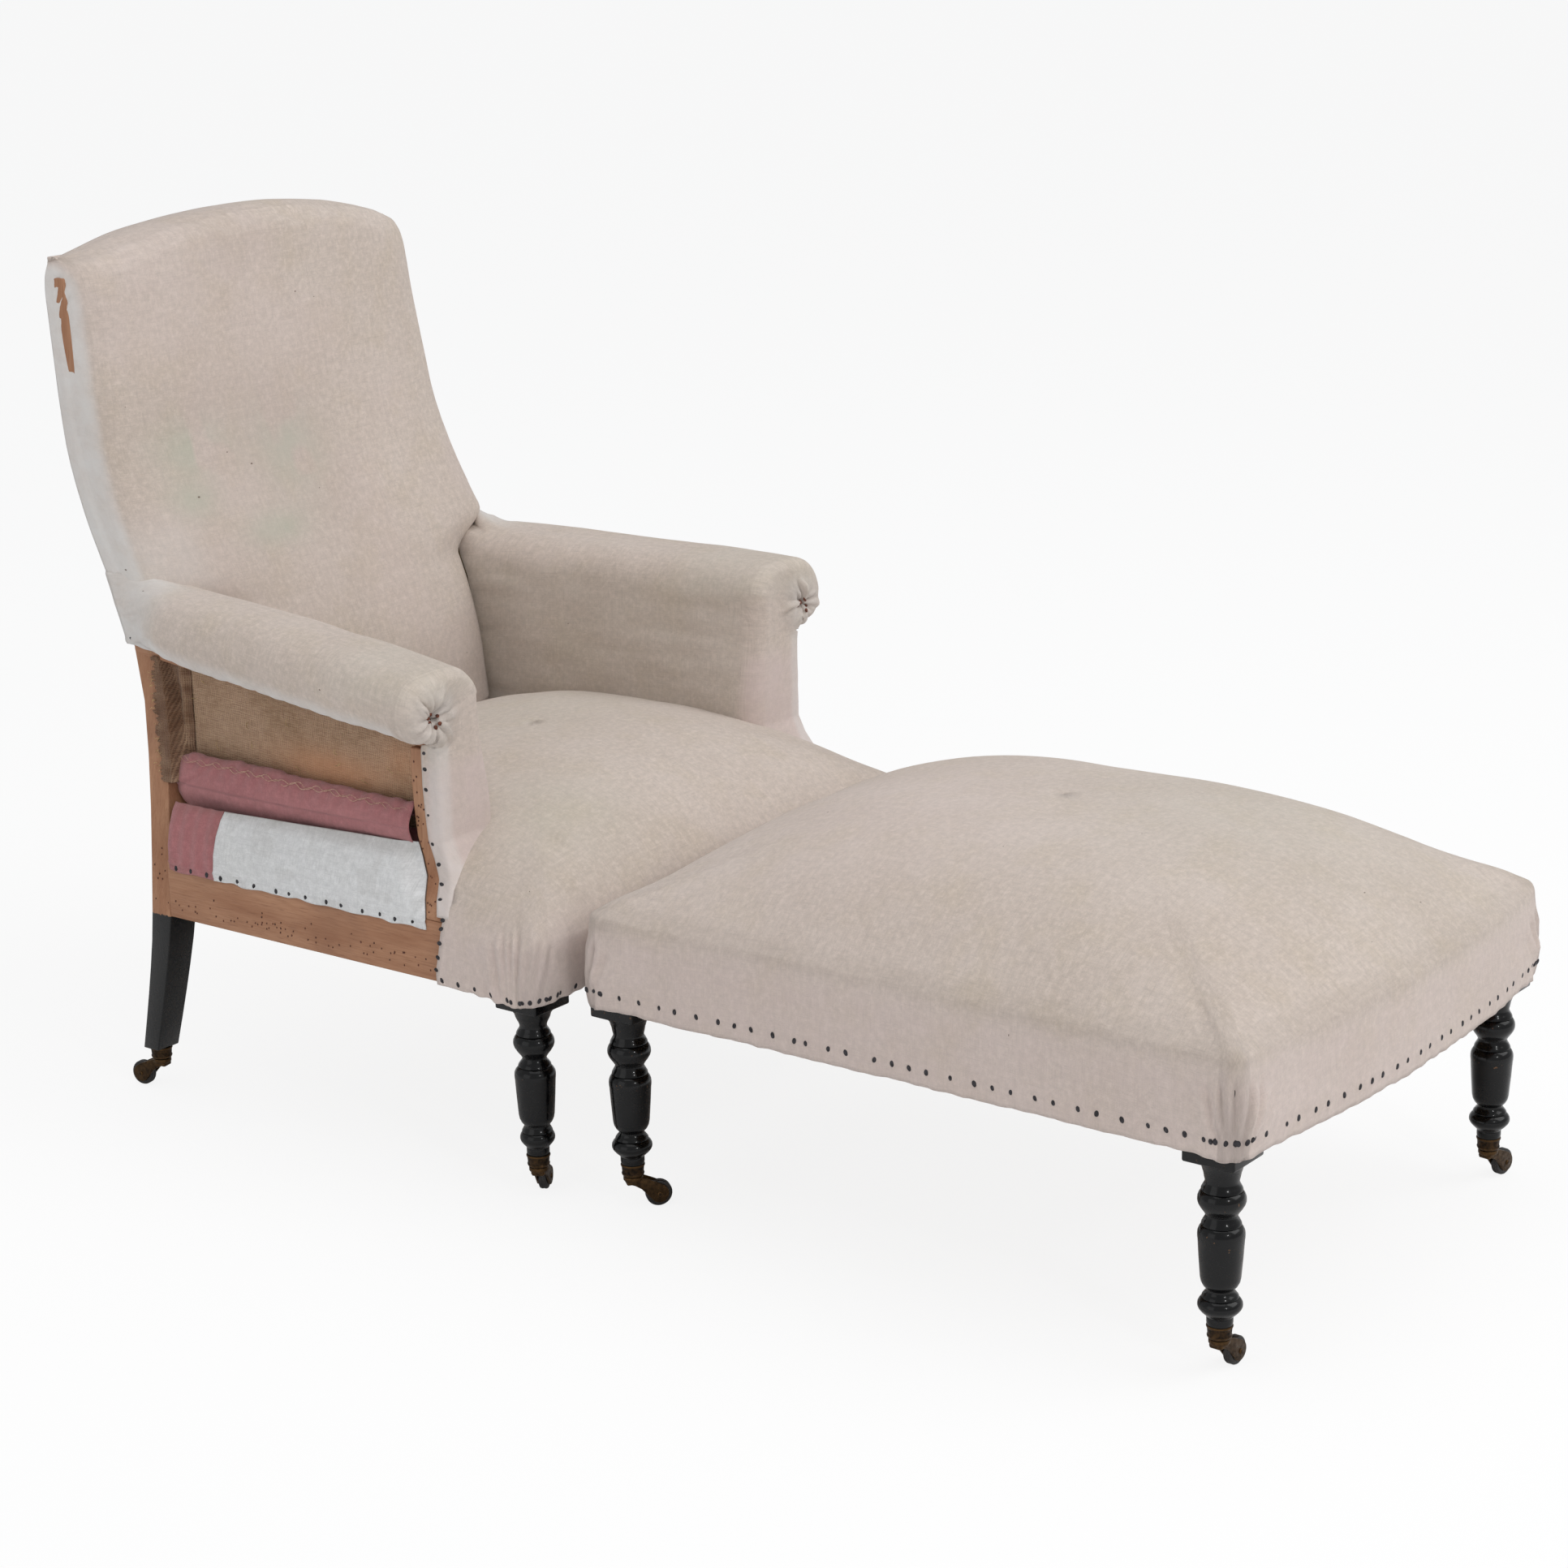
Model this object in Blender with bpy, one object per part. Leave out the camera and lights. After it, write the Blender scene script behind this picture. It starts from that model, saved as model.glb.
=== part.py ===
"""Low upholstered armchair with its matching footstool, both standing on casters.

The armchair faces -Y and the footstool stands in front of it. The outer covers of the chair's
sides and back are left off, so the beech frame and the linings show. Lengths are in metres,
Z is up, the floor is Z = 0 and the origin is below the middle of the whole set.
"""
import math

import bmesh
import bpy
from mathutils import Vector

# The whole set
SET_GAP = 0.0435
STOOL_BACK = -0.0095
CHAIR_FRONT = STOOL_BACK + SET_GAP
CLEARANCE = 0.0003
SOFT_CLEARANCE = 0.0006
OVERRUN = 0.010
FLAT_ANGLE = math.radians(0.1)
MERGE_DISTANCE = 0.00005

# Seat frames, shared by the chair and the stool
RAIL_BOTTOM = 0.226
RAIL_HEIGHT = 0.066
RAIL_THICKNESS = 0.026
RAIL_TOP = RAIL_BOTTOM + RAIL_HEIGHT
BLOCK_SIDE = 0.055
BLOCK_DROP = 0.014
BLOCK_CHAMFER = 0.002

# Casters, each trailing at its own angle in degrees from +X towards +Y
WHEEL_RADIUS = 0.014
WHEEL_WIDTH = 0.009
WHEEL_BORE = 0.0026
WHEEL_EDGE = 0.0018
WHEEL_SIDES = 14
AXLE_SIDES = 8
AXLE_RADIUS = 0.0022
CASTER_TRAIL = 0.0265
CASTER_HEADINGS = {
    "chair_front_caster_right": 29, "chair_front_caster_left": 62,
    "chair_rear_caster_right": 100, "chair_rear_caster_left": 74,
    "stool_rear_caster_right": -39, "stool_rear_caster_left": -24,
    "stool_front_caster_right": -2, "stool_front_caster_left": -8,
}
FORK_GAP = 0.0008
FORK_THICKNESS = 0.0022
FORK_EYE_RADIUS = 0.0050
HORN_PLATE_BOTTOM = 0.0312
HORN_PLATE_THICKNESS = 0.0050
HORN_PLATE_RADIUS = 0.0105
PIN_RADIUS = 0.0030
PIN_HEAD_RADIUS = 0.0048
PIN_HEAD_THICKNESS = 0.0015
SOCKET_RADIUS = 0.0125
SOCKET_HEIGHT = 0.0130
SOCKET_SIDES = 10
SOCKET_BOTTOM = HORN_PLATE_BOTTOM + HORN_PLATE_THICKNESS + CLEARANCE
SOCKET_TOP = SOCKET_BOTTOM + SOCKET_HEIGHT

# Turned legs
TURNING_SIDES = 12
FOOT_BOTTOM = SOCKET_TOP + CLEARANCE
TURNING_TOP = RAIL_BOTTOM - BLOCK_DROP
STOOL_TURNING_RADIUS = 0.0240
CHAIR_TURNING_RADIUS = 0.0235
STOOL_TURNING_SHARES = (
    (0.0, 0.50), (0.059, 0.60), (0.084, 0.77), (0.118, 0.875), (0.155, 0.81), (0.185, 0.60),
    (0.211, 0.54), (0.275, 0.74), (0.545, 0.917), (0.588, 0.895), (0.628, 0.73),
    (0.669, 0.62), (0.718, 0.855), (0.760, 0.94), (0.802, 0.875), (0.839, 0.73),
    (0.876, 0.66), (0.940, 0.73), (1.0, 1.0),
)
CHAIR_TURNING_SHARES = (
    (0.0, 0.49), (0.050, 0.56), (0.078, 0.70), (0.108, 0.775), (0.140, 0.71), (0.170, 0.59),
    (0.195, 0.57), (0.265, 0.72), (0.538, 0.92), (0.580, 0.88), (0.618, 0.66),
    (0.658, 0.53), (0.718, 0.84), (0.760, 0.92), (0.802, 0.84), (0.839, 0.68),
    (0.876, 0.60), (0.940, 0.71), (1.0, 1.0),
)

# Chair seat frame and front legs
CHAIR_HALF_WIDTH = 0.343
CHAIR_DEPTH = 0.563

# Rear legs, each one piece with its back stile
LEG_SPLAY = 0.066
LEG_SPLAY_POWER = 1.15
LEG_INSET = 0.0225
STILE_WIDTH = 0.040
STILE_DEPTH = 0.030
FOOT_WIDTH = 0.030
FOOT_DEPTH = 0.022
STILE_TOP = 0.912
BACK_RAKE = 0.186
BACK_LEAN = 0.077
RAKE_SHARES = (
    (0.0, 0.0), (0.17, 0.08), (0.32, 0.18), (0.40, 0.28), (0.475, 0.42), (0.55, 0.585),
    (0.625, 0.725), (0.70, 0.83), (0.78, 0.895), (0.89, 0.955), (1.0, 1.0),
)
LEAN_SHARES = ((0.0, 0.0), (0.25, 0.42), (0.50, 0.80), (0.75, 0.93), (1.0, 1.0))
LEG_STEPS = 5
STILE_STEPS = 12

# Back rails
CREST_TOP = 0.956
CREST_ARCH = 0.038
CREST_BOTTOM = 0.862
CREST_STEPS = 8
LOWER_RAIL_BOTTOM = 0.345
LOWER_RAIL_HEIGHT = 0.045

# Arm stumps and arm rails
STUMP_THICKNESS = 0.030
STUMP_DEPTH = 0.031
STUMP_FRONT = 0.115
STUMP_INSET = 0.033
STUMP_SETBACK = 0.042
STUMP_SHARES = ((0.0, 0.0, 0.0), (0.11, 0.32, 0.22), (0.22, 0.76, 0.43), (0.33, 0.94, 0.68),
                (0.44, 0.99, 0.88), (0.78, 1.0, 1.0), (1.0, 1.0, 1.0))
STUMP_STEPS = 9
ARM_FRONT = 0.1477
ARM_RAIL_WIDTH = 0.036
ARM_RAIL_HEIGHT = 0.034
ARM_RAIL_FRONT_BOTTOM = 0.4645
ARM_RAIL_RISE = 0.042
ARM_RAIL_STEPS = 4

# Arm pads
ROLL_OVERHANG = 0.0155
ROLL_OUTER = CHAIR_HALF_WIDTH + ROLL_OVERHANG
ROLL_OUTER_DRAW_SHARES = ((0.0, 0.0), (0.45, 0.22), (0.80, 0.62), (1.0, 1.0))
ROLL_OUTER_DRAW = 0.045
ROLL_RADIUS = 0.039
ROLL_RADIUS_LOSS = 0.008
ARM_TOP = 0.554
ARM_TOP_RISE = 0.019
ARM_WIDTH = 0.1185
ARM_INNER = ROLL_OUTER - ARM_WIDTH
ARM_INNER_DRAW = 0.027
ARM_SWELL = 0.006
ARM_PAD_BOTTOM = 0.330
ARM_SHOULDER = 0.048
ARM_PAD_STEPS = 7
ROLL_ANGLES = (70, 40, 10, -20, -50)
ARM_SWELL_SHARE = 0.45
ARM_NOSE_DEPTH = 0.022
ARM_NOSE_INSET = 0.014
ARM_NOSE_SHARES = ((0.0, 1.0), (0.14, 0.43), (0.45, 0.11), (1.0, 0.0))
ARM_SHOULDER_SHARES = ((0.12, 0.52), (0.45, 0.14), (1.0, 0.0))
HEM_LAP = 0.008
FACING_THICKNESS = 0.0065
FACING_BOTTOM = 0.322
FACING_LAP = 0.008
FACING_INNER = ARM_INNER - FACING_LAP
FACING_SWEEP = 5.0
FACING_RISE = 0.022
FACING_STEPS = 7

# Back pad
BACK_THICKNESS = 0.085
BACK_THICKNESS_LOSS = 0.017
BACK_SIDE_DEPTH = 0.066
BACK_CORNER_POWER = 3.6
BACK_BAND = 0.0040
BACK_CROWN_TOP = 0.0090
BACK_PAD_BOTTOM = 0.352
BACK_NECK_TUCK = 0.001
BACK_NECK_HALF_WIDTH = ARM_INNER - ARM_INNER_DRAW - BACK_NECK_TUCK
BACK_NECK_TOP = 0.556
BACK_SHOULDER = 0.600
BACK_TOP_ROUNDING = 0.016
BACK_ROUNDING_START_SHARE = 0.90
BACK_SIDE_ROUNDING_SHARE = 0.6
BACK_LOIN_SHARE = 0.455
BACK_SPAN_STEPS = 10
BACK_LEVEL_SHARES = (0.0, 0.13, 0.24, 0.333, 0.405, 0.48, 0.56, 0.66, 0.76, 0.86, 0.94, 0.98)

# Webbing, hessian and springs
WEB_WIDTH = 0.050
WEB_THICKNESS = 0.0018
WEB_LACING = 0.6
HESSIAN_THICKNESS = 0.0012
BACK_LINING_DEPTH = 0.0036
WEB_LAP = 0.018
SEAT_WEB_INSET = 0.153
SEAT_WEB_REACH = CHAIR_HALF_WIDTH - SEAT_WEB_INSET
SEAT_WEBS_LONG = 4
SEAT_WEBS_CROSS = 4
STOOL_WEBS_LONG = 4
STOOL_WEBS_CROSS = 5
STOOL_WEB_REACH = 0.175
BACK_WEBS_CROSS = 5
BACK_WEBS_UP = 3
BACK_WEB_MARGIN = 0.080
BACK_WEB_INSET = 0.070
SPRING_WIRE = 0.0034
SPRING_RADIUS = 0.042
SPRING_WAIST = 0.027
SPRING_TURNS = 3.5
SPRING_SIDES = 4
SPRING_END_RISE = 0.0042
CORD = 0.0036
SPRING_TURN_POINTS = 8
SPRING_REACH_SHARE = 0.222
SPRING_REACH = CHAIR_DEPTH * SPRING_REACH_SHARE
WELL_RISE = 0.046
WELL_INSET = 0.008
WELL_SHARES = (0.82, 0.58, 0.30)
STOOL_SPRING_SIDE = 0.100
STOOL_SPRING_REACH = 0.169

# Crowned cushions of the seat and the stool
HEM_BAND = 0.011
CORNER_POWER = 3
BORDER_SHARES = (0.0, 0.33, 0.75)
DOME_SHARES = (1.0, 0.985, 0.955, 0.90, 0.80, 0.64, 0.42, 0.18)

# Seat pad
SEAT_SKIRT = 0.0090
SEAT_BULGE = 0.0030
SEAT_DOME_MARGIN = 0.014
SEAT_DOME_HALF_WIDTH = CHAIR_HALF_WIDTH + SEAT_DOME_MARGIN
SEAT_DOME_FRONT = -0.014
SEAT_DOME_OVERRUN = 0.024
SEAT_DOME_BACK = CHAIR_DEPTH + SEAT_DOME_OVERRUN
SEAT_EDGE = 0.259
SEAT_CROWN = 0.146
SEAT_CROWN_POWER = 2.86
SEAT_CROWN_FULLNESS = 0.54
SEAT_CORNER = 0.024
SEAT_PAD_BACK = CHAIR_DEPTH - STILE_DEPTH - BACK_LINING_DEPTH - SOFT_CLEARANCE
SEAT_SIDE_OPEN = 0.1305

# Side linings, bottom to top
CALICO_LAP = 0.013
CALICO_HEIGHT = 0.082
CALICO_THICKNESS = 0.0012
CALICO_LEAN = 0.027
CALICO_BULGE_SHARES = ((0.0, 0.0), (0.16, 0.0), (0.38, 0.05), (0.62, 0.26), (0.82, 0.56),
                       (1.0, 1.0))
CALICO_STEPS = 6
PATCH_INSET = 0.031
PATCH_BACK = CHAIR_DEPTH - PATCH_INSET
PATCH_SLOPE = 0.032
ROLL_TICK_CENTRE = 0.389
ROLL_TICK_HEIGHT = 0.056
ROLL_TICK_DEPTH = 0.026
ROLL_TICK_SHARES = ((0.0, 0.72), (0.04, 0.94), (0.25, 1.0), (0.75, 1.0), (0.95, 0.90), (1.0, 0.66))
ROLL_TICK_SIDES = 12
SIDE_LINING_INSET = 0.0495
SIDE_LINING_FRONT = CHAIR_HALF_WIDTH - SIDE_LINING_INSET
SIDE_LINING_DRAW = 0.012
SIDE_LINING_STEPS = 5

# Footstool
STOOL_HALF_WIDTH = 0.3078
STOOL_DEPTH = 0.750
STOOL_BOW = 0.022
STOOL_SKIRT = 0.0070
STOOL_BULGE = 0.0035
STOOL_EDGE = 0.321
STOOL_CROWN = 0.109
STOOL_CROWN_POWER = 3.08
STOOL_CROWN_FULLNESS = 1.0
STOOL_CORNER = 0.018
STOOL_WELL_RISE = 0.058
BOW_STEPS = 6


def srgb(red, green, blue):
    """Linear colour of a colour as the eye reads it, each channel from 0 to 255."""
    def channel(value):
        value /= 255
        return value / 12.92 if value <= 0.04045 else ((value + 0.055) / 1.055) ** 2.4
    return channel(red), channel(green), channel(blue), 1.0


def finish(name, colour, roughness, metallic=0.0):
    """A Principled material of one named finish."""
    made = bpy.data.materials.new(name)
    made.use_nodes = True
    shader = made.node_tree.nodes["Principled BSDF"]
    shader.inputs["Base Color"].default_value = colour
    shader.inputs["Roughness"].default_value = roughness
    shader.inputs["Metallic"].default_value = metallic
    return made


def clear_scene():
    """Remove everything that the file opens with."""
    for item in list(bpy.data.objects):
        bpy.data.objects.remove(item, do_unlink=True)


def make_object(name, bm, material, smooth=True):
    """Turn a bmesh into a named object with its finish."""
    mesh = bpy.data.meshes.new(name)
    bm.to_mesh(mesh)
    bm.free()
    return object_of_mesh(name, mesh, material, smooth)


def object_of_mesh(name, mesh, material, smooth=True):
    """A named object that shows a mesh with a finish."""
    if not mesh.materials:
        mesh.materials.append(material)
    if smooth:
        mesh.shade_smooth()
        mesh.set_sharp_from_angle(angle=math.radians(40))
    made = bpy.data.objects.new(name, mesh)
    bpy.context.scene.collection.objects.link(made)
    return made


def add_loft(bm, rings):
    """Add a closed body through rings of equally many points, with a face on each end."""
    rows = [[bm.verts.new(point) for point in ring] for ring in rings]
    count = len(rows[0])
    faces = [bm.faces.new(rows[0][::-1]), bm.faces.new(rows[-1])]
    for lower, upper in zip(rows, rows[1:]):
        for i in range(count):
            j = (i + 1) % count
            faces.append(bm.faces.new((lower[i], lower[j], upper[j], upper[i])))
    for face in faces:
        face.normal_update()
    faces = bmesh.ops.triangulate(bm, faces=faces)["faces"]
    volume = sum(face.verts[0].co.dot(face.verts[1].co.cross(face.verts[2].co)) for face in faces)
    if volume < 0:
        bmesh.ops.reverse_faces(bm, faces=faces)


def loft(name, rings, material, smooth=True):
    """One closed body as an object."""
    bm = bmesh.new()
    add_loft(bm, rings)
    return make_object(name, bm, material, smooth)


def box_rings(low, high):
    """The two end rings of a box between two corners."""
    return [[(low[0], low[1], z), (high[0], low[1], z), (high[0], high[1], z), (low[0], high[1], z)]
            for z in (low[2], high[2])]


def combine(target, tool, operation, solver="EXACT"):
    """Cut a tool object out of a target, or join it on, and remove the tool."""
    change = target.modifiers.new("Boolean", "BOOLEAN")
    change.operation = operation
    change.solver = solver
    change.object = tool
    graph = bpy.context.evaluated_depsgraph_get()
    mesh = bpy.data.meshes.new_from_object(target.evaluated_get(graph))
    target.modifiers.remove(change)
    target.data = mesh
    bpy.data.objects.remove(tool, do_unlink=True)


def merge_flats(target):
    """Join the triangles of each flat face again, then split the face anew."""
    bm = bmesh.new()
    bm.from_mesh(target.data)
    bmesh.ops.remove_doubles(bm, verts=bm.verts, dist=MERGE_DISTANCE)
    bmesh.ops.dissolve_degenerate(bm, edges=bm.edges, dist=MERGE_DISTANCE)
    bmesh.ops.dissolve_limit(bm, angle_limit=FLAT_ANGLE, verts=bm.verts, edges=bm.edges)
    bmesh.ops.triangulate(bm, faces=bm.faces)
    bm.to_mesh(target.data)
    bm.free()


def drop_offcuts(target):
    """Keep only the largest body of an object that cuts have parted."""
    bm = bmesh.new()
    bm.from_mesh(target.data)
    left, bodies = set(bm.verts), []
    while left:
        body, edge_of_body = set(), [left.pop()]
        while edge_of_body:
            vert = edge_of_body.pop()
            body.add(vert)
            near = {edge.other_vert(vert) for edge in vert.link_edges} & left
            left -= near
            edge_of_body += near
        bodies.append(body)
    largest = max(bodies, key=len)
    bmesh.ops.delete(bm, geom=[vert for vert in bm.verts if vert not in largest], context="VERTS")
    bm.to_mesh(target.data)
    bm.free()


def united(name, bodies, material, solver="EXACT"):
    """One body of shapes that run into each other."""
    first, *others = [loft(name, rings, material) for rings in bodies]
    for other in others:
        combine(first, other, "UNION", solver)
    return first


def cut(target, *tools):
    for tool in tools:
        combine(target, tool, "DIFFERENCE")


def along(shares, position):
    """Value at a position of the smooth curve through hand-chosen shares."""
    position = min(max(position, shares[0][0]), shares[-1][0])
    last = len(shares) - 1
    i = max(k for k in range(last) if shares[k][0] <= position)
    def slope(k):
        low, high = max(k - 1, 0), min(k + 1, last)
        return (shares[high][1] - shares[low][1]) / (shares[high][0] - shares[low][0])
    (x0, y0), (x1, y1) = shares[i][:2], shares[i + 1][:2]
    span = x1 - x0
    t = (position - x0) / span
    return (y0 * (1 + 2 * t) * (1 - t) ** 2 + slope(i) * span * t * (1 - t) ** 2
            + y1 * t * t * (3 - 2 * t) + slope(i + 1) * span * t * t * (t - 1))


def mix(start, end, share):
    return start + (end - start) * share


def steps(start, end, count):
    """Evenly spaced values from start to end, both included."""
    return [mix(start, end, i / count) for i in range(count + 1)]


def circle(centre, radius, count, turn=0.0):
    """Points of a level circle."""
    return [(centre[0] + radius * math.cos(turn + 2 * math.pi * i / count),
             centre[1] + radius * math.sin(turn + 2 * math.pi * i / count), centre[2])
            for i in range(count)]


def depth(distance):
    """Y of a place measured back from the front face of the chair's frame."""
    return CHAIR_FRONT + distance


# Curves that neighbouring pieces share

def stile_share(z):
    return (z - RAIL_BOTTOM) / (STILE_TOP - RAIL_BOTTOM)


def leg_share(z):
    return max(RAIL_BOTTOM - z, 0) / RAIL_BOTTOM


def by_steps(shares, position, count):
    """Value on the chords of a smooth curve cut into equal steps."""
    place = min(max(position, 0), 1) * count
    start = min(int(place), count - 1)
    return mix(along(shares, start / count), along(shares, (start + 1) / count), place - start)


def levels(low, high):
    """Both heights, with the heights between them at which a stile changes its slope."""
    bends = steps(RAIL_BOTTOM, STILE_TOP, STILE_STEPS)
    return [low] + [z for z in bends if low + CLEARANCE < z < high - CLEARANCE] + [high]


def stile_back(z):
    """Y of the rear edge of a rear leg and its stile."""
    if z < RAIL_BOTTOM:
        return depth(CHAIR_DEPTH) + LEG_SPLAY * leg_share(z) ** LEG_SPLAY_POWER
    return depth(CHAIR_DEPTH) + BACK_RAKE * by_steps(RAKE_SHARES, stile_share(z), STILE_STEPS)


def stile_outer(z):
    """Half width between the outer faces of the rear legs and stiles."""
    if z < RAIL_BOTTOM:
        return CHAIR_HALF_WIDTH - LEG_INSET * leg_share(z)
    return CHAIR_HALF_WIDTH - BACK_LEAN * by_steps(LEAN_SHARES, stile_share(z), STILE_STEPS)


def stile_width(z):
    return mix(STILE_WIDTH, FOOT_WIDTH, leg_share(z))


def stile_depth(z):
    return mix(STILE_DEPTH, FOOT_DEPTH, leg_share(z))


def stile_front(z):
    return stile_back(z) - stile_depth(z)


def crest_top(x):
    """Top edge of the crest rail, gently arched."""
    half = CHAIR_HALF_WIDTH - BACK_LEAN
    return CREST_TOP - CREST_ARCH * (x / half) ** 2


def stump_place(z):
    """Outer half width and front Y of an arm stump at a height."""
    bottom, top = RAIL_TOP, ARM_RAIL_FRONT_BOTTOM
    share = (z - bottom) / (top - bottom)
    inset = along([(a, b) for a, b, _ in STUMP_SHARES], share)
    setback = along([(a, c) for a, _, c in STUMP_SHARES], share)
    return CHAIR_HALF_WIDTH - STUMP_INSET * inset, depth(STUMP_FRONT + STUMP_SETBACK * setback)


def arm_share(y):
    """Share of the way from the arm's front to its end at the stile."""
    return (y - depth(ARM_FRONT)) / (arm_end() - depth(ARM_FRONT))


def arm_end():
    return stile_back(ARM_RAIL_FRONT_BOTTOM + ARM_RAIL_RISE)


def arm_rail_bottom(y):
    return ARM_RAIL_FRONT_BOTTOM + ARM_RAIL_RISE * arm_share(y)


def arm_rail_outer(y):
    """The arm rail runs straight from the stump's outer face to the stile's."""
    front, _ = stump_place(ARM_RAIL_FRONT_BOTTOM)
    return mix(front, stile_outer(ARM_RAIL_FRONT_BOTTOM + ARM_RAIL_RISE), arm_share(y))


def side_lining(y):
    """Outer half width of the hessian that backs the inside of an arm."""
    return SIDE_LINING_FRONT - SIDE_LINING_DRAW * arm_share(y)


def calico_outer(z):
    """Outer half width of the lining that rises from the side rail."""
    share = (z - (RAIL_TOP - CALICO_LAP)) / CALICO_HEIGHT
    proud = CHAIR_HALF_WIDTH + CLEARANCE + CALICO_THICKNESS
    return proud - CALICO_LEAN * along(CALICO_BULGE_SHARES, share)


def dome(x, y, half_width, front, back, edge, crown, power, fullness):
    """Height of a crowned cushion, whose stuffing also fills its corners."""
    across = min(abs(x) / half_width, 1)
    middle = (front + back) / 2
    length = min(abs(y - middle) / (back - middle), 1)
    fall_across, fall_along = across ** power, length ** power
    open_rise = (1 - fall_across) * (1 - fall_along)
    corner_rise = 1 - max(fall_across, fall_along)
    rise = mix(open_rise, corner_rise, (across * length) ** CORNER_POWER)
    return edge + crown * rise ** fullness


def seat_height(x, y):
    return dome(x, y, SEAT_DOME_HALF_WIDTH, depth(SEAT_DOME_FRONT), depth(SEAT_DOME_BACK),
                SEAT_EDGE, SEAT_CROWN, SEAT_CROWN_POWER, SEAT_CROWN_FULLNESS)


# Frame pieces

def turned_leg(name, x, y, radius, shares, material):
    """Square block housed in the corner of the frame, turned below, in one piece."""
    rings = []
    for height, width in shares:
        z = mix(FOOT_BOTTOM, TURNING_TOP + BLOCK_CHAMFER, height)
        rings.append(circle((x, y, z), radius * width, TURNING_SIDES))
    leg = loft(name, rings, material)
    half = BLOCK_SIDE / 2
    block = []
    for z, inset in ((TURNING_TOP, BLOCK_CHAMFER), (TURNING_TOP + BLOCK_CHAMFER, 0), (RAIL_TOP, 0)):
        low, high = -half + inset, half - inset
        block.append([(x + low, y + low, z), (x + high, y + low, z), (x + high, y + high, z),
                      (x + low, y + high, z)])
    combine(leg, loft("block", block, material), "UNION")
    merge_flats(leg)
    return leg


def stile_rings(side, grow, bottom, top):
    heights = steps(bottom, RAIL_BOTTOM, LEG_STEPS)[:-1] if bottom < RAIL_BOTTOM else []
    heights += levels(max(bottom, RAIL_BOTTOM), top)
    rings = []
    for z in heights:
        outer = stile_outer(z) + grow
        inner = stile_outer(z) - stile_width(z) - grow
        back, front = stile_back(z) + grow, stile_front(z) - grow
        rings.append([(side * outer, front, z), (side * outer, back, z),
                      (side * inner, back, z), (side * inner, front, z)])
    return rings


def rear_leg(name, side, material):
    """Sabre leg and back stile cut from one plank."""
    return loft(name, stile_rings(side, 0, FOOT_BOTTOM, STILE_TOP), material)


def stile_cutter(side, grow):
    return loft("stile_cutter", stile_rings(side, grow, RAIL_BOTTOM, STILE_TOP + grow), None)


def rail_box(name, low, high, material):
    return loft(name, box_rings(low, high), material)


def chair_rails(material):
    """Side, front and rear seat rails, butted to the legs."""
    block = BLOCK_SIDE + CLEARANCE
    rear = depth(CHAIR_DEPTH) - STILE_DEPTH - CLEARANCE
    for word, side in (("right", -1), ("left", 1)):
        outer, inner = side * CHAIR_HALF_WIDTH, side * (CHAIR_HALF_WIDTH - RAIL_THICKNESS)
        rail_box(f"chair_side_rail_{word}", (min(outer, inner), depth(block), RAIL_BOTTOM),
                 (max(outer, inner), rear, RAIL_TOP), material)
    reach = CHAIR_HALF_WIDTH - block
    rail_box("chair_front_rail", (-reach, depth(0), RAIL_BOTTOM),
             (reach, depth(RAIL_THICKNESS), RAIL_TOP), material)
    reach = stile_outer(RAIL_TOP) - STILE_WIDTH - CLEARANCE
    rail_box("chair_rear_rail", (-reach, depth(CHAIR_DEPTH - RAIL_THICKNESS), RAIL_BOTTOM),
             (reach, depth(CHAIR_DEPTH), RAIL_TOP), material)


def crest_rings(grow, reach, bottom):
    """Cross sections of the crest rail from one end to the other."""
    rings = []
    for x in steps(-reach, reach, CREST_STEPS):
        heights = [bottom, STILE_TOP, crest_top(x) + grow]
        front = [(x, stile_front(z) - grow, z) for z in heights]
        back = [(x, stile_back(z) + grow, z) for z in heights]
        rings.append(front + back[::-1])
    return rings


def back_rails(material):
    """Arched crest rail and straight lower rail between the stiles."""
    reach = stile_outer(STILE_TOP) - STILE_WIDTH - CLEARANCE
    crest = loft("back_crest_rail", crest_rings(0, reach, CREST_BOTTOM), material)
    for side in (-1, 1):
        cut(crest, stile_cutter(side, CLEARANCE))
    top = LOWER_RAIL_BOTTOM + LOWER_RAIL_HEIGHT
    rings = []
    for z in levels(LOWER_RAIL_BOTTOM, top):
        reach = stile_outer(z) - STILE_WIDTH - CLEARANCE
        back, front = stile_back(z), stile_back(z) - RAIL_THICKNESS
        rings.append([(-reach, front, z), (reach, front, z), (reach, back, z), (-reach, back, z)])
    loft("back_lower_rail", rings, material)


def stump_rings(side, grow=0.0):
    """Cross sections of a stump, or of a cutter that goes past both its ends."""
    heights = steps(RAIL_TOP + CLEARANCE, ARM_RAIL_FRONT_BOTTOM - CLEARANCE, STUMP_STEPS)
    if grow:
        heights = [heights[0] - OVERRUN / 2, *heights, heights[-1] + OVERRUN / 2]
    rings = []
    for z in heights:
        outer, front = stump_place(z)
        inner = outer - STUMP_THICKNESS - grow
        outer += grow
        rear = front + STUMP_DEPTH + grow
        front -= grow
        rings.append([(side * outer, front, z), (side * outer, rear, z),
                      (side * inner, rear, z), (side * inner, front, z)])
    return rings


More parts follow.
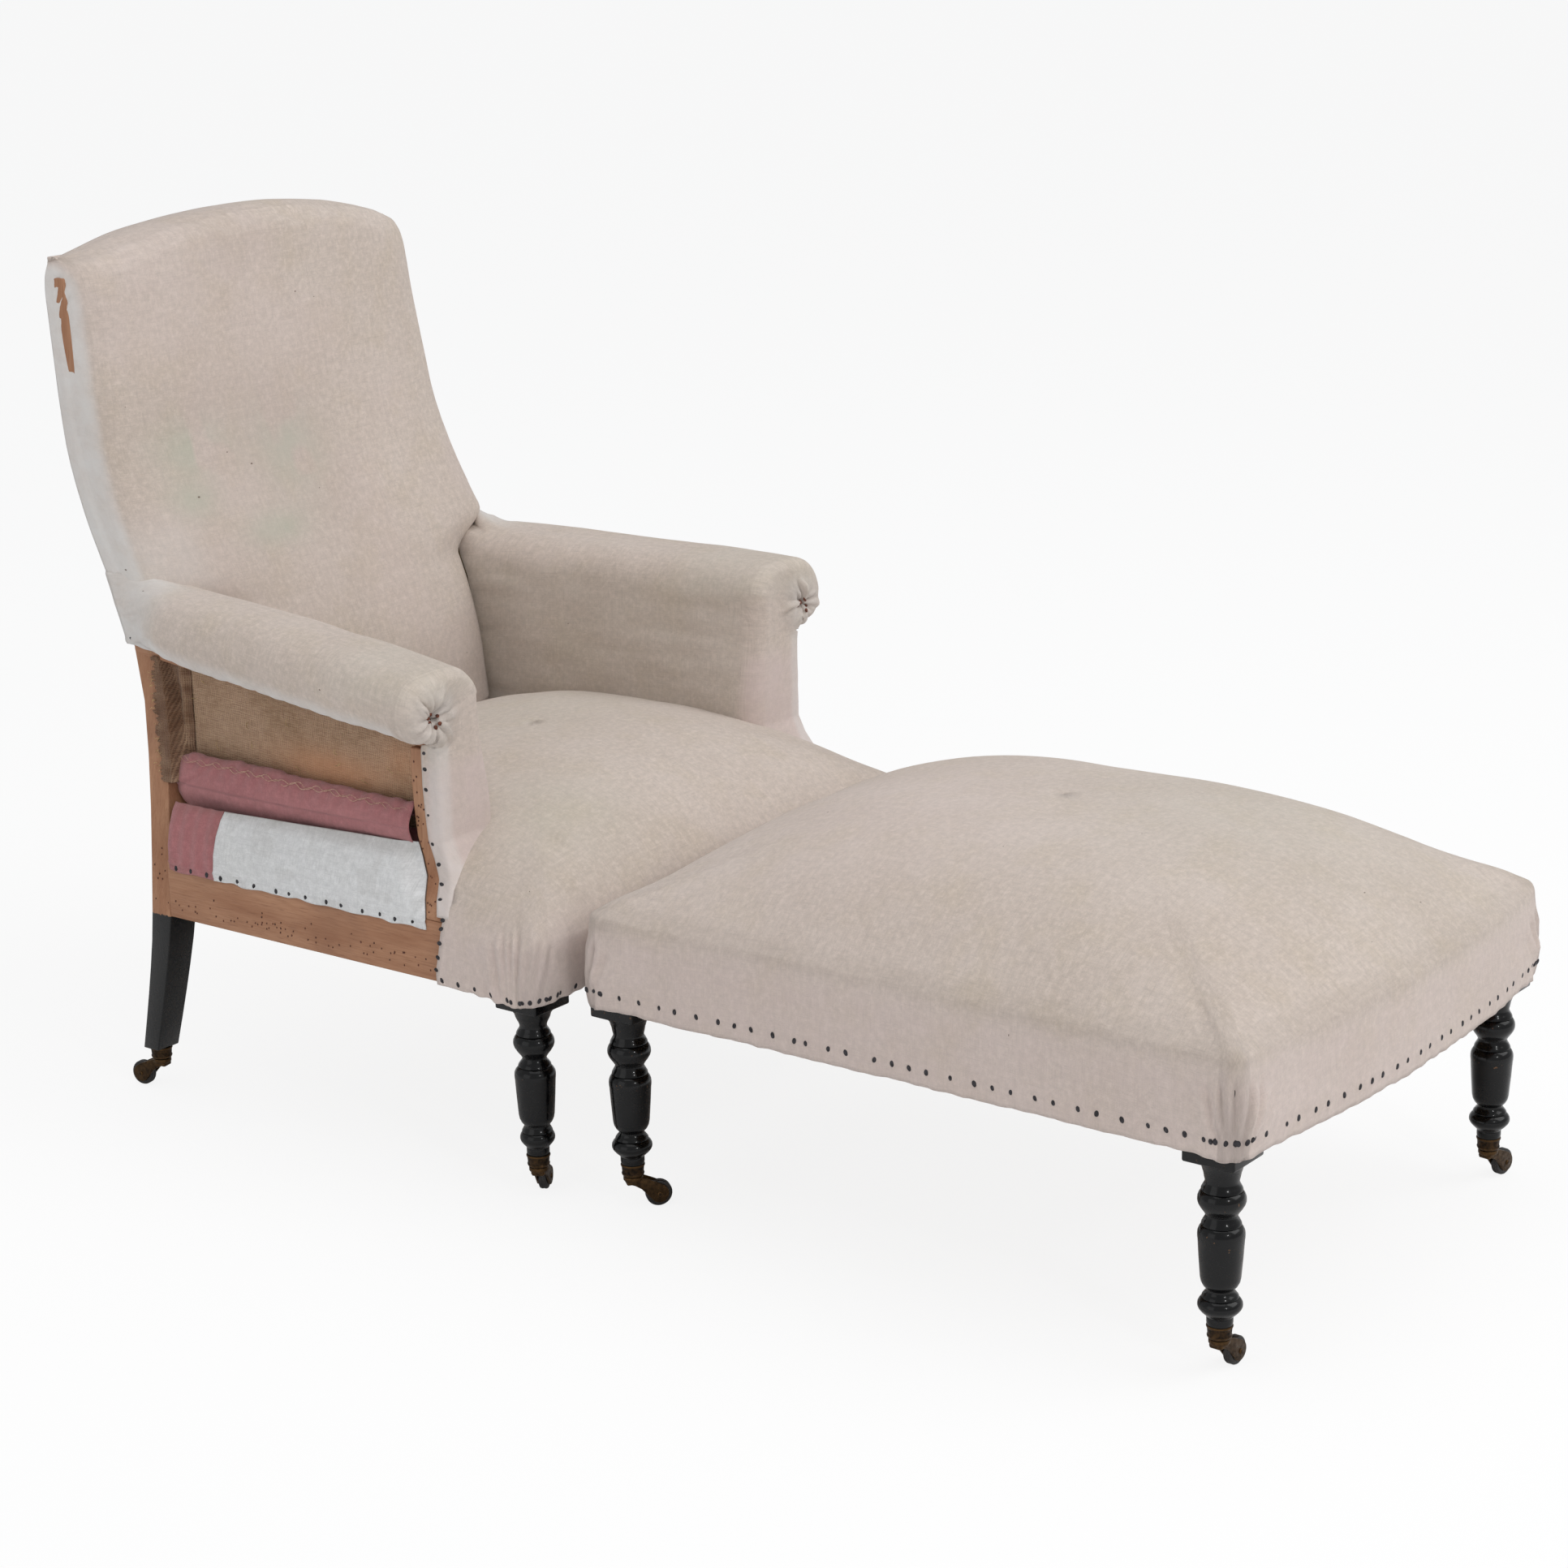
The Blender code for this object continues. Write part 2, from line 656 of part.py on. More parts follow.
def arm_rail_rings(side, grow):
    rings = []
    start = depth(ARM_FRONT) + SOFT_CLEARANCE + FACING_THICKNESS
    for y in steps(start - grow, arm_end() + grow, ARM_RAIL_STEPS):
        outer = arm_rail_outer(y) + grow
        inner = arm_rail_outer(y) - ARM_RAIL_WIDTH - grow
        low, high = arm_rail_bottom(y) - grow, arm_rail_bottom(y) + ARM_RAIL_HEIGHT + grow
        rings.append([(side * outer, y, low), (side * outer, y, high),
                      (side * inner, y, high), (side * inner, y, low)])
    return rings


def arm_frame(word, side, material):
    """Curved stump on the side rail, and the arm rail from its top back to the stile."""
    rail = loft(f"arm_rail_{word}", arm_rail_rings(side, 0), material)
    cut(rail, stile_cutter(side, CLEARANCE))
    loft(f"arm_stump_{word}", stump_rings(side), material)


# Webbing, springs and hessian

def strap_grid(name, half_width, front, back, across, lengthwise, reach, material):
    """Straps under a seat frame, laced into one web."""
    bodies = []
    top = RAIL_BOTTOM - CLEARANCE
    for x in steps(-reach, reach, lengthwise - 1):
        low = (x - WEB_WIDTH / 2, front + RAIL_THICKNESS - WEB_LAP, top - WEB_THICKNESS)
        bodies.append(box_rings(low, (x + WEB_WIDTH / 2, back - RAIL_THICKNESS + WEB_LAP, top)))
    top -= WEB_THICKNESS * WEB_LACING
    inner = half_width - RAIL_THICKNESS
    margin = BLOCK_SIDE + WEB_WIDTH / 2 + WEB_LAP
    for y in steps(front + margin, back - margin, across - 1):
        bodies.append(box_rings((-inner - WEB_LAP, y - WEB_WIDTH / 2, top - WEB_THICKNESS),
                                (inner + WEB_LAP, y + WEB_WIDTH / 2, top)))
    merge_flats(united(name, bodies, material))


def spring_rings(x, y, bottom, top):
    """Hourglass coil of round wire with nearly flat end turns, and its least gap to itself."""
    count = int(SPRING_TURNS * SPRING_TURN_POINTS)
    rings, path = [], []
    for i in range(count + 1):
        turn = i / SPRING_TURN_POINTS
        middle = min(max((turn - 1) / (SPRING_TURNS - 2), 0), 1)
        radius = mix(SPRING_WAIST, SPRING_RADIUS, abs(2 * middle - 1) ** 2)
        angle = 2 * math.pi * turn
        rise = min(turn, 1) + max(turn - (SPRING_TURNS - 1), 0)
        z = bottom + SPRING_END_RISE * rise + (top - bottom - 2 * SPRING_END_RISE) * middle
        path.append(Vector((radius * math.cos(angle), radius * math.sin(angle), z)))
        ring = []
        for k in range(SPRING_SIDES):
            around = 2 * math.pi * k / SPRING_SIDES
            reach = radius + SPRING_WIRE / 2 * math.cos(around)
            ring.append((x + reach * math.cos(angle), y + reach * math.sin(angle),
                         z + SPRING_WIRE / 2 * math.sin(around)))
        rings.append(ring)
    apart = SPRING_TURN_POINTS - 2
    gap = min((a - b).length for i, a in enumerate(path) for b in path[i + apart:]) - SPRING_WIRE
    return rings, gap


def cord_rings(points):
    """Square cord through a row of points, its sides upright."""
    (x0, y0, _), (x1, y1, _) = points[0], points[-1]
    length = math.hypot(x1 - x0, y1 - y0)
    half = CORD / 2
    side_x, side_y = (y1 - y0) / length * half, (x0 - x1) / length * half
    return [[(x + side_x, y + side_y, z - half), (x - side_x, y - side_y, z - half),
             (x - side_x, y - side_y, z + half), (x + side_x, y + side_y, z + half)]
            for x, y, z in points]


def springs(name, places, cords, top_of, material):
    """Coil springs on the webbing, lashed together across their tops."""
    base = RAIL_BOTTOM + SPRING_WIRE / 2
    coils = [spring_rings(x, y, base, top_of(x, y) - SPRING_WIRE) for x, y in places]
    least = min(gap for _, gap in coils)
    print(name, "least gap of a coil to itself in mm:", round(least * 1000, 2))
    lashing = []
    for cord in cords:
        line = [(x, y, top_of(x, y) - SPRING_WIRE - SPRING_END_RISE / 4) for x, y in cord]
        (x0, y0, z0), (x1, y1, z1) = line[0], line[-1]
        if y1 == y0 or (x1 - x0) * (y1 - y0) < 0:
            line = [(x, y, z - CORD / 4) for x, y, z in line]
        share = SPRING_RADIUS / math.hypot(x1 - x0, y1 - y0)
        more_x, more_y = (x1 - x0) * share, (y1 - y0) * share
        line = [(x0 - more_x, y0 - more_y, z0), *line, (x1 + more_x, y1 + more_y, z1)]
        lashing.append(cord_rings(line))
    united(name, [rings for rings, _ in coils] + lashing, material, "MANIFOLD")


def well_ring(half_width, front, back, rise, scale, lift, bow=0.0):
    """One rectangular ring of the hollow over the springs."""
    middle = (front + back) / 2
    half_length = (back - front) / 2
    points = []
    for u, v in rectangle_shares():
        x, y = u * half_width * scale, v * half_length * scale
        swell = (1 - (u * scale) ** 2) * (1 - (v * scale) ** 2)
        forward = bow * (1 - u * u) * max(-v, 0) * scale
        points.append((x, middle + y - forward, RAIL_TOP + lift + rise * swell))
    return points


def rectangle_shares():
    """Points round a unit rectangle, close enough to follow a bowed front."""
    side = [-1 + 2 * i / BOW_STEPS for i in range(BOW_STEPS)]
    return ([(u, -1) for u in side] + [(1, v) for v in side]
            + [(-u, 1) for u in side] + [(-1, -v) for v in side])


def well_cutter(half_width, front, back, rise, bow=0.0):
    """The space inside a seat pad for the frame and the springs."""
    grow = CLEARANCE
    lift = 2 * grow
    walls = [well_ring(half_width + grow, front - grow, back + grow, 0, 1.0, z, bow)
             for z in (-RAIL_HEIGHT - OVERRUN, grow)]
    plan = (half_width - WELL_INSET, front + WELL_INSET, back - WELL_INSET, rise)
    over = [well_ring(*plan, scale, lift, bow) for scale in (1.0, *WELL_SHARES)]
    return loft("well_cutter", walls + over, None)


def well_height(x, y, half_width, front, back, rise):
    """Height of the hollow over the outer corner of a spring."""
    u = (abs(x) + SPRING_RADIUS) / (half_width - WELL_INSET)
    v = (abs(y - (front + back) / 2) + SPRING_RADIUS) / ((back - front) / 2 - WELL_INSET)
    if x == 0 and v < u:
        u = v = WELL_SHARES[-1]
    scale = max(u, v)
    def height(ring):
        return (1 - (u * ring / scale) ** 2) * (1 - (v * ring / scale) ** 2)
    outer = min(ring for ring in (1.0, *WELL_SHARES) if ring >= scale)
    inner = max((ring for ring in WELL_SHARES if ring < outer), default=outer)
    share = (scale - inner) / (outer - inner) if outer > inner else 0
    return RAIL_TOP + rise * mix(height(inner), height(outer), share)


# Cushions

def plan_ring(half_width, front, back, corner, bow, height_of):
    """Rounded rectangle seen from above, with a bowed front edge."""
    points = []
    corners = ((half_width, front, -90), (half_width, back, 0), (-half_width, back, 90),
               (-half_width, front, 180))
    for k, (cx, cy, start) in enumerate(corners):
        centre_x = cx - math.copysign(corner, cx)
        centre_y = cy + (corner if cy == front else -corner)
        for step in range(3):
            angle = math.radians(start + 45 * step)
            points.append((centre_x + corner * math.cos(angle), centre_y + corner * math.sin(angle)))
        nx, ny, following = corners[(k + 1) % 4]
        next_x = nx - math.copysign(corner, nx) + corner * math.cos(math.radians(following))
        next_y = (ny + (corner if ny == front else -corner)
                  + corner * math.sin(math.radians(following)))
        x0, y0 = points[-1]
        for i in range(1, BOW_STEPS):
            points.append((mix(x0, next_x, i / BOW_STEPS), mix(y0, next_y, i / BOW_STEPS)))
    middle = (front + back) / 2
    ring = []
    for x, y in points:
        forward = bow * (1 - (x / half_width) ** 2) * max((middle - y) / (middle - front), 0)
        ring.append((x, y - forward, height_of(x, y)))
    return ring


def cushion_rings(half_width, front, back, skirt, bulge, corner, edge, bottom, height_of, bow=0.0):
    """Border from the hem up to the edge, then the crown in ever smaller rings."""
    rings = []
    border = [(bottom, 0.0)]
    border += [(mix(bottom + HEM_BAND, edge, share), share) for share in BORDER_SHARES]
    for level, share in border:
        out = skirt + bulge * math.sin(math.pi * share)
        rings.append(plan_ring(half_width + out, front - out, back + out, corner, bow,
                               lambda x, y, z=level: z))
    middle = (front + back) / 2
    for scale in DOME_SHARES:
        wide = (half_width + skirt) * scale
        near = middle + (front - skirt - middle) * scale
        far = middle + (back + skirt - middle) * scale
        rings.append(plan_ring(wide, near, far, corner * scale, bow * scale, height_of))
    return rings


def seat_rings(grow):
    """The seat cushion before the frame and the arms are cut out of it."""
    skirt = SEAT_SKIRT + grow
    front = depth(0)
    back = depth(SEAT_DOME_BACK) - SEAT_SKIRT
    return cushion_rings(CHAIR_HALF_WIDTH, front, back, skirt, SEAT_BULGE, SEAT_CORNER,
                         SEAT_EDGE, RAIL_BOTTOM - grow, lambda x, y: seat_height(x, y) + grow)


def side_space_cutter(side):
    """Everything outside the calico lining, behind the front skirt of the seat."""
    start = depth(SEAT_SIDE_OPEN)
    end = depth(SEAT_DOME_BACK) + OVERRUN
    far = CHAIR_HALF_WIDTH + SEAT_SKIRT + 2 * OVERRUN
    gap = CALICO_THICKNESS + SOFT_CLEARANCE
    base = RAIL_TOP - CALICO_LAP
    heights = steps(base, base + CALICO_HEIGHT, CALICO_STEPS)
    inner = [(side * (calico_outer(z) - gap), z) for z in heights]
    inner.append((side * (calico_outer(heights[-1]) - gap), SEAT_EDGE + SEAT_CROWN))
    outer = [(side * far, SEAT_EDGE + SEAT_CROWN), (side * far, RAIL_BOTTOM - OVERRUN),
             (side * (CHAIR_HALF_WIDTH - CLEARANCE), RAIL_BOTTOM - OVERRUN)]
    return loft("side_cutter", [[(x, y, z) for x, z in inner + outer] for y in (start, end)], None)


def seat_pad(material):
    """Crowned stuffed seat, its cover drawn down over the front rail."""
    pad = loft("seat_pad", seat_rings(0), material)
    cut(pad, well_cutter(CHAIR_HALF_WIDTH, depth(0), depth(CHAIR_DEPTH), WELL_RISE))
    wide = CHAIR_HALF_WIDTH + SEAT_SKIRT + OVERRUN
    cut(pad, loft("rear_cutter", box_rings(
        (-wide, depth(SEAT_PAD_BACK), RAIL_BOTTOM - OVERRUN),
        (wide, depth(SEAT_DOME_BACK) + OVERRUN, SEAT_EDGE + SEAT_CROWN)), None))
    for side in (-1, 1):
        cut(pad, side_space_cutter(side))
        cut(pad, loft("stump_cutter", stump_rings(side, SOFT_CLEARANCE), None))
    merge_flats(pad)


def arm_outline(y, side, grow):
    """Cross section of an arm pad: inner face, shoulder, outer roll and the lap on the rail."""
    share = arm_share(y)
    outer = ROLL_OUTER - ROLL_OUTER_DRAW * along(ROLL_OUTER_DRAW_SHARES, share) + grow
    radius = ROLL_RADIUS - ROLL_RADIUS_LOSS * share + grow
    top = ARM_TOP + ARM_TOP_RISE * share + grow
    inner = ARM_INNER - ARM_INNER_DRAW * share - grow
    centre_x, centre_z = outer - radius, top - radius
    lining = side_lining(y) - HESSIAN_THICKNESS - SOFT_CLEARANCE + grow
    lap = arm_rail_bottom(y) + HEM_LAP
    swell = mix(ARM_PAD_BOTTOM, top, ARM_SWELL_SHARE)
    profile = [(inner, ARM_PAD_BOTTOM), (inner - ARM_SWELL, swell), (inner, top - ARM_SHOULDER)]
    profile += [(inner + ARM_SHOULDER * a, top - ARM_SHOULDER * b) for a, b in ARM_SHOULDER_SHARES]
    profile += [(centre_x + radius * math.cos(math.radians(a)),
                 centre_z + radius * math.sin(math.radians(a))) for a in ROLL_ANGLES]
    profile += [(arm_rail_outer(y) + HESSIAN_THICKNESS, lap - grow), (lining, lap - grow),
                (lining, ARM_PAD_BOTTOM)]
    return [(side * x, y, z) for x, z in profile]


def arm_rings(side, grow):
    front = depth(ARM_FRONT) - grow
    rings = [arm_outline(front + ARM_NOSE_DEPTH * back, side, grow - ARM_NOSE_INSET * inset)
             for back, inset in ARM_NOSE_SHARES]
    start = front + ARM_NOSE_DEPTH
    return rings + [arm_outline(y, side, grow)
                    for y in steps(start, arm_end() + grow, ARM_PAD_STEPS)[1:]]


def arm_pad(word, side, material):
    """Stuffed arm with its outward roll and the facing below it, over the frame of the arm."""
    pad = loft(f"arm_pad_{word}", arm_rings(side, 0), material)
    combine(pad, loft("facing", facing_rings(side), material), "UNION")
    grow = SOFT_CLEARANCE
    lap = arm_rail_bottom(arm_end()) + HEM_LAP
    cut(pad, behind_back(0, lap, ROLL_OUTER), behind_back(side, STILE_TOP, STILE_WIDTH),
        loft("rail_cutter", arm_rail_rings(side, grow), None),
        loft("stump_cutter", stump_rings(side, grow), None),
        stile_cutter(side, grow), loft("seat_cutter", seat_rings(grow), None))
    merge_flats(pad)
    return pad


def behind_back(side, top, width):
    """The space behind the front of the stiles, between them when a side is given."""
    rings = []
    for z in levels(ARM_PAD_BOTTOM - OVERRUN, top):
        front = stile_front(z) - BACK_LINING_DEPTH - SOFT_CLEARANCE
        reach = stile_outer(z) - width / 2 if side else 2 * width
        low, high = sorted((-reach, 0) if side < 0 else (0, reach)) if side else (-reach, reach)
        back = stile_back(z) + BACK_THICKNESS
        rings.append([(low, front, z), (high, front, z), (high, back, z), (low, back, z)])
    return loft("behind_back", rings, None)


def facing_rings(side):
    """Upright panel in front of a stump, from the seat up to the roll."""
    rings = []
    top = ARM_RAIL_FRONT_BOTTOM + FACING_RISE
    for z in steps(FACING_BOTTOM, top, FACING_STEPS):
        outer, front = stump_place(z)
        rear = front - CLEARANCE
        front = rear - FACING_THICKNESS
        share = (z - FACING_BOTTOM) / (top - FACING_BOTTOM)
        inner = mix(outer - STUMP_THICKNESS, FACING_INNER, min(1, (share * FACING_SWEEP) ** 0.5))
        outer += CLEARANCE
        rings.append([(side * outer, front, z), (side * outer, rear, z),
                      (side * inner, rear, z), (side * inner, front, z)])
    return rings


def back_half_width(z):
    """Half width of the back pad: a neck between the arms, shoulders over the stiles above."""
    full = stile_outer(z) + BACK_BAND
    share = min(max((z - BACK_NECK_TOP) / (BACK_SHOULDER - BACK_NECK_TOP), 0), 1)
    return mix(BACK_NECK_HALF_WIDTH, full, share)


def back_top(x):
    return crest_top(x) + BACK_CROWN_TOP


def back_ring(share, grow):
    """One level of the back pad, which follows the arch of the crest near the top."""
    level = mix(BACK_PAD_BOTTOM, back_top(0), share)
    half = back_half_width(level) + grow
    start = BACK_ROUNDING_START_SHARE
    round_off = max(0.0, (share - start) / (1 - start))
    shrink = BACK_TOP_ROUNDING * (1 - math.sqrt(max(0.0, 1 - round_off ** 2)))
    half -= shrink * BACK_SIDE_ROUNDING_SHARE
    ring = []
    for i in range(BACK_SPAN_STEPS + 1):
        u = -math.cos(math.pi * i / BACK_SPAN_STEPS)
        x = u * half
        z = mix(BACK_PAD_BOTTOM, back_top(x), share)
        thick = BACK_THICKNESS - BACK_THICKNESS_LOSS * max(0.0, 1 - share / BACK_LOIN_SHARE)
        edge = (1 - (1 - abs(u) ** BACK_CORNER_POWER) ** (1 / BACK_CORNER_POWER)) * BACK_SIDE_DEPTH
        ring.append((x, stile_back(z) - thick + edge + shrink - grow, z))
    for u in (1, 0.5, 0, -0.5, -1):
        x = u * half
        z = mix(BACK_PAD_BOTTOM, back_top(x), share)
        ring.append((x, stile_back(z) + grow, z))
    return ring


def back_well():
    """Frame and linings behind the stuffing of the back."""
    grow = SOFT_CLEARANCE
    rings = []
    heights = levels(BACK_PAD_BOTTOM - OVERRUN, STILE_TOP)
    for level in heights + [None]:
        z = heights[-1] if level is None else level
        half = stile_outer(z) + grow
        front, back = stile_front(z) - BACK_LINING_DEPTH, stile_back(z) + OVERRUN
        line = steps(-half, half, CREST_STEPS)
        tops = [z if level else crest_top(x) + grow for x in line]
        ring = [(x, front, top) for x, top in zip(line, tops)]
        ring += [(x, back, top) for x, top in zip(line[::-1], tops[::-1])]
        rings.append(ring)
    return loft("back_well", rings, None)


def back_pad(material):
    """Stuffed inner back, its cover drawn round the stiles and over the crest."""
    rings = [back_ring(share, 0) for share in BACK_LEVEL_SHARES]
    rings.append(back_ring(1.0, 0))
    pad = loft("back_pad", rings, material)
    cut(pad, back_well(), loft("seat_cutter", seat_rings(SOFT_CLEARANCE), None))
    for side in (-1, 1):
        cut(pad, loft("arm_cutter", arm_rings(side, SOFT_CLEARANCE), None))
    drop_offcuts(pad)
    merge_flats(pad)


def back_strips(spans, offset, thickness):
    """Bodies of upright strips or sheets that follow the front of the stiles."""
    bodies = []
    for low_x, high_x, low_z, high_z in spans:
        rings = []
        for z in levels(low_z, high_z):
            back = stile_front(z) - offset
            front = back - thickness
            rings.append([(low_x, front, z), (high_x, front, z), (high_x, back, z), (low_x, back, z)])
        bodies.append(rings)
    return bodies


def back_webbing(material):
    """Straps across and up the back, laced into one web."""
    bottom, top = BACK_PAD_BOTTOM, CREST_BOTTOM + WEB_LAP
    spans = []
    for z in steps(bottom + BACK_WEB_MARGIN, top - BACK_WEB_MARGIN, BACK_WEBS_CROSS - 1):
        reach = min(stile_outer(z) - STILE_WIDTH + WEB_LAP, BACK_NECK_HALF_WIDTH - OVERRUN
                    if z < BACK_SHOULDER else stile_outer(z))
        spans.append((-reach, reach, z - WEB_WIDTH / 2, z + WEB_WIDTH / 2))
    straps = back_strips(spans, CLEARANCE, WEB_THICKNESS)
    reach = BACK_NECK_HALF_WIDTH - BACK_WEB_INSET
    spans = [(x - WEB_WIDTH / 2, x + WEB_WIDTH / 2, bottom + OVERRUN / 2, top)
             for x in steps(-reach, reach, BACK_WEBS_UP - 1)]
    straps += back_strips(spans, CLEARANCE + WEB_THICKNESS * WEB_LACING, WEB_THICKNESS)
    united("back_webbing", straps, material)


# Side linings

def hessian_rings(side):
    """Hessian stretched from stump to stile under an arm rail."""
    rings = []
    low = ROLL_TICK_CENTRE
    front = depth(STUMP_FRONT + STUMP_SETBACK) + STUMP_DEPTH + CLEARANCE
    for share in steps(0, 1, SIDE_LINING_STEPS):
        y = mix(front, stile_front(low) - CLEARANCE, share)
        high_y = mix(front, stile_front(ARM_RAIL_FRONT_BOTTOM) - CLEARANCE, share)
        high = arm_rail_bottom(high_y) - CLEARANCE
        ring = [(side * side_lining(y), y, low), (side * side_lining(high_y), high_y, high)]
        ring += [(x - side * HESSIAN_THICKNESS, y, z) for x, y, z in ring[::-1]]
        rings.append(ring)
    return rings


def roll_rings(side):
    """Soft roll at the foot of the hessian, where the cover of the inner arm comes through."""
    rings = []
    start = depth(STUMP_FRONT + STUMP_SETBACK) + STUMP_DEPTH + CLEARANCE
    end = stile_front(ROLL_TICK_CENTRE - ROLL_TICK_HEIGHT / 2) - CLEARANCE
    for share, size in ROLL_TICK_SHARES:
        y = mix(start, end, share)
        centre = side_lining(y) + ROLL_TICK_DEPTH / 2 - HESSIAN_THICKNESS / 2
        ring = []
        for i in range(ROLL_TICK_SIDES):
            angle = 2 * math.pi * i / ROLL_TICK_SIDES
            ring.append((side * (centre + size * ROLL_TICK_DEPTH / 2 * math.cos(angle)), y,
                         ROLL_TICK_CENTRE + size * ROLL_TICK_HEIGHT / 2 * math.sin(angle)))
        rings.append(ring)
    return rings


def rail_lining(front_of, back_of, side):
    """A strip of cloth that rises from the side rail and leans in over the seat stuffing."""
    base = RAIL_TOP - CALICO_LAP
    top = base + CALICO_HEIGHT
    outer, inner = [], []
    for z in steps(base, top, CALICO_STEPS):
        outer.append((calico_outer(z), z))
        inner.append((calico_outer(z) - CALICO_THICKNESS, z))
    profile = outer + inner[::-1]
    rings = []
    for end_of in (front_of, back_of):
        rings.append([(side * x, end_of(z), z) for x, z in profile])
    return rings


def side_linings(white, hessian):
    """Calico along each side of the seat, and hessian with its roll under each arm."""
    def front_edge(z):
        return stump_place(max(z, RAIL_TOP))[1] + STUMP_DEPTH + CLEARANCE + SOFT_CLEARANCE
    def rear_edge(z):
        return depth(PATCH_BACK - PATCH_SLOPE * (z - RAIL_TOP) / CALICO_HEIGHT)
    for word, side in (("right", -1), ("left", 1)):
        loft(f"side_calico_{word}", rail_lining(front_edge, rear_edge, side), white)
        united(f"side_hessian_{word}", [hessian_rings(side), roll_rings(side)], hessian)


# Footstool

def bow_at(x):
    """How far the front of the stool stands forward, on the chords of its curve."""
    place = (x / STOOL_HALF_WIDTH + 1) / 2 * BOW_STEPS
    start = min(int(place), BOW_STEPS - 1)
    near, far = (STOOL_BOW * (1 - (2 * k / BOW_STEPS - 1) ** 2) for k in (start, start + 1))
    return mix(near, far, place - start)


def stool_front_rail(material):
    """Front rail sawn to a bow."""
    reach = STOOL_HALF_WIDTH - BLOCK_SIDE - CLEARANCE
    front = STOOL_BACK - STOOL_DEPTH
    rings = []
    places = [u * STOOL_HALF_WIDTH for u in steps(-1, 1, BOW_STEPS)]
    for x in [-reach] + [x for x in places if abs(x) < reach] + [reach]:
        y = front - bow_at(x)
        rings.append([(x, y, RAIL_BOTTOM), (x, y + RAIL_THICKNESS, RAIL_BOTTOM),
                      (x, y + RAIL_THICKNESS, RAIL_TOP), (x, y, RAIL_TOP)])
    loft("stool_front_rail", rings, material)


def stool_frame(beech, black):
    """Four rails butted to four turned legs."""
    stool_front_rail(beech)
    block = BLOCK_SIDE + CLEARANCE
    front, back = STOOL_BACK - STOOL_DEPTH, STOOL_BACK
    for word, side in (("right", -1), ("left", 1)):
        outer, inner = side * STOOL_HALF_WIDTH, side * (STOOL_HALF_WIDTH - RAIL_THICKNESS)
        rail_box(f"stool_side_rail_{word}", (min(outer, inner), front + block, RAIL_BOTTOM),
                 (max(outer, inner), back - block, RAIL_TOP), beech)
    reach = STOOL_HALF_WIDTH - block
    rail_box("stool_rear_rail", (-reach, back - RAIL_THICKNESS, RAIL_BOTTOM),
             (reach, back, RAIL_TOP), beech)
    half = BLOCK_SIDE / 2
    for place, y in (("front", front + half), ("rear", back - half)):
        for word, side in (("right", -1), ("left", 1)):
            turned_leg(f"stool_{place}_leg_{word}", side * (STOOL_HALF_WIDTH - half), y,
                       STOOL_TURNING_RADIUS, STOOL_TURNING_SHARES, black)


def stool_pad(material):
    """Crowned stuffed top with a bowed front and a border down to the hem."""
    front, back = STOOL_BACK - STOOL_DEPTH, STOOL_BACK
    def height(x, y):
        return dome(x, y, STOOL_HALF_WIDTH + STOOL_SKIRT, front - STOOL_SKIRT, back + STOOL_SKIRT,
                    STOOL_EDGE, STOOL_CROWN, STOOL_CROWN_POWER, STOOL_CROWN_FULLNESS)
    rings = cushion_rings(STOOL_HALF_WIDTH, front, back, STOOL_SKIRT, STOOL_BULGE, STOOL_CORNER,
                          STOOL_EDGE, RAIL_BOTTOM, height, STOOL_BOW)
    pad = loft("stool_pad", rings, material)
    cut(pad, well_cutter(STOOL_HALF_WIDTH, front, back, STOOL_WELL_RISE, STOOL_BOW))
    merge_flats(pad)


# Casters

def socket_rings(x, y):
    """Brass ferrule on a foot with the swivel pin below it, headed to hold the horn."""
    head_bottom = HORN_PLATE_BOTTOM - CLEARANCE - PIN_HEAD_THICKNESS
    levels = ((head_bottom, PIN_HEAD_RADIUS), (head_bottom + PIN_HEAD_THICKNESS, PIN_HEAD_RADIUS),
              (head_bottom + PIN_HEAD_THICKNESS, PIN_RADIUS), (SOCKET_BOTTOM, PIN_RADIUS),
              (SOCKET_BOTTOM, SOCKET_RADIUS), (SOCKET_TOP, SOCKET_RADIUS))
    return [circle((x, y, z), radius, SOCKET_SIDES) for z, radius in levels]


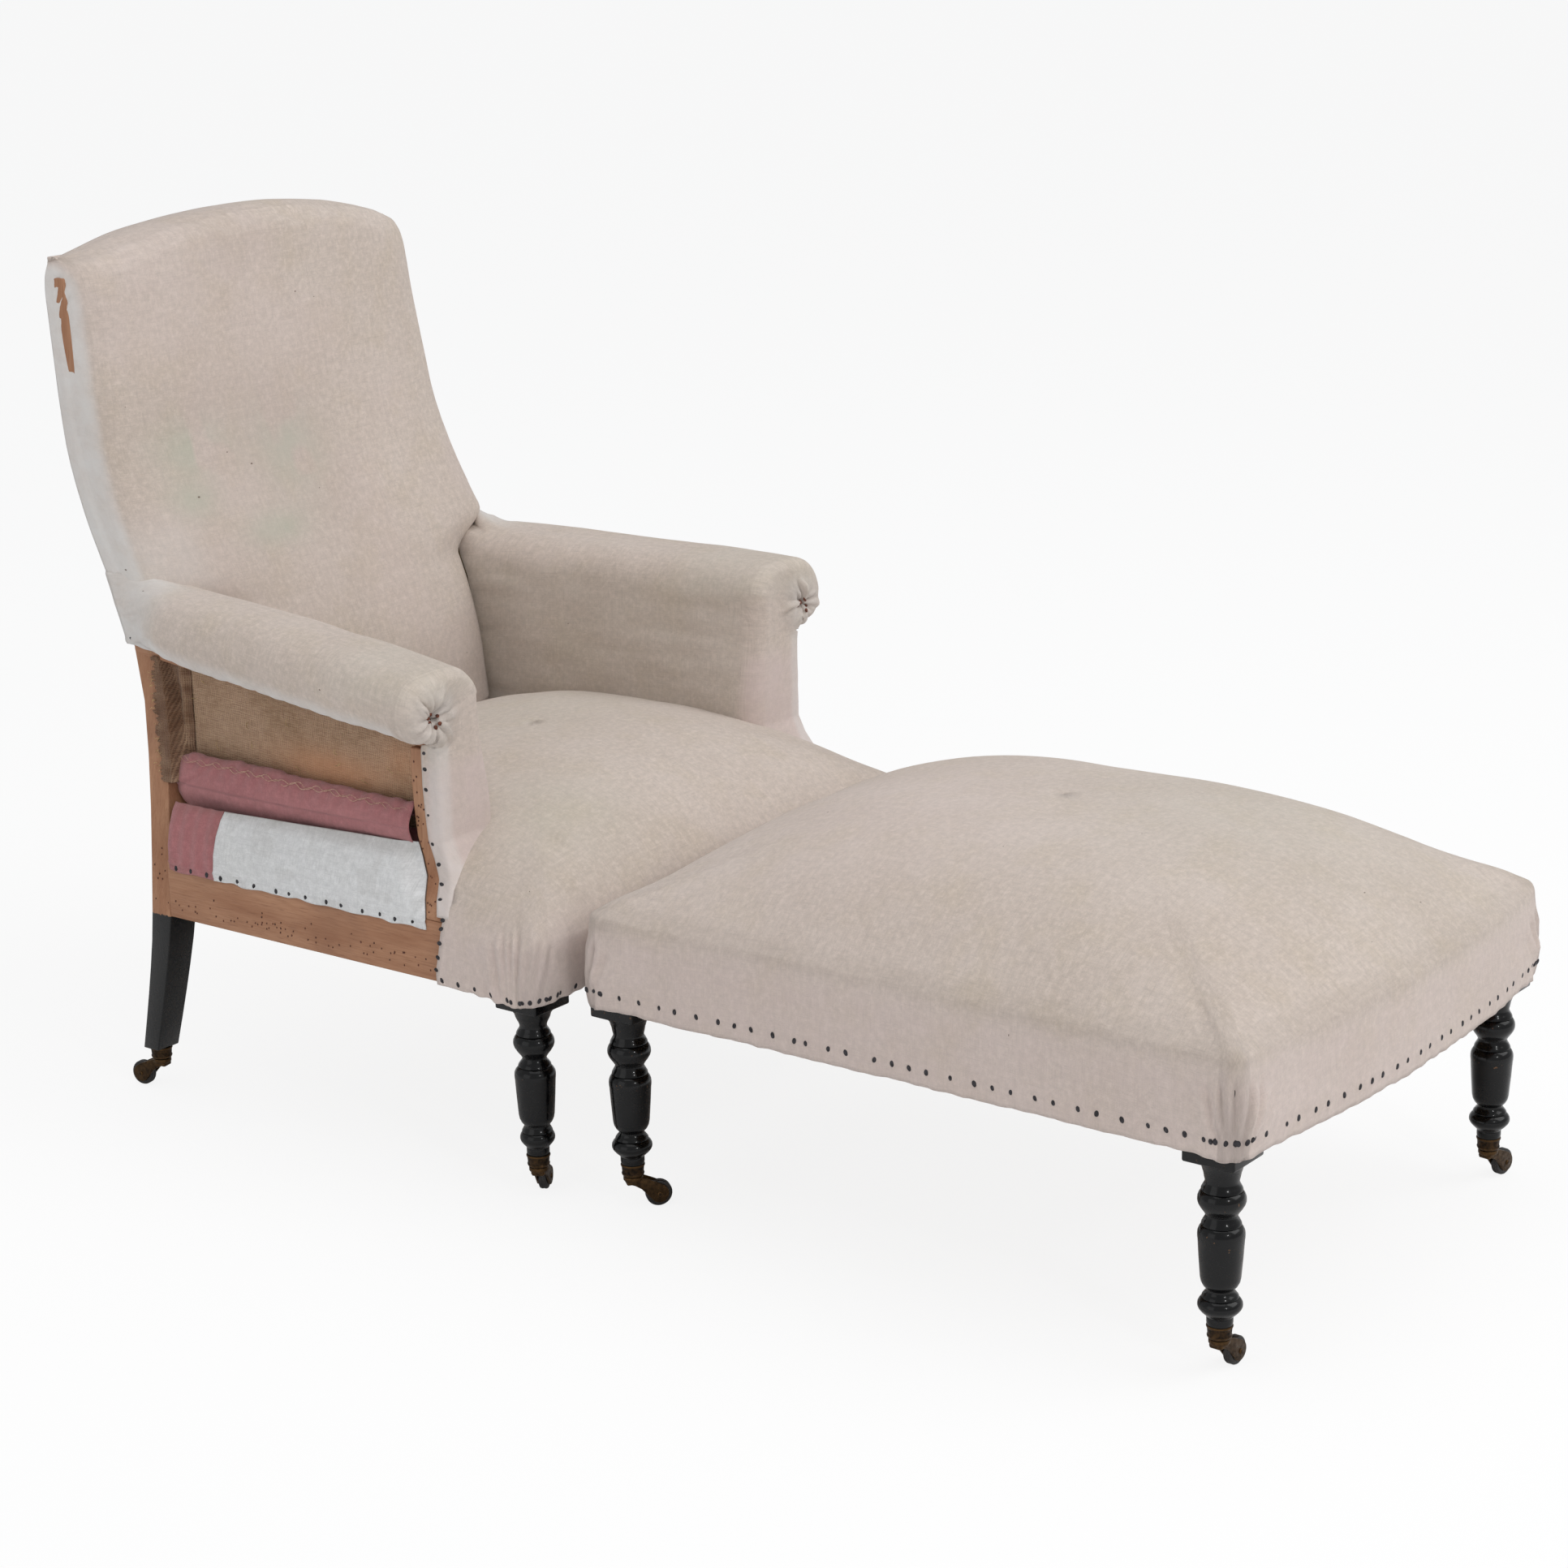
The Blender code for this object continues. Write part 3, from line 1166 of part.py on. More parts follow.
def horn_mesh(material):
    """Swivel plate, two cheeks and the axle, joined, with the swivel axis at x = y = 0."""
    top = HORN_PLATE_BOTTOM + HORN_PLATE_THICKNESS
    horn = loft("horn", [circle((0, 0, z), HORN_PLATE_RADIUS, SOCKET_SIDES)
                         for z in (HORN_PLATE_BOTTOM, top)], material)
    inside = WHEEL_WIDTH / 2 + FORK_GAP
    outside = inside + FORK_THICKNESS
    reach = HORN_PLATE_RADIUS + FORK_EYE_RADIUS / 2
    narrow = outside - FORK_THICKNESS / 4
    bridge = box_rings((0, -narrow, HORN_PLATE_BOTTOM + CLEARANCE), (reach, narrow, top - CLEARANCE))
    combine(horn, loft("bridge", bridge, material), "UNION")
    for side in (-1, 1):
        near, far = sorted((side * inside, side * outside))
        middle = HORN_PLATE_BOTTOM + HORN_PLATE_THICKNESS / 2
        outline = [(FORK_GAP, middle), (FORK_GAP, HORN_PLATE_BOTTOM - CLEARANCE)]
        outline += [(CASTER_TRAIL + FORK_EYE_RADIUS * math.cos(math.radians(a)),
                     WHEEL_RADIUS + FORK_EYE_RADIUS * math.sin(math.radians(a)))
                    for a in (-140, -80, -20, 40)]
        outline.append((reach - FORK_GAP, middle))
        cheek = loft("cheek", [[(x, y, z) for x, z in outline] for y in (near, far)], material)
        combine(horn, cheek, "UNION")
    axle = [[(CASTER_TRAIL + AXLE_RADIUS * math.cos(2 * math.pi * i / AXLE_SIDES), y,
              WHEEL_RADIUS + AXLE_RADIUS * math.sin(2 * math.pi * i / AXLE_SIDES))
             for i in range(AXLE_SIDES)] for y in (-outside - FORK_GAP, outside + FORK_GAP)]
    combine(horn, loft("axle", axle, material), "UNION")
    bore = [circle((0, 0, z), PIN_RADIUS + CLEARANCE, SOCKET_SIDES)
            for z in (HORN_PLATE_BOTTOM - OVERRUN, top + OVERRUN)]
    cut(horn, loft("pin_bore", bore, None))
    merge_flats(horn)
    mesh = horn.data
    bpy.data.objects.remove(horn)
    return mesh


def wheel_mesh(material):
    """Wheel on its own Y axis, with one facet flat on the floor."""
    half = WHEEL_WIDTH / 2
    corner = WHEEL_RADIUS / math.cos(math.pi / WHEEL_SIDES)
    profile = ((WHEEL_BORE, -half), (corner - WHEEL_EDGE, -half), (corner, -half + WHEEL_EDGE),
               (corner, half - WHEEL_EDGE), (corner - WHEEL_EDGE, half), (WHEEL_BORE, half))
    bm = bmesh.new()
    rows = []
    for radius, y in profile:
        row = []
        for i in range(WHEEL_SIDES):
            angle = 2 * math.pi * (i + 0.5) / WHEEL_SIDES - math.pi / 2
            row.append(bm.verts.new((radius * math.cos(angle), y, radius * math.sin(angle))))
        rows.append(row)
    for k, row in enumerate(rows):
        following = rows[(k + 1) % len(rows)]
        for i in range(WHEEL_SIDES):
            j = (i + 1) % WHEEL_SIDES
            bm.faces.new((row[i], row[j], following[j], following[i]))
    bmesh.ops.recalc_face_normals(bm, faces=bm.faces)
    wheel = make_object("wheel", bm, material)
    mesh = wheel.data
    bpy.data.objects.remove(wheel)
    return mesh


def caster(name, x, y, heading, horn, wheel):
    """One swivelling horn and its wheel, trailing towards the heading."""
    pivot = bpy.data.objects.new(f"{name}_pivot", None)
    bpy.context.scene.collection.objects.link(pivot)
    pivot.location = (x, y, 0)
    pivot.rotation_euler = (0, 0, math.radians(heading))
    fork = bpy.data.objects.new(f"{name}_horn", horn)
    roller = bpy.data.objects.new(f"{name}_wheel", wheel)
    for item in (fork, roller):
        bpy.context.scene.collection.objects.link(item)
        item.parent = pivot
    roller.location = (CASTER_TRAIL, 0, WHEEL_RADIUS)


def foot_places():
    """Centre of the foot over each caster."""
    half = BLOCK_SIDE / 2
    front, back = STOOL_BACK - STOOL_DEPTH + half, STOOL_BACK - half
    stool_x = STOOL_HALF_WIDTH - half
    rear_x = stile_outer(FOOT_BOTTOM) - stile_width(FOOT_BOTTOM) / 2
    rear_y = stile_back(FOOT_BOTTOM) - stile_depth(FOOT_BOTTOM) / 2
    chair_x = CHAIR_HALF_WIDTH - half
    return {"chair_front_caster_right": (-chair_x, depth(half)),
            "chair_front_caster_left": (chair_x, depth(half)),
            "chair_rear_caster_right": (-rear_x, rear_y),
            "chair_rear_caster_left": (rear_x, rear_y),
            "stool_rear_caster_right": (-stool_x, back),
            "stool_rear_caster_left": (stool_x, back),
            "stool_front_caster_right": (-stool_x, front),
            "stool_front_caster_left": (stool_x, front)}


def casters(brass, wheel_finish):
    """Sockets, horns and wheels under all eight feet."""
    horn, wheel = horn_mesh(brass), wheel_mesh(wheel_finish)
    for name, (x, y) in foot_places().items():
        loft(f"{name}_socket", socket_rings(x, y), brass)
        caster(name, x, y, CASTER_HEADINGS[name], horn, wheel)


def seat_insides(webbing, steel):
    """Webbing and springs of the chair seat and of the stool."""
    front, back = depth(0), depth(CHAIR_DEPTH)
    strap_grid("seat_webbing", CHAIR_HALF_WIDTH, front, back, SEAT_WEBS_CROSS, SEAT_WEBS_LONG,
               SEAT_WEB_REACH, webbing)
    middle = (front + back) / 2
    reach = SPRING_REACH
    corners = [(i * reach, middle + j * reach) for i, j in ((-1, -1), (1, 1), (-1, 1), (1, -1))]
    centre = (0, middle)
    cords = [(corners[0], centre, corners[1]), (corners[2], centre, corners[3])]
    plan = (CHAIR_HALF_WIDTH, front, back, WELL_RISE)
    springs("seat_springs", [centre, *corners], cords, lambda x, y: well_height(x, y, *plan), steel)

    front, back = STOOL_BACK - STOOL_DEPTH, STOOL_BACK
    strap_grid("stool_webbing", STOOL_HALF_WIDTH, front, back, STOOL_WEBS_CROSS, STOOL_WEBS_LONG,
               STOOL_WEB_REACH, webbing)
    middle = (front + back) / 2
    columns = (-STOOL_SPRING_SIDE, STOOL_SPRING_SIDE)
    rows = steps(middle - STOOL_SPRING_REACH, middle + STOOL_SPRING_REACH, 2)
    cords = [[(x, y) for y in rows] for x in columns] + [[(x, y) for x in columns] for y in rows]
    plan = (STOOL_HALF_WIDTH, front, back, STOOL_WELL_RISE)
    springs("stool_springs", [(x, y) for x in columns for y in rows], cords,
            lambda x, y: well_height(x, y, *plan), steel)


def build():
    clear_scene()
    beech = finish("bare beech", srgb(186, 138, 102), 0.55)
    black = finish("ebonised lacquer", srgb(22, 21, 22), 0.22)
    cover = finish("unbleached calico cover", srgb(199, 187, 173), 0.92)
    white = finish("white calico", srgb(212, 214, 211), 0.92)
    hessian = finish("brown hessian", srgb(140, 112, 84), 0.95)
    webbing = finish("jute webbing", srgb(128, 104, 78), 0.95)
    steel = finish("copper-coated spring steel", srgb(120, 96, 80), 0.4, 1.0)
    brass = finish("tarnished brass", srgb(96, 78, 48), 0.42, 1.0)
    wheel = finish("dark caster wheel", srgb(40, 34, 30), 0.45)

    half = BLOCK_SIDE / 2
    for word, side in (("right", -1), ("left", 1)):
        rear_leg(f"chair_rear_leg_{word}", side, beech)
        turned_leg(f"chair_front_leg_{word}", side * (CHAIR_HALF_WIDTH - half), depth(half),
                   CHAIR_TURNING_RADIUS, CHAIR_TURNING_SHARES, black)
        arm_frame(word, side, beech)
        arm_pad(word, side, cover)
    chair_rails(beech)
    back_rails(beech)
    seat_insides(webbing, steel)
    seat_pad(cover)
    back_webbing(webbing)
    back_pad(cover)
    side_linings(white, hessian)
    stool_frame(beech, black)
    stool_pad(cover)
    casters(brass, wheel)


build()
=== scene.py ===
"""Looks of a low armchair with its outer covers off, and of its matching footstool.

The script follows the pair as they are put together: the stage, the beech frames, the turned
legs and casters, then the stuffed covers, the linings, webbing and springs, and the tacks, loose
threads and the painted shade in the creases of the arms last.
"""
import math

import bpy
import numpy as np
from mathutils import Matrix, Vector


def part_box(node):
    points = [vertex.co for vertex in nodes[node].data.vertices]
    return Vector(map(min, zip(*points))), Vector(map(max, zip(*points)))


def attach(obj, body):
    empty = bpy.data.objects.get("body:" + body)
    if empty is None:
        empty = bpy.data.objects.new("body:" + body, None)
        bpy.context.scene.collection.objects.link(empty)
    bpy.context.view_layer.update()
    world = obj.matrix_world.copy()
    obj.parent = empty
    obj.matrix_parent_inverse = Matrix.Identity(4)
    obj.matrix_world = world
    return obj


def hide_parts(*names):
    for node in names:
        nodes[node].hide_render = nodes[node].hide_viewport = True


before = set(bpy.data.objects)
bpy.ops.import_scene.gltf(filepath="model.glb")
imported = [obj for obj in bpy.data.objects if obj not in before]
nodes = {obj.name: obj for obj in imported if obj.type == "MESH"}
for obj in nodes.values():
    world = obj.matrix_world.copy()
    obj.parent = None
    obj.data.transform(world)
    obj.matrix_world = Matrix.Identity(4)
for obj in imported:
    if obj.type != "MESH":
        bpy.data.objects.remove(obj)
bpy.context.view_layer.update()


# Stage: a pale floor and soft daylight from above and from the front of the chair, seen from
# the height of someone standing beside it.

EYE = (-2.81467, -2.15737, 1.38497)
CAMERA_AZIMUTH = math.radians(-52.9288)
CAMERA_ELEVATION = math.radians(15.7553)
CAMERA_ROLL = math.radians(-1.0915)
FOCAL_PIXELS = 4209.27
PHOTO_PIXELS = 1932
SENSOR_MM = 36.0


def linked(name, data):
    """A new object in the scene."""
    made = bpy.data.objects.new(name, data)
    bpy.context.scene.collection.objects.link(made)
    return made


across = Vector((math.cos(CAMERA_AZIMUTH), math.sin(CAMERA_AZIMUTH), 0))
back = Vector((math.sin(CAMERA_AZIMUTH) * math.cos(CAMERA_ELEVATION),
               -math.cos(CAMERA_AZIMUTH) * math.cos(CAMERA_ELEVATION), math.sin(CAMERA_ELEVATION)))
right = across * math.cos(CAMERA_ROLL) + back.cross(across) * math.sin(CAMERA_ROLL)
camera_data = bpy.data.cameras.new("camera")
camera_data.sensor_width = SENSOR_MM
camera_data.lens = FOCAL_PIXELS / PHOTO_PIXELS * SENSOR_MM
camera = linked("camera", camera_data)
camera.matrix_world = Matrix.Translation(EYE) @ Matrix(
    (right, back.cross(right), back)).transposed().to_4x4()
bpy.context.scene.camera = camera
bpy.context.scene.view_settings.view_transform = "Standard"


def shader_of(name):
    """A new material with its node tree and its shader."""
    material = bpy.data.materials.new(name)
    material.use_nodes = True
    return material, material.node_tree, material.node_tree.nodes["Principled BSDF"]


def wire(tree, *pairs):
    for source, target in pairs:
        tree.links.new(source, target)


def deselect():
    bpy.ops.object.select_all(action="DESELECT")


WORLD_LIGHT = 0.56
FLOOR_GLOW = 0.86

world = bpy.data.worlds.new("studio")
bpy.context.scene.world = world
world.use_nodes = True
tree = world.node_tree
seen = tree.nodes.new("ShaderNodeBackground")
seen.inputs["Color"].default_value = (1, 1, 1, 1)
lit = tree.nodes["Background"]
lit.inputs["Color"].default_value = (0.97, 0.985, 1, 1)
lit.inputs["Strength"].default_value = WORLD_LIGHT
rays = tree.nodes.new("ShaderNodeLightPath")
both = tree.nodes.new("ShaderNodeMath")
both.operation = "MAXIMUM"
blend = tree.nodes.new("ShaderNodeMixShader")
wire(tree, (rays.outputs["Is Camera Ray"], both.inputs[0]),
     (rays.outputs["Is Transmission Ray"], both.inputs[1]), (both.outputs[0], blend.inputs[0]),
     (lit.outputs[0], blend.inputs[1]), (seen.outputs[0], blend.inputs[2]),
     (blend.outputs[0], tree.nodes["World Output"].inputs[0]))

material, tree, shader = shader_of("pale floor")
shader.inputs["Base Color"].default_value = (0.94, 0.94, 0.94, 1)
shader.inputs["Roughness"].default_value = 0.9
shader.inputs["Specular IOR Level"].default_value = 0.1
glow = tree.nodes.new("ShaderNodeEmission")
rays = tree.nodes.new("ShaderNodeLightPath")
share = tree.nodes.new("ShaderNodeMath")
share.operation = "MULTIPLY"
share.inputs[1].default_value = FLOOR_GLOW
blend = tree.nodes.new("ShaderNodeMixShader")
wire(tree, (rays.outputs["Is Camera Ray"], share.inputs[0]), (share.outputs[0], blend.inputs[0]),
     (shader.outputs[0], blend.inputs[1]), (glow.outputs[0], blend.inputs[2]),
     (blend.outputs[0], tree.nodes["Material Output"].inputs[0]))
deselect()
bpy.ops.mesh.primitive_plane_add(size=60)
floor = bpy.context.object
floor.name = "floor"
floor.data.materials.append(material)

LAMPS = (("window", (1.6, -3.2, 3.4), 3.2, 74), ("ceiling", (-0.6, -0.4, 4.2), 3.6, 42),
         ("wall", (-3.6, 0.6, 1.3), 2.4, 12), ("glint", (-1.6, -3.6, 2.2), 0.26, 13))
for name, place, size, power in LAMPS:
    lamp_data = bpy.data.lights.new(name, "AREA")
    lamp_data.size = size
    lamp_data.energy = power
    lamp = linked(name, lamp_data)
    lamp.location = place
    lamp.rotation_euler = (Vector(place) - Vector((0, 0, 0.3))).to_track_quat("Z", "Y").to_euler()


# Beech frame: planed rails, stumps and sabre stiles, butted and dowelled. The bare wood is
# reddish tan with fine flecks, softened edges and the holes of tacks long since pulled.

BEECH_EDGE = 0.0016
BLACKENED_BELOW = 0.2255


def linear(red, green, blue):
    """Linear colour of a colour as the eye reads it, from 0 to 255."""
    def channel(value):
        value /= 255
        return value / 12.92 if value <= 0.04045 else ((value + 0.055) / 1.055) ** 2.4
    return channel(red), channel(green), channel(blue), 1.0


class Recipe:
    """A node tree that is written as short lines."""

    def __init__(self, name):
        self.material, self.tree, self.shader = shader_of(name)

    def node(self, kind, **values):
        made = self.tree.nodes.new("ShaderNode" + kind)
        for key, value in values.items():
            if hasattr(made, key):
                setattr(made, key, value)
            else:
                made.inputs[key.replace("_", " ")].default_value = value
        return made

    def link(self, source, target):
        self.tree.links.new(source, target)

    def feed(self, value, socket):
        """Give a socket a number, a colour or what another socket puts out."""
        if isinstance(value, (int, float)):
            socket.default_value = value
        elif isinstance(value, tuple):
            socket.default_value = value[:3] + (1,)
        else:
            self.link(value, socket)

    def mapped(self, kind, socket, scale):
        mapping = self.node("Mapping")
        mapping.inputs["Scale"].default_value = scale
        self.link(self.node(kind).outputs[socket], mapping.inputs["Vector"])
        return mapping.outputs[0]

    def object_place(self, scale=(1, 1, 1)):
        """Object coordinates in metres, stretched by a scale."""
        return self.mapped("TexCoord", "Object", scale)

    def cloth_place(self, scale=(1, 1, 1)):
        """Place on the flat cloth in metres, from the piece's own UV map."""
        return self.mapped("UVMap", 0, scale)

    def noise(self, vector, scale, detail=2.0, roughness=0.5):
        made = self.node("TexNoise", Scale=scale, Detail=detail, Roughness=roughness)
        self.link(vector, made.inputs["Vector"])
        return made.outputs["Fac"]

    def threads(self, vector, axis, pitch, distortion, detail=2.0, detail_scale=1.0):
        """Parallel threads across an axis, one to a pitch."""
        made = self.node("TexWave", wave_type="BANDS", bands_direction=axis, Scale=0.314 / pitch,
                         Distortion=distortion, Detail=detail, Detail_Scale=detail_scale)
        self.link(vector, made.inputs["Vector"])
        return made.outputs["Fac"]

    def ramp(self, source, low, high, first=0.0, last=1.0):
        """Stretch the part of a value between low and high to first and last."""
        made = self.node("MapRange", From_Min=low, From_Max=high, To_Min=first, To_Max=last)
        self.link(source, made.inputs["Value"])
        return made.outputs[0]

    def maths(self, operation, one, two):
        made = self.node("Math", operation=operation)
        for socket, value in zip(made.inputs, (one, two)):
            self.feed(value, socket)
        return made.outputs[0]

    def plus(self, one, two):
        return self.maths("ADD", one, two)

    def times(self, one, two):
        return self.maths("MULTIPLY", one, two)

    def mixed(self, share, one, two):
        """Mix of two colours, given as colours or as sockets."""
        made = self.node("Mix", data_type="RGBA")
        for number, value in ((0, share), (6, one), (7, two)):
            self.feed(value, made.inputs[number])
        return made.outputs[2]

    def layers(self, base, *layers):
        """Lay colours over a base, each up to a share as its value goes from low to high."""
        for source, low, high, share, colour in layers:
            base = self.mixed(self.ramp(source, low, high, 0, share), base, colour)
        return base

    def attribute(self, name):
        return self.node("Attribute", attribute_name=name).outputs["Fac"]

    def finish(self, colour, roughness, height=None, depth=0.001, **values):
        """Link the colour, roughness and height, and set what is the same all over."""
        self.feed(colour, self.shader.inputs["Base Color"])
        self.feed(roughness, self.shader.inputs["Roughness"])
        for key, value in values.items():
            self.shader.inputs[key.replace("_", " ")].default_value = value
        if height is not None:
            bump = self.node("Bump", Distance=depth, Strength=1.0)
            self.link(height, bump.inputs["Height"])
            self.link(bump.outputs[0], self.shader.inputs["Normal"])
        return self.material


def black_lacquer(recipe, wear):
    """Colour, roughness and height of ebonised lacquer, chipped to brown where wear is high."""
    place = recipe.object_place()
    chips = recipe.noise(place, 260, 3)
    rubbed = recipe.ramp(recipe.plus(chips, wear), 0.77, 0.80)
    colour = recipe.layers(linear(5, 5, 6), (recipe.noise(place, 45, 4), 0.45, 0.8, 0.35, linear(15, 14, 13)))
    colour = recipe.mixed(rubbed, colour, linear(104, 72, 46))
    roughness = recipe.ramp(recipe.noise(place, 90, 3), 0.3, 0.7, 0.16, 0.34)
    roughness = recipe.plus(roughness, recipe.times(rubbed, 0.35))
    return colour, roughness, recipe.maths("SUBTRACT", recipe.noise(place, 30, 2), rubbed)


def beech(name, along, blackened=False):
    """Planed beech whose grain runs along X, Y or Z."""
    recipe = Recipe(name)
    fine, coarse = (tuple(share if axis == along else 1.0 for axis in "XYZ") for share in (0.06, 0.15))
    grain = recipe.noise(recipe.object_place(fine), 420, 4, 0.6)
    figure = recipe.noise(recipe.object_place(coarse), 38, 3, 0.55)
    flecks = recipe.noise(recipe.object_place(fine), 900, 1)
    stain = recipe.noise(recipe.object_place(), 11, 4, 0.6)
    colour = recipe.layers(
        linear(174, 129, 98), (figure, 0.35, 0.68, 1, linear(150, 103, 73)),
        (grain, 0.42, 0.70, 0.5, linear(142, 97, 70)), (flecks, 0.60, 0.72, 0.35, linear(112, 72, 50)),
        (stain, 0.50, 0.75, 0.45, linear(126, 86, 64)))
    height = recipe.plus(grain, recipe.times(figure, 0.4))
    roughness = recipe.ramp(grain, 0.3, 0.7, 0.48, 0.66)
    if blackened:
        lacquer, gloss, _ = black_lacquer(recipe, -0.09)
        place = recipe.node("SeparateXYZ")
        recipe.link(recipe.object_place(), place.inputs[0])
        ragged = recipe.ramp(recipe.noise(recipe.object_place(), 160, 2), 0, 1, -0.003, 0.003)
        below = recipe.ramp(recipe.plus(place.outputs["Z"], ragged),
                            BLACKENED_BELOW + 0.0006, BLACKENED_BELOW - 0.0006)
        colour = recipe.mixed(below, colour, lacquer)
        mix = recipe.node("Mix")
        for number, value in ((0, below), (2, roughness), (3, gloss)):
            recipe.link(value, mix.inputs[number])
        roughness = mix.outputs[0]
    return recipe.finish(colour, roughness, height, 0.00022, Specular_IOR_Level=0.42)


def shown(piece, body, node=None):
    """Say which body a finished piece rides on, and the solid that it stands for."""
    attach(piece, body)
    if node is not None:
        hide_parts(node)
    return piece


def edit(piece=None):
    """Edit all of a piece, or of the one just made."""
    if piece is not None:
        deselect()
        piece.select_set(True)
        bpy.context.view_layer.objects.active = piece
    bpy.ops.object.mode_set(mode="EDIT")
    bpy.ops.mesh.select_all(action="SELECT")


def leave():
    bpy.ops.object.mode_set(mode="OBJECT")
    return bpy.context.object


def softened(node, body, material):
    """A copy of a planed piece with its sharp edges eased, which stands for the piece."""
    copy = linked(node + "_planed", nodes[node].data.copy())
    copy.matrix_basis = nodes[node].matrix_basis
    edit(copy)
    bpy.ops.mesh.remove_doubles(threshold=0.00002)
    bpy.ops.mesh.tris_convert_to_quads()
    leave()
    bevel = copy.modifiers.new("eased edge", "BEVEL")
    bevel.width = BEECH_EDGE
    bevel.segments = 3
    bevel.angle_limit = math.radians(38)
    bevel.limit_method = "ANGLE"
    bpy.ops.object.modifier_apply(modifier=bevel.name)
    bpy.ops.object.shade_smooth_by_angle(angle=math.radians(40))
    copy.data.materials.clear()
    copy.data.materials.append(material)
    shown(copy, body, node)


along_x, along_y, along_z = (beech("beech along " + axis, axis) for axis in "XYZ")
stile_wood = beech("beech above, ebonised below", "Z", blackened=True)
for body in ("chair", "stool"):
    for word in ("right", "left"):
        softened(f"{body}_side_rail_{word}", body, along_y)
    for word in ("front", "rear"):
        softened(f"{body}_{word}_rail", body, along_x)
for node in ("back_crest_rail", "back_lower_rail"):
    softened(node, "chair", along_x)
for word in ("right", "left"):
    softened(f"arm_rail_{word}", "chair", along_y)
    softened(f"arm_stump_{word}", "chair", along_z)
    softened(f"chair_rear_leg_{word}", "chair", stile_wood)


# Turned legs: ebonised hardwood, each turned in one piece below the square block that the rails
# meet. A narrow neck, a ball with a quirk cut above it, a tapered vase and a ring above the foot.

TURNING_SIDES = 56
LEG_TOP = 0.2140
FOOT_BOTTOM = 0.0498
BLOCK_HALF = 0.0275
QUIRK = 0.0008
STOOL_TURNING = {
    "ball": (0.1920, 0.1735, 0.1586, 0.0158, 0.0225, 0.0149),
    "vase": (0.1586, 0.1395, 0.0850, 0.0149, 0.0220, 0.0131),
    "ring": (0.0850, 0.0696, 0.0575, 0.0131, 0.0210, 0.0121),
    "ankle": 0.0125,
}
CHAIR_TURNING = {
    "ball": (0.1923, 0.1738, 0.1571, 0.0142, 0.0215, 0.0125),
    "vase": (0.1571, 0.1385, 0.0822, 0.0125, 0.0215, 0.0135),
    "ring": (0.0822, 0.0682, 0.0575, 0.0135, 0.0183, 0.0118),
    "ankle": 0.0120,
}


def swelling(top, widest, bottom, neck, radius, foot, tapered=False):
    """Heights and radii down one turned swelling, with a bead and a quirk on its upper side."""
    line = []
    for share, width in ((0.0, 0.0), (0.12, 0.04), (0.28, 0.30), (0.42, 0.50), (0.49, 0.535)):
        line.append((top + (widest - top) * share, neck + (radius - neck) * width))
    groove = top + (widest - top) * 0.53
    line.append((groove, line[-1][1] - QUIRK))
    for share, width in ((0.57, 0.57), (0.72, 0.83), (0.86, 0.965), (1.0, 1.0)):
        line.append((top + (widest - top) * share, neck + (radius - neck) * width))
    if tapered:
        shares = ((0.06, 0.99), (0.10, 0.955), (0.40, 0.84), (0.78, 0.66), (0.86, 0.56),
                  (0.93, 0.34), (0.98, 0.06))
    else:
        shares = ((0.12, 0.985), (0.30, 0.88), (0.55, 0.60), (0.78, 0.27), (0.90, 0.12), (0.93, 0.10))
    for share, width in shares:
        line.append((widest + (bottom - widest) * share, foot + (radius - foot) * width))
    return line


def turning_line(sizes):
    """Radii of a whole leg from the block down to the foot."""
    neck_top, neck = sizes["ball"][0], sizes["ball"][3]
    line = [(LEG_TOP, 0.0245), (LEG_TOP - 0.0030, 0.0232), (LEG_TOP - 0.0075, 0.0195),
            (LEG_TOP - 0.0120, 0.0182), (LEG_TOP - 0.0135, 0.0176), (neck_top + 0.0030, neck + 0.0008)]
    line += swelling(*sizes["ball"]) + swelling(*sizes["vase"], tapered=True)
    line += swelling(*sizes["ring"])
    ankle, foot_top = sizes["ankle"], sizes["ring"][2]
    line += [(foot_top, sizes["ring"][5]), (foot_top - 0.0015, ankle), (FOOT_BOTTOM + 0.0025, ankle),
             (FOOT_BOTTOM, ankle - 0.0006)]
    return line


lacquer = Recipe("ebonised lacquer")
colour, roughness, relief = black_lacquer(lacquer, lacquer.attribute("wear"))
lacquer.finish(colour, roughness, relief, 0.00012, Specular_IOR_Level=0.16, Coat_Weight=0.30,
               Coat_Roughness=0.05)


def turned_disc(line, sides=40, x=0, y=0):
    """A disc extruded through pairs of height and radius, left in edit mode."""
    bpy.ops.mesh.primitive_circle_add(vertices=sides, radius=line[0][1], fill_type="NGON",
                                      location=(x, y, line[0][0]))
    bpy.ops.object.transform_apply(location=True)
    edit()
    for (z, radius), (z_next, radius_next) in zip(line, line[1:]):
        bpy.ops.mesh.extrude_region_move(TRANSFORM_OT_translate={"value": (0, 0, z_next - z)})
        bpy.ops.transform.resize(value=(radius_next / radius, radius_next / radius, 1),
                                 center_override=(x, y, z_next))


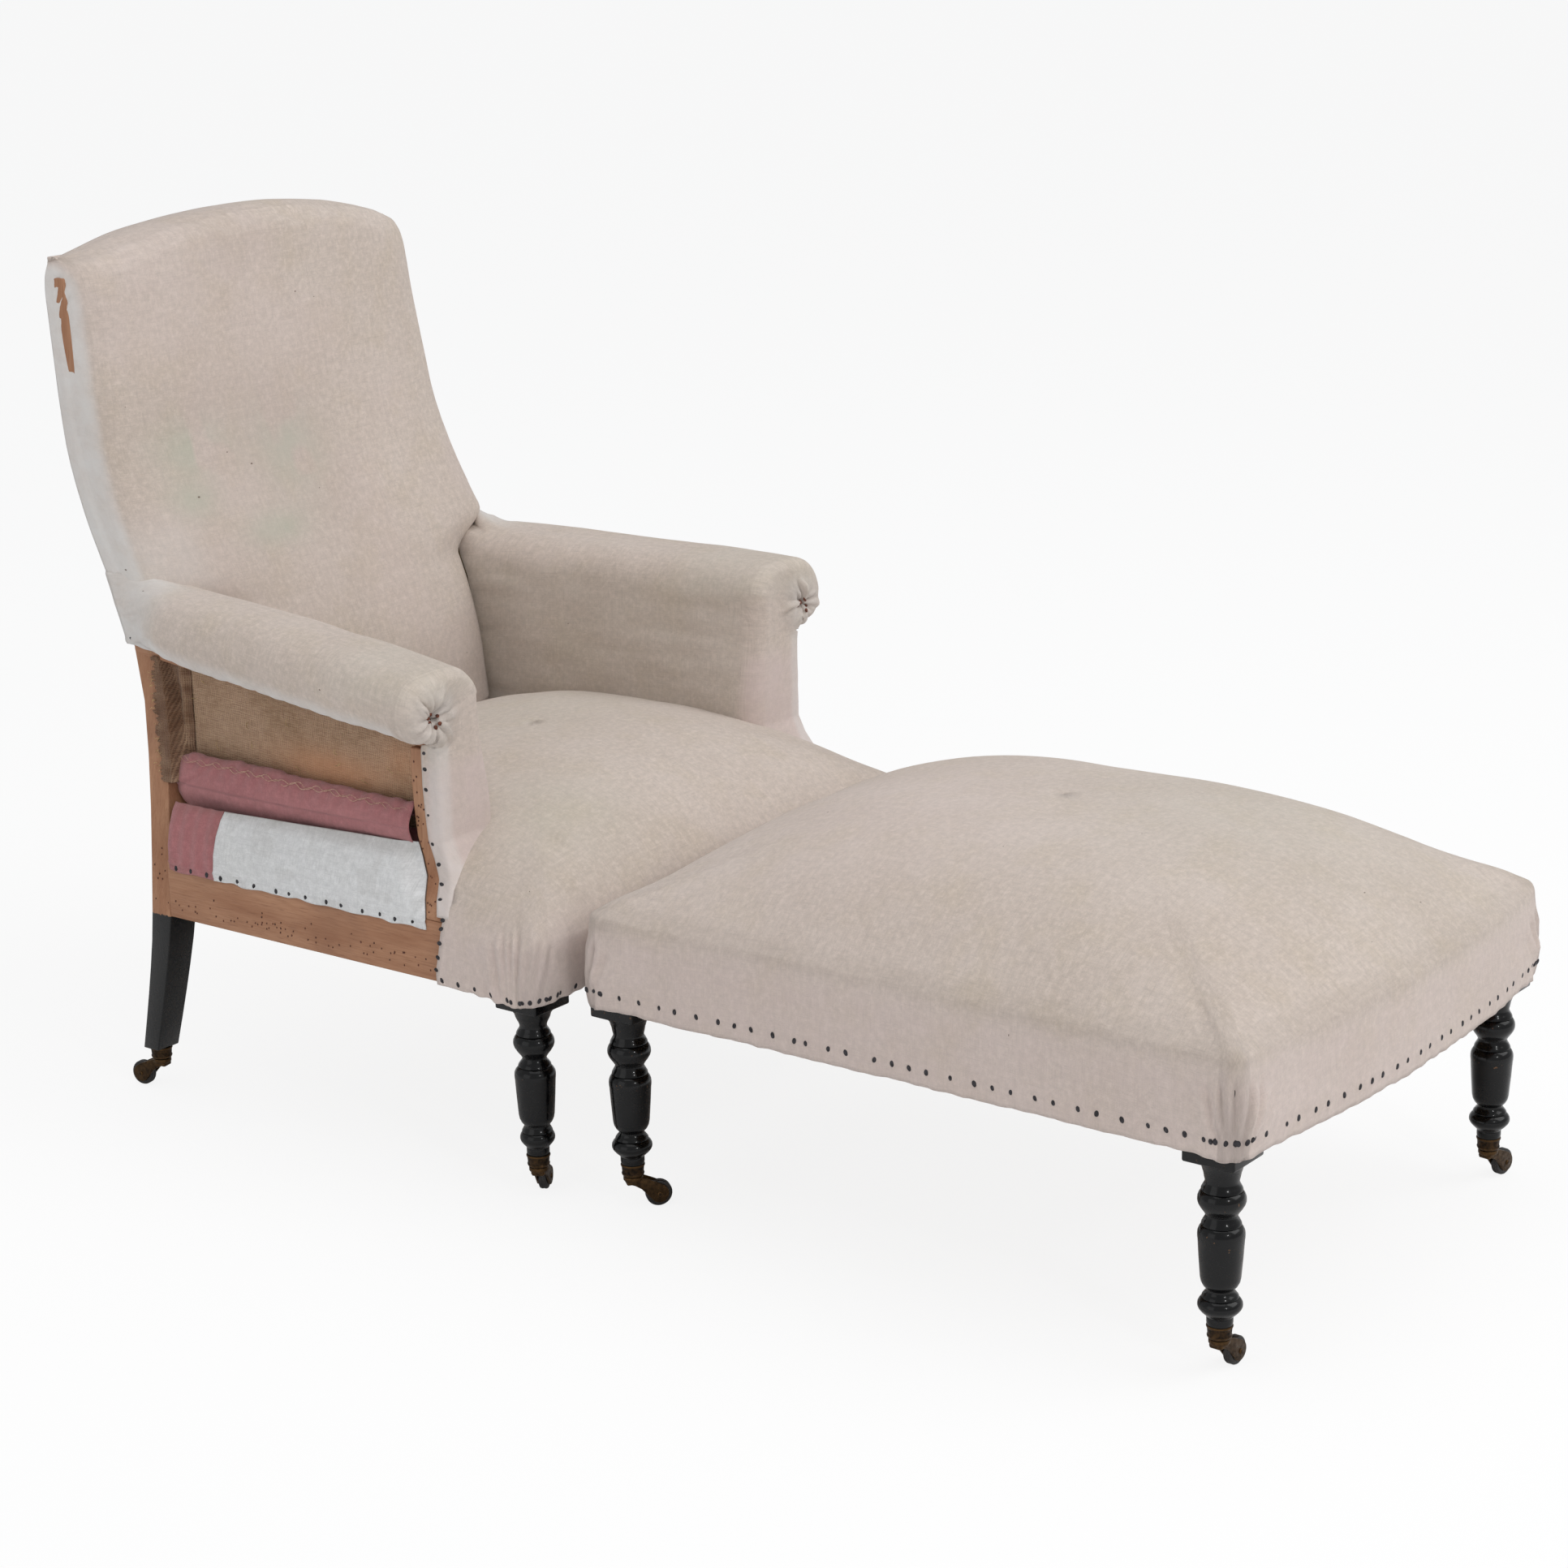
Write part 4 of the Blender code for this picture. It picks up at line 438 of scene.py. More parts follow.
def turned_leg(node, body, sizes):
    """Turn the leg, set the square block on top and mark where its lacquer wears."""
    low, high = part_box(node)
    x, y = (low.x + high.x) / 2, (low.y + high.y) / 2
    deselect()
    turned_disc(turning_line(sizes), TURNING_SIDES, x, y)
    bpy.ops.mesh.select_all(action="DESELECT")
    middle = (x, y, (high.z + LEG_TOP) / 2)
    bpy.ops.mesh.primitive_cube_add(size=1, location=middle)
    bpy.ops.transform.resize(value=(2 * BLOCK_HALF, 2 * BLOCK_HALF, high.z - LEG_TOP + 0.003),
                             center_override=middle)
    bpy.ops.mesh.bevel(offset=0.0022, segments=3)
    bpy.ops.mesh.select_all(action="SELECT")
    bpy.ops.mesh.normals_make_consistent(inside=False)
    leg = leave()
    leg.name = node + "_turned"
    bpy.ops.object.shade_smooth_by_angle(angle=math.radians(38))
    proud = leg.data.attributes.new("wear", "FLOAT", "POINT")
    for point, value in zip(leg.data.vertices, proud.data):
        reach = math.hypot(point.co.x - x, point.co.y - y)
        value.value = 0.10 * min(max((reach - 0.0195) / 0.003, 0), 1)
    leg.data.materials.append(lacquer.material)
    shown(leg, body, node)


for word in ("right", "left"):
    turned_leg(f"chair_front_leg_{word}", "chair", CHAIR_TURNING)
    turned_leg(f"stool_front_leg_{word}", "stool", STOOL_TURNING)
    turned_leg(f"stool_rear_leg_{word}", "stool", STOOL_TURNING)


# Casters: a round brass cup on each foot, a swivelling horn cast in one piece with two curved
# cheeks, and a dark wheel on a riveted axle. The brass has gone brown, bright only on its edges.

TRAIL = 0.0265
AXLE_HEIGHT = 0.0140
WHEEL_WIDTH = 0.0090
CHEEK_GAP = 0.0007
CHEEK = 0.0021
CUP_LINE = ((0.0367, 0.0086), (0.0364, 0.0098), (0.0368, 0.0109), (0.0380, 0.0117), (0.0392, 0.0119),
            (0.0400, 0.0115), (0.0410, 0.0113), (0.0466, 0.0118), (0.0474, 0.0125), (0.0484, 0.0127),
            (0.0494, 0.0124), (0.0496, 0.0118))
HORN_SPINE = ((-0.0060, 0.0318, 0.0034), (0.0020, 0.0302, 0.0046), (0.0100, 0.0270, 0.0060),
              (0.0170, 0.0222, 0.0078), (0.0225, 0.0180, 0.0092), (TRAIL, 0.0145, 0.0098))
HORN_BRIDGE = (-0.0005, 0, 0.0292)
CASTERS = {
    "chair_front_caster_right": ("chair", 29), "chair_front_caster_left": ("chair", 62),
    "chair_rear_caster_right": ("chair", 100), "chair_rear_caster_left": ("chair", 74),
    "stool_rear_caster_right": ("stool", -39), "stool_rear_caster_left": ("stool", -24),
    "stool_front_caster_right": ("stool", -2), "stool_front_caster_left": ("stool", -8),
}

brass = Recipe("tarnished brass")
place = brass.object_place()
tarnish = brass.ramp(brass.noise(place, 210, 4, 0.6), 0.36, 0.66)
colour = brass.mixed(tarnish, linear(66, 48, 29), linear(24, 18, 14))
colour = brass.layers(colour, (brass.node("NewGeometry").outputs["Pointiness"], 0.52, 0.60, 0.7,
                               linear(112, 82, 46)))
gloss = brass.ramp(tarnish, 0, 1, 0.30, 0.62)
brass.finish(colour, gloss, brass.noise(place, 700, 2), 0.00008, Metallic=0.85)

iron = Recipe("dark wheel")
grit = iron.noise(iron.object_place(), 520, 3, 0.6)
colour = iron.layers(linear(19, 17, 17), (grit, 0.45, 0.75, 1, linear(52, 42, 36)))
iron.finish(colour, iron.ramp(grit, 0.3, 0.7, 0.34, 0.56), grit, 0.0001)


def axle_disc(half_line, sides):
    """A disc turned about the axle, from pairs of place along it and radius for one half."""
    line = half_line + tuple((-place, radius) for place, radius in reversed(half_line))
    first = line[0][0]
    turned_disc([(place - first, radius) for place, radius in line], sides)
    piece = leave()
    on_side = Matrix.Rotation(-math.pi / 2, 4, "X")
    piece.data.transform(Matrix.Translation((TRAIL, first, AXLE_HEIGHT)) @ on_side)
    return piece


def joined(pieces, name, material):
    """Join pieces, merge and shade them, and turn their faces outwards."""
    deselect()
    for piece in pieces:
        piece.select_set(True)
    bpy.context.view_layer.objects.active = pieces[0]
    if len(pieces) > 1:
        bpy.ops.object.join()
    edit()
    bpy.ops.mesh.remove_doubles(threshold=0.00001)
    bpy.ops.mesh.normals_make_consistent(inside=False)
    made = leave()
    bpy.ops.object.transform_apply(location=True, rotation=True, scale=True)
    bpy.ops.object.shade_smooth_by_angle(angle=math.radians(35))
    made.name = name
    made.data.materials.clear()
    made.data.materials.append(material)
    return made


def horn_outline():
    """Outline of a cheek: the envelope of circles along a curved spine."""
    line = HORN_SPINE
    upper, lower = [], []
    for i, (u, z, radius) in enumerate(line):
        before, after = line[max(i - 1, 0)], line[min(i + 1, len(line) - 1)]
        du, dz = after[0] - before[0], after[1] - before[1]
        length = math.hypot(du, dz)
        upper.append((u - dz / length * radius, z + du / length * radius))
        lower.append((u + dz / length * radius, z - du / length * radius))
    u, z, radius = line[-1]
    start = math.atan2(upper[-1][1] - z, upper[-1][0] - u)
    bends = [start - math.pi * k / 10 for k in range(1, 10)]
    eye = [(u + radius * math.cos(bend), z + radius * math.sin(bend)) for bend in bends]
    return upper + eye + lower[::-1]


def cheek(side):
    """One cheek: a circle pulled to the outline, given its thickness and an eased edge."""
    outline = horn_outline()
    inner = side * (WHEEL_WIDTH / 2 + CHEEK_GAP)
    bpy.ops.mesh.primitive_circle_add(vertices=len(outline), radius=0.01, fill_type="NGON")
    piece = bpy.context.object
    for point, (u, z) in zip(piece.data.vertices, outline):
        point.co = (u, inner, z)
    edit()
    bpy.ops.mesh.extrude_region_move(TRANSFORM_OT_translate={"value": (0, side * CHEEK, 0)})
    bpy.ops.mesh.bevel(offset=0.0006, segments=2, affect="EDGES")
    return leave()


deselect()
turned_disc(CUP_LINE)
cup_model = joined([leave()], "cup_model", brass.material)

plate = ((0.0303, 0.0088), (0.0310, 0.0098), (0.0318, 0.0103), (0.0346, 0.0103), (0.0354, 0.0098),
         (0.0357, 0.0090), (0.0359, 0.0060), (0.0367, 0.0056))
half_horn = WHEEL_WIDTH / 2 + CHEEK_GAP + CHEEK
rivet = tuple((off - half_horn, radius) for off, radius in (
    (-0.0012, 0.0012), (-0.0010, 0.0021), (-0.0004, 0.0027), (0.0003, 0.0028), (0.0006, 0.0021)))
turned_disc(plate)
horn_parts = [leave(), cheek(-1), cheek(1), axle_disc(rivet, 20)]
deselect()
bpy.ops.mesh.primitive_cube_add(size=1, location=HORN_BRIDGE)
edit()
bpy.ops.transform.resize(value=(0.0150, 2 * half_horn - 0.0012, 0.0056), center_override=HORN_BRIDGE)
bpy.ops.mesh.bevel(offset=0.0020, segments=4)
horn_model = joined(horn_parts + [leave()], "horn_model", brass.material)

tread = WHEEL_WIDTH / 2
half_tread = tuple((off - tread, radius) for off, radius in (
    (0.0010, 0.0030), (0.0010, 0.0084), (0.0002, 0.0091), (0, 0.0098), (0, 0.0122), (0.0006, 0.0134),
    (0.0018, 0.0140), (tread - 0.0008, 0.01400), (tread - 0.0004, 0.01375)))
wheel_model = joined([axle_disc(half_tread, 44)], "wheel_model", iron.material)
for name, (body, heading) in CASTERS.items():
    low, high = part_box(name + "_socket")
    x, y = (low.x + high.x) / 2, (low.y + high.y) / 2
    turn = Matrix.Translation((x, y, 0)) @ Matrix.Rotation(math.radians(heading), 4, "Z")
    for model, node, rider, slot in (
            (cup_model, name + "_socket", body, "tarnished_brass"),
            (horn_model, name + "_horn", name + "_swivel", "tarnished_brass"),
            (wheel_model, name + "_wheel", name + "_roller", "caster_wheel")):
        piece = linked(node + "_cast", model.data.copy())
        piece.data.transform(turn)
        shown(piece, rider, node)
for model in (cup_model, horn_model, wheel_model):
    bpy.data.objects.remove(model, do_unlink=True)


# Seat: an unbleached cotton cover over the sprung and stuffed seat, drawn down over the front
# rail and tacked under its edge, pleated at the two front corners and tucked in at the sides.

WEAVE = 0.00080
CLOTH = 0.0014
PRESSURE, FRAMES_SETTLING = 4.0, 20
HALF_WIDTH = 0.343
SEAT_HALF, SEAT_FRONT, SEAT_COVER_REAR = HALF_WIDTH, 0.034, 0.612
SEAT_SKIRT, SEAT_CORNER, SEAT_EDGE = 0.009, 0.024, 0.259
DOME_HALF, DOME_MIDDLE, DOME_REACH = 0.357, 0.3205, 0.3005
SEAT_HEM = 0.2262
SEAT_SIDE_END = 0.1655


def woven(name, light, dark, stain, speckles=0.45, weave=WEAVE, sheen=0.18):
    """Plain-woven cotton: threads, thick slubs, clouded stains, a few dark specks and fuzz.

    The vertex attributes green, rosy, white and grime tint places that the pieces choose; the last darkens
    real dirt and also paints shade into creases and under overhangs."""
    recipe = Recipe(name)
    flat = recipe.cloth_place()
    deep = tuple(0.56 * value for value in light[:3])
    pale = tuple(min(1.24 * value + 0.012, 1.0) for value in light[:3])
    threads = [recipe.threads(flat, axis, weave, 1.4, 1.0, 3.0) for axis in "XY"]
    slub = recipe.maths("MAXIMUM", *(recipe.noise(recipe.cloth_place(scale), 1.0, 2, 0.6)
                                     for scale in ((30, 950, 1), (950, 30, 1))))
    fuzz = recipe.noise(flat, 650, 3, 0.7)
    cloud = recipe.noise(flat, 5.0, 5, 0.62)
    patch = recipe.noise(flat, 14, 4, 0.6)
    mottle = recipe.noise(flat, 135, 5, 0.78)
    base = recipe.layers(
        light, (cloud, 0.36, 0.66, 1, dark), (patch, 0.48, 0.80, 0.55, stain), (slub, 0.50, 0.74, 0.34, deep),
        (mottle, 0.50, 0.70, 0.32, deep), (mottle, 0.50, 0.32, 0.46, pale), (fuzz, 0.50, 0.78, 0.28, pale))
    uneven_tint = recipe.ramp(recipe.noise(flat, 32, 4, 0.65), 0.25, 0.7, 0.55, 1.1)
    for word, tint, strength in (
            ("green", linear(186, 190, 172), 0.75), ("rosy", linear(214, 195, 192), 0.8),
            ("white", linear(226, 223, 220), 0.92), ("grime", linear(112, 98, 80), 0.75)):
        share = recipe.times(recipe.attribute(word), uneven_tint)
        base = recipe.mixed(recipe.times(share, strength), base, tint)
    if speckles:
        cells = recipe.node("TexVoronoi", Scale=33, Randomness=1.0)
        recipe.link(recipe.cloth_place((1, 1.9, 1)), cells.inputs["Vector"])
        chosen = recipe.node("SeparateColor")
        recipe.link(cells.outputs["Color"], chosen.inputs[0])
        size = recipe.ramp(chosen.outputs["Red"], 1 - 0.26 * speckles, 1.0, 0.0, 0.072)
        speck = recipe.maths("SUBTRACT", size, cells.outputs["Distance"])
        base = recipe.layers(base, (speck, 0.0, 0.02, 0.85, linear(92, 70, 56)))
    height = recipe.plus(recipe.times(recipe.maths("MAXIMUM", *threads), 0.55), recipe.times(slub, 0.9))
    height = recipe.plus(height, recipe.times(fuzz, 0.35))
    return recipe.finish(base, 0.92, height, 0.00035, Specular_IOR_Level=0.18, Sheen_Weight=sheen,
                         Sheen_Roughness=0.55)


def clamp(values, low=0.0, high=1.0):
    return np.minimum(np.maximum(values, low), high)


def ease(values):
    """Smooth step of a share from 0 to 1."""
    share = clamp(values)
    return share * share * (3 - 2 * share)


def rumple(u, v, size, seed):
    """Soft uneven bumps from -1 to 1 over a plane, about one to a size."""
    table = np.random.default_rng(seed).uniform(-1, 1, (97, 89))
    u, v = np.broadcast_arrays(np.asarray(u) / size + 500.3, np.asarray(v) / size + 500.7)
    i, j = np.floor(u).astype(int), np.floor(v).astype(int)
    a, b = u - i, v - j
    a, b = a * a * (3 - 2 * a), b * b * (3 - 2 * b)

    def corner(di, dj):
        return table[(i + di) % 97, (j + dj) % 89]
    low = corner(0, 0) * (1 - a) + corner(1, 0) * a
    high = corner(0, 1) * (1 - a) + corner(1, 1) * a
    return low * (1 - b) + high * b


def outward(points, wrap):
    """Unit normals of a grid of points whose columns run to the right seen from outside."""
    if wrap:
        side = np.roll(points, -1, 1) - np.roll(points, 1, 1)
    else:
        side = np.gradient(points, axis=1)
    facing = np.cross(side, np.gradient(points, axis=0))
    length = np.linalg.norm(facing, axis=2, keepdims=True)
    return facing / np.maximum(length, 1e-9)


def between(value, low, high, soft=0.01):
    """1 where a value lies between low and high, fading over a soft edge."""
    return ease((value - low) / soft + 0.5) * ease((high - value) / soft + 0.5)


def spot(u, v, centre, size):
    """1 at the centre of an oval spot, fading to its edge."""
    return np.exp(-((u - centre[0]) / size[0]) ** 2 - ((v - centre[1]) / size[1]) ** 2)


def fold(u, v, start, end, width, depth, fade=0.25):
    """Height of a pleat from start to end: a sharp valley with a soft ridge beside it."""
    along = np.array(end, float) - np.array(start, float)
    length = math.hypot(*along)
    along /= length
    run = (u - start[0]) * along[0] + (v - start[1]) * along[1]
    off = (u - start[0]) * -along[1] + (v - start[1]) * along[0]
    strength = ease(run / (length * fade)) * ease((length - run) / (length * fade * 0.5) + 1)
    valley = -np.exp(-(off / width) ** 2)
    ridge = 0.8 * np.exp(-((off - 1.9 * width) / (1.3 * width)) ** 2)
    return depth * strength * (valley + ridge)


def bell(off, width, power=2):
    """1 in the middle, fading away over a width."""
    return np.exp(-(off / width) ** power)


def ripple(run, pitch):
    """Waves from -1 to 1, one to a pitch."""
    return np.sin(run * 2 * math.pi / pitch)


def grid_faces(shape, wrap):
    """Faces of a grid of points, whose last column meets the first where it wraps."""
    number = np.arange(shape[0] * shape[1]).reshape(shape[:2])
    after = np.roll(number, -1, 1) if wrap else number[:, 1:]
    here = number if wrap else number[:, :-1]
    return np.stack([here[:-1], after[:-1], after[1:], here[1:]], axis=2).reshape(-1, 4)


def new_piece(name, points, faces, material):
    """A smooth piece in the scene from points and faces."""
    mesh = bpy.data.meshes.new(name)
    mesh.from_pydata(points.reshape(-1, 3).tolist(), [], faces)
    mesh.materials.append(material)
    mesh.shade_smooth()
    return linked(name, mesh)


def cloth_piece(name, points, flat, material, wrap=False, keep=None, tints=None, thickness=CLOTH):
    """A grid of points as woven cloth with its own thickness and a flat pattern in metres."""
    faces = grid_faces(points.shape, wrap)
    if keep is not None:
        faces = faces[(keep if wrap else keep[:, :-1])[:-1].reshape(-1)]
    piece = new_piece(name, points, faces.tolist(), material)
    mesh = piece.data
    corners = np.empty(len(mesh.loops), dtype=np.int32)
    mesh.loops.foreach_get("vertex_index", corners)
    mesh.uv_layers.new(name="flat").data.foreach_set(
        "uv", flat.reshape(-1, 2)[corners].astype(np.float32).ravel())
    for word in ("green", "rosy", "white", "grime"):
        values = np.broadcast_to((tints or {}).get(word, 0.0), points.shape[:2])
        mesh.attributes.new(word, "FLOAT", "POINT").data.foreach_set(
            "value", clamp(values).astype(np.float32).ravel())
    edit(piece)
    bpy.ops.mesh.remove_doubles(threshold=0.00003)
    bpy.ops.mesh.delete_loose()
    leave()
    wall = piece.modifiers.new("cloth", "SOLIDIFY")
    wall.thickness = thickness
    wall.offset = -1
    bpy.ops.object.modifier_apply(modifier=wall.name)
    return piece


def padded_cover(name, points, flat, wrap, keep, tints, body, node):
    """A cover of the cream cotton over stuffing."""
    cover = cloth_piece(name, points, flat, cover_cloth, wrap, keep, tints)
    shown(cover, body, node)


def settled(points, wrap, pinned, cap, step=3):
    """Inflate the grid as cloth under pressure and cap how far each point moves."""
    rows = list(range(0, points.shape[0], step))
    columns = list(range(0, points.shape[1], step))
    if rows[-1] != points.shape[0] - 1:
        rows.append(points.shape[0] - 1)
    if not wrap and columns[-1] != points.shape[1] - 1:
        columns.append(points.shape[1] - 1)
    coarse = points[np.ix_(rows, columns)]
    held = pinned[np.ix_(rows, columns)]
    mesh = bpy.data.meshes.new("settling")
    mesh.from_pydata(coarse.reshape(-1, 3).tolist(), [], grid_faces(coarse.shape, wrap).tolist())
    cushion = linked("settling", mesh)
    group = cushion.vertex_groups.new(name="tacked")
    for index in np.flatnonzero(held.ravel() > 0):
        group.add([int(index)], float(held.ravel()[index]), "REPLACE")
    cloth = cushion.modifiers.new("Cloth", "CLOTH")
    cloth.settings.vertex_group_mass = "tacked"
    cloth.settings.use_pressure = True
    cloth.settings.uniform_pressure_force = PRESSURE
    cloth.settings.effector_weights.gravity = 0
    cloth.settings.quality = 4
    cloth.settings.tension_stiffness = cloth.settings.compression_stiffness = 40
    cloth.settings.bending_stiffness = 2
    cloth.point_cache.frame_start, cloth.point_cache.frame_end = 1, FRAMES_SETTLING
    for step_frame in range(1, FRAMES_SETTLING + 1):
        bpy.context.scene.frame_set(step_frame)
    graph = bpy.context.evaluated_depsgraph_get()
    moved = np.empty(len(mesh.vertices) * 3, dtype=np.float64)
    cushion.evaluated_get(graph).data.vertices.foreach_get("co", moved)
    bpy.context.scene.frame_set(1)
    bpy.data.objects.remove(cushion, do_unlink=True)
    shift = moved.reshape(coarse.shape) - coarse
    length = np.linalg.norm(shift, axis=2, keepdims=True)
    shift *= np.minimum(1, cap / np.maximum(length, 1e-9))
    if wrap:
        columns = columns + [points.shape[1]]
        shift = np.concatenate([shift, shift[:, :1]], axis=1)
    fine = np.empty(points.shape)
    for axis in range(3):
        down = np.stack([np.interp(range(points.shape[0]), rows, shift[:, c, axis])
                         for c in range(shift.shape[1])], axis=1)
        fine[:, :, axis] = np.stack([np.interp(range(points.shape[1]), columns, down[r])
                                     for r in range(points.shape[0])], axis=0)
    return points + fine


def run_of(line):
    """Length along a line up to each of its points."""
    return np.concatenate([[0], np.cumsum(np.linalg.norm(np.diff(line, axis=0), axis=1))])


def plan(half, front, rear, corner, shares):
    """Points and outward directions round a rounded rectangle, by share of its length.

    The line starts at the middle of the front edge and runs round to the right."""
    line, facing = [(0, front)], [(0, -1)]
    for x, y, start in ((half - corner, front + corner, -90), (half - corner, rear - corner, 0),
                        (corner - half, rear - corner, 90), (corner - half, front + corner, 180)):
        for step in range(13):
            angle = math.radians(start + 7.5 * step)
            facing.append((math.cos(angle), math.sin(angle)))
            line.append((x + corner * facing[-1][0], y + corner * facing[-1][1]))
    line, facing = np.array(line + [(0, front)]), np.array(facing + [(0, -1)])
    length = run_of(line)
    place = shares * length[-1]
    spot_x, spot_y = (np.interp(place, length, line[:, k]) for k in (0, 1))
    side_x, side_y = (np.interp(place, length, facing[:, k]) for k in (0, 1))
    size = np.hypot(side_x, side_y)
    return np.stack([spot_x, spot_y], 1), np.stack([side_x, side_y], 1) / size[:, None], length[-1]


def uneven(count, places, total, width, extra):
    """Shares of the way round, closer together near some places."""
    fine = np.linspace(0, total, 6001)
    weight = np.ones(fine.shape)
    for place in places:
        off = np.abs((fine - place + total / 2) % total - total / 2)
        weight += extra * np.exp(-(off / width) ** 4)
    run = np.concatenate([[0], np.cumsum((weight[1:] + weight[:-1]) / 2)])
    return np.interp(np.arange(count) / count * run[-1], run, fine) / total


def crown(x, y, half, middle, reach, edge, rise, power, fullness):
    """Height of a stuffed top, whose stuffing also fills its corners."""
    u, v = clamp(np.abs(x) / half), clamp(np.abs(y - middle) / reach)
    a, b = 1 - u ** power, 1 - v ** power
    tight = (np.maximum(a, 1e-6) ** -4 + np.maximum(b, 1e-6) ** -4) ** -0.25
    lift = a * b + (np.maximum(tight, a * b) - a * b) * (u * v) ** 3
    return edge + rise * lift ** fullness


def covered(half, front, rear, skirt, bulge, corner, hem, edge, height_of, shares, border, dome_rows,
            bow=0.0):
    """A drawn-down cover: border rows from the hem up to the edge, then rows that close the top."""
    place, facing, total = plan(half + skirt, front - skirt, rear + skirt, corner, shares)
    middle = np.array([0, (front + rear) / 2])
    rows = []
    for share in np.linspace(0, 1, border):
        around = place + facing * bulge * math.sin(math.pi * share)
        rows.append(np.column_stack([around, np.full(len(place), hem + (edge - hem) * share)]))
    for share in np.linspace(0, 1, dome_rows)[1:]:
        scale = 1 - share ** 2.3 * (1 - 1e-5)
        flat = middle + (place - middle) * scale
        rows.append(np.column_stack([flat, height_of(flat[:, 0], flat[:, 1])]))
    points = np.stack(rows)
    y = points[:, :, 1]
    forward = bow * (1 - (points[:, :, 0] / half) ** 2) * clamp((middle[1] - y) / (middle[1] - front))
    points[:, :, 1] -= forward
    return points, np.broadcast_to(facing, (len(rows), *facing.shape)), shares * total


def soften_rows(points, first, last, times):
    """Round the line between the border and the top."""
    for _ in range(times):
        inner = points[first:last]
        points[first:last] = (points[first - 1:last - 1] + 2 * inner + points[first + 1:last + 1]) / 4


def flat_pattern(points, facing):
    """Place of each point on the cloth laid flat: its plan, carried outwards by its extra length."""
    inward = points[::-1]
    steps = np.diff(inward, axis=0)
    longer = np.linalg.norm(steps, axis=2) - np.linalg.norm(steps[:, :, :2], axis=2)
    extra = np.concatenate([np.zeros((1, points.shape[1])), np.cumsum(longer, axis=0)])[::-1]
    return points[:, :, :2] + facing * extra[:, :, None]


def from_front(run, total, like):
    """Way round from the middle of the front to each point of a grid, whichever way is shorter."""
    return np.abs((run + total / 2) % total - total / 2)[None, :] * np.ones_like(like)


def pleated(off, z, pleats):
    """Relief of pleats, each with its upper and lower end, its width and its depth."""
    return sum(fold(off, z, (top, top_z), (foot, foot_z), width, depth)
               for top, top_z, foot, foot_z, width, depth in pleats)


def calico_outer(z):
    """Half width over the side lining."""
    share = (z - 0.279) / 0.082
    return 0.3445 - 0.027 * np.interp(share, (0, 0.16, 0.38, 0.62, 0.82, 1), (0, 0, 0.05, 0.26, 0.56, 1))


STUMP_STEPS = (0, 0.11, 0.22, 0.33, 0.44, 0.78, 1)
STUMP_INSETS = (0, 0.32, 0.76, 0.94, 0.99, 1, 1)
STUMP_SETBACKS = (0, 0.22, 0.43, 0.68, 0.88, 1, 1)


def stump_face(z):
    """Outer half width and front of a stump."""
    share = (z - 0.292) / 0.1725
    return (HALF_WIDTH - 0.033 * np.interp(share, STUMP_STEPS, STUMP_INSETS),
            0.149 + 0.042 * np.interp(share, STUMP_STEPS, STUMP_SETBACKS))


def side_lining(y, z):
    """Half width of the side lining, which is drawn in to the stump at its front end."""
    outer, front = stump_face(z)
    drawn_in, free = ease((front + 0.055 - y) / 0.024), calico_outer(z)
    return free + (np.minimum(free, outer + 0.0010) - free) * drawn_in


cream, cream_dark, tea = linear(209, 195, 185), linear(199, 184, 172), linear(196, 180, 158)
cover_cloth = woven("unbleached cotton", cream, cream_dark, tea)


def seat_height(x, y):
    return crown(x, y, DOME_HALF, DOME_MIDDLE, DOME_REACH, SEAT_EDGE, 0.146, 2.86, 0.54)


front_line = 2 * (SEAT_HALF + SEAT_SKIRT - SEAT_CORNER)
corner_place = front_line / 2 + SEAT_CORNER * math.pi / 4
round_total = plan(SEAT_HALF + SEAT_SKIRT, SEAT_FRONT - SEAT_SKIRT, SEAT_COVER_REAR, SEAT_CORNER,
                   np.zeros(1))[2]
seat_shares = uneven(440, (corner_place, round_total - corner_place), round_total, 0.075, 3.2)
seat, seat_facing, seat_run = covered(SEAT_HALF, SEAT_FRONT, SEAT_COVER_REAR, SEAT_SKIRT, 0.003, SEAT_CORNER,
                                      SEAT_HEM, SEAT_EDGE, seat_height, seat_shares, 16, 46)
soften_rows(seat, 6, 26, 10)
seat_pins = ease((0.330 - seat[:, :, 2]) / 0.022)
seat_pins[:4] = 1
seat = settled(seat, True, seat_pins, 0.004)
seat_flat = flat_pattern(seat, seat_facing)
x, y, z = np.moveaxis(seat, 2, 0)
turned = from_front(seat_run, round_total, x) - corner_place
SEAT_PLEATS = (
    (-0.046, 0.296, -0.020, 0.226, 0.0052, 0.0022), (-0.030, 0.300, -0.012, 0.226, 0.0042, 0.0030),
    (-0.016, 0.296, -0.006, 0.226, 0.0034, 0.0034), (-0.003, 0.306, 0.000, 0.226, 0.0030, 0.0038),
    (0.008, 0.300, 0.005, 0.226, 0.0032, 0.0034), (0.020, 0.304, 0.011, 0.226, 0.0036, 0.0032),
    (0.036, 0.292, 0.019, 0.226, 0.0045, 0.0026))
relief = 0.0016 * rumple(x, y, 0.11, 3) + 0.0007 * rumple(x, y, 0.045, 4)
relief += 0.0005 * rumple(turned * 3, z, 0.03, 5) * between(z, 0.20, 0.27, 0.02)
relief += pleated(turned, z, SEAT_PLEATS)
relief += 0.0006 * ripple(turned, 0.023) * between(z, 0.20, 0.242, 0.016)
seat += outward(seat, True) * relief[:, :, None]
x, y, z = np.moveaxis(seat, 2, 0)
z += between(z, 0.2, 0.236, 0.012) * (0.0011 * rumple(turned, np.where(x > 0, 1.0, 0.0), 0.011, 6)
                                      - 0.0035 * bell(turned, 0.030))
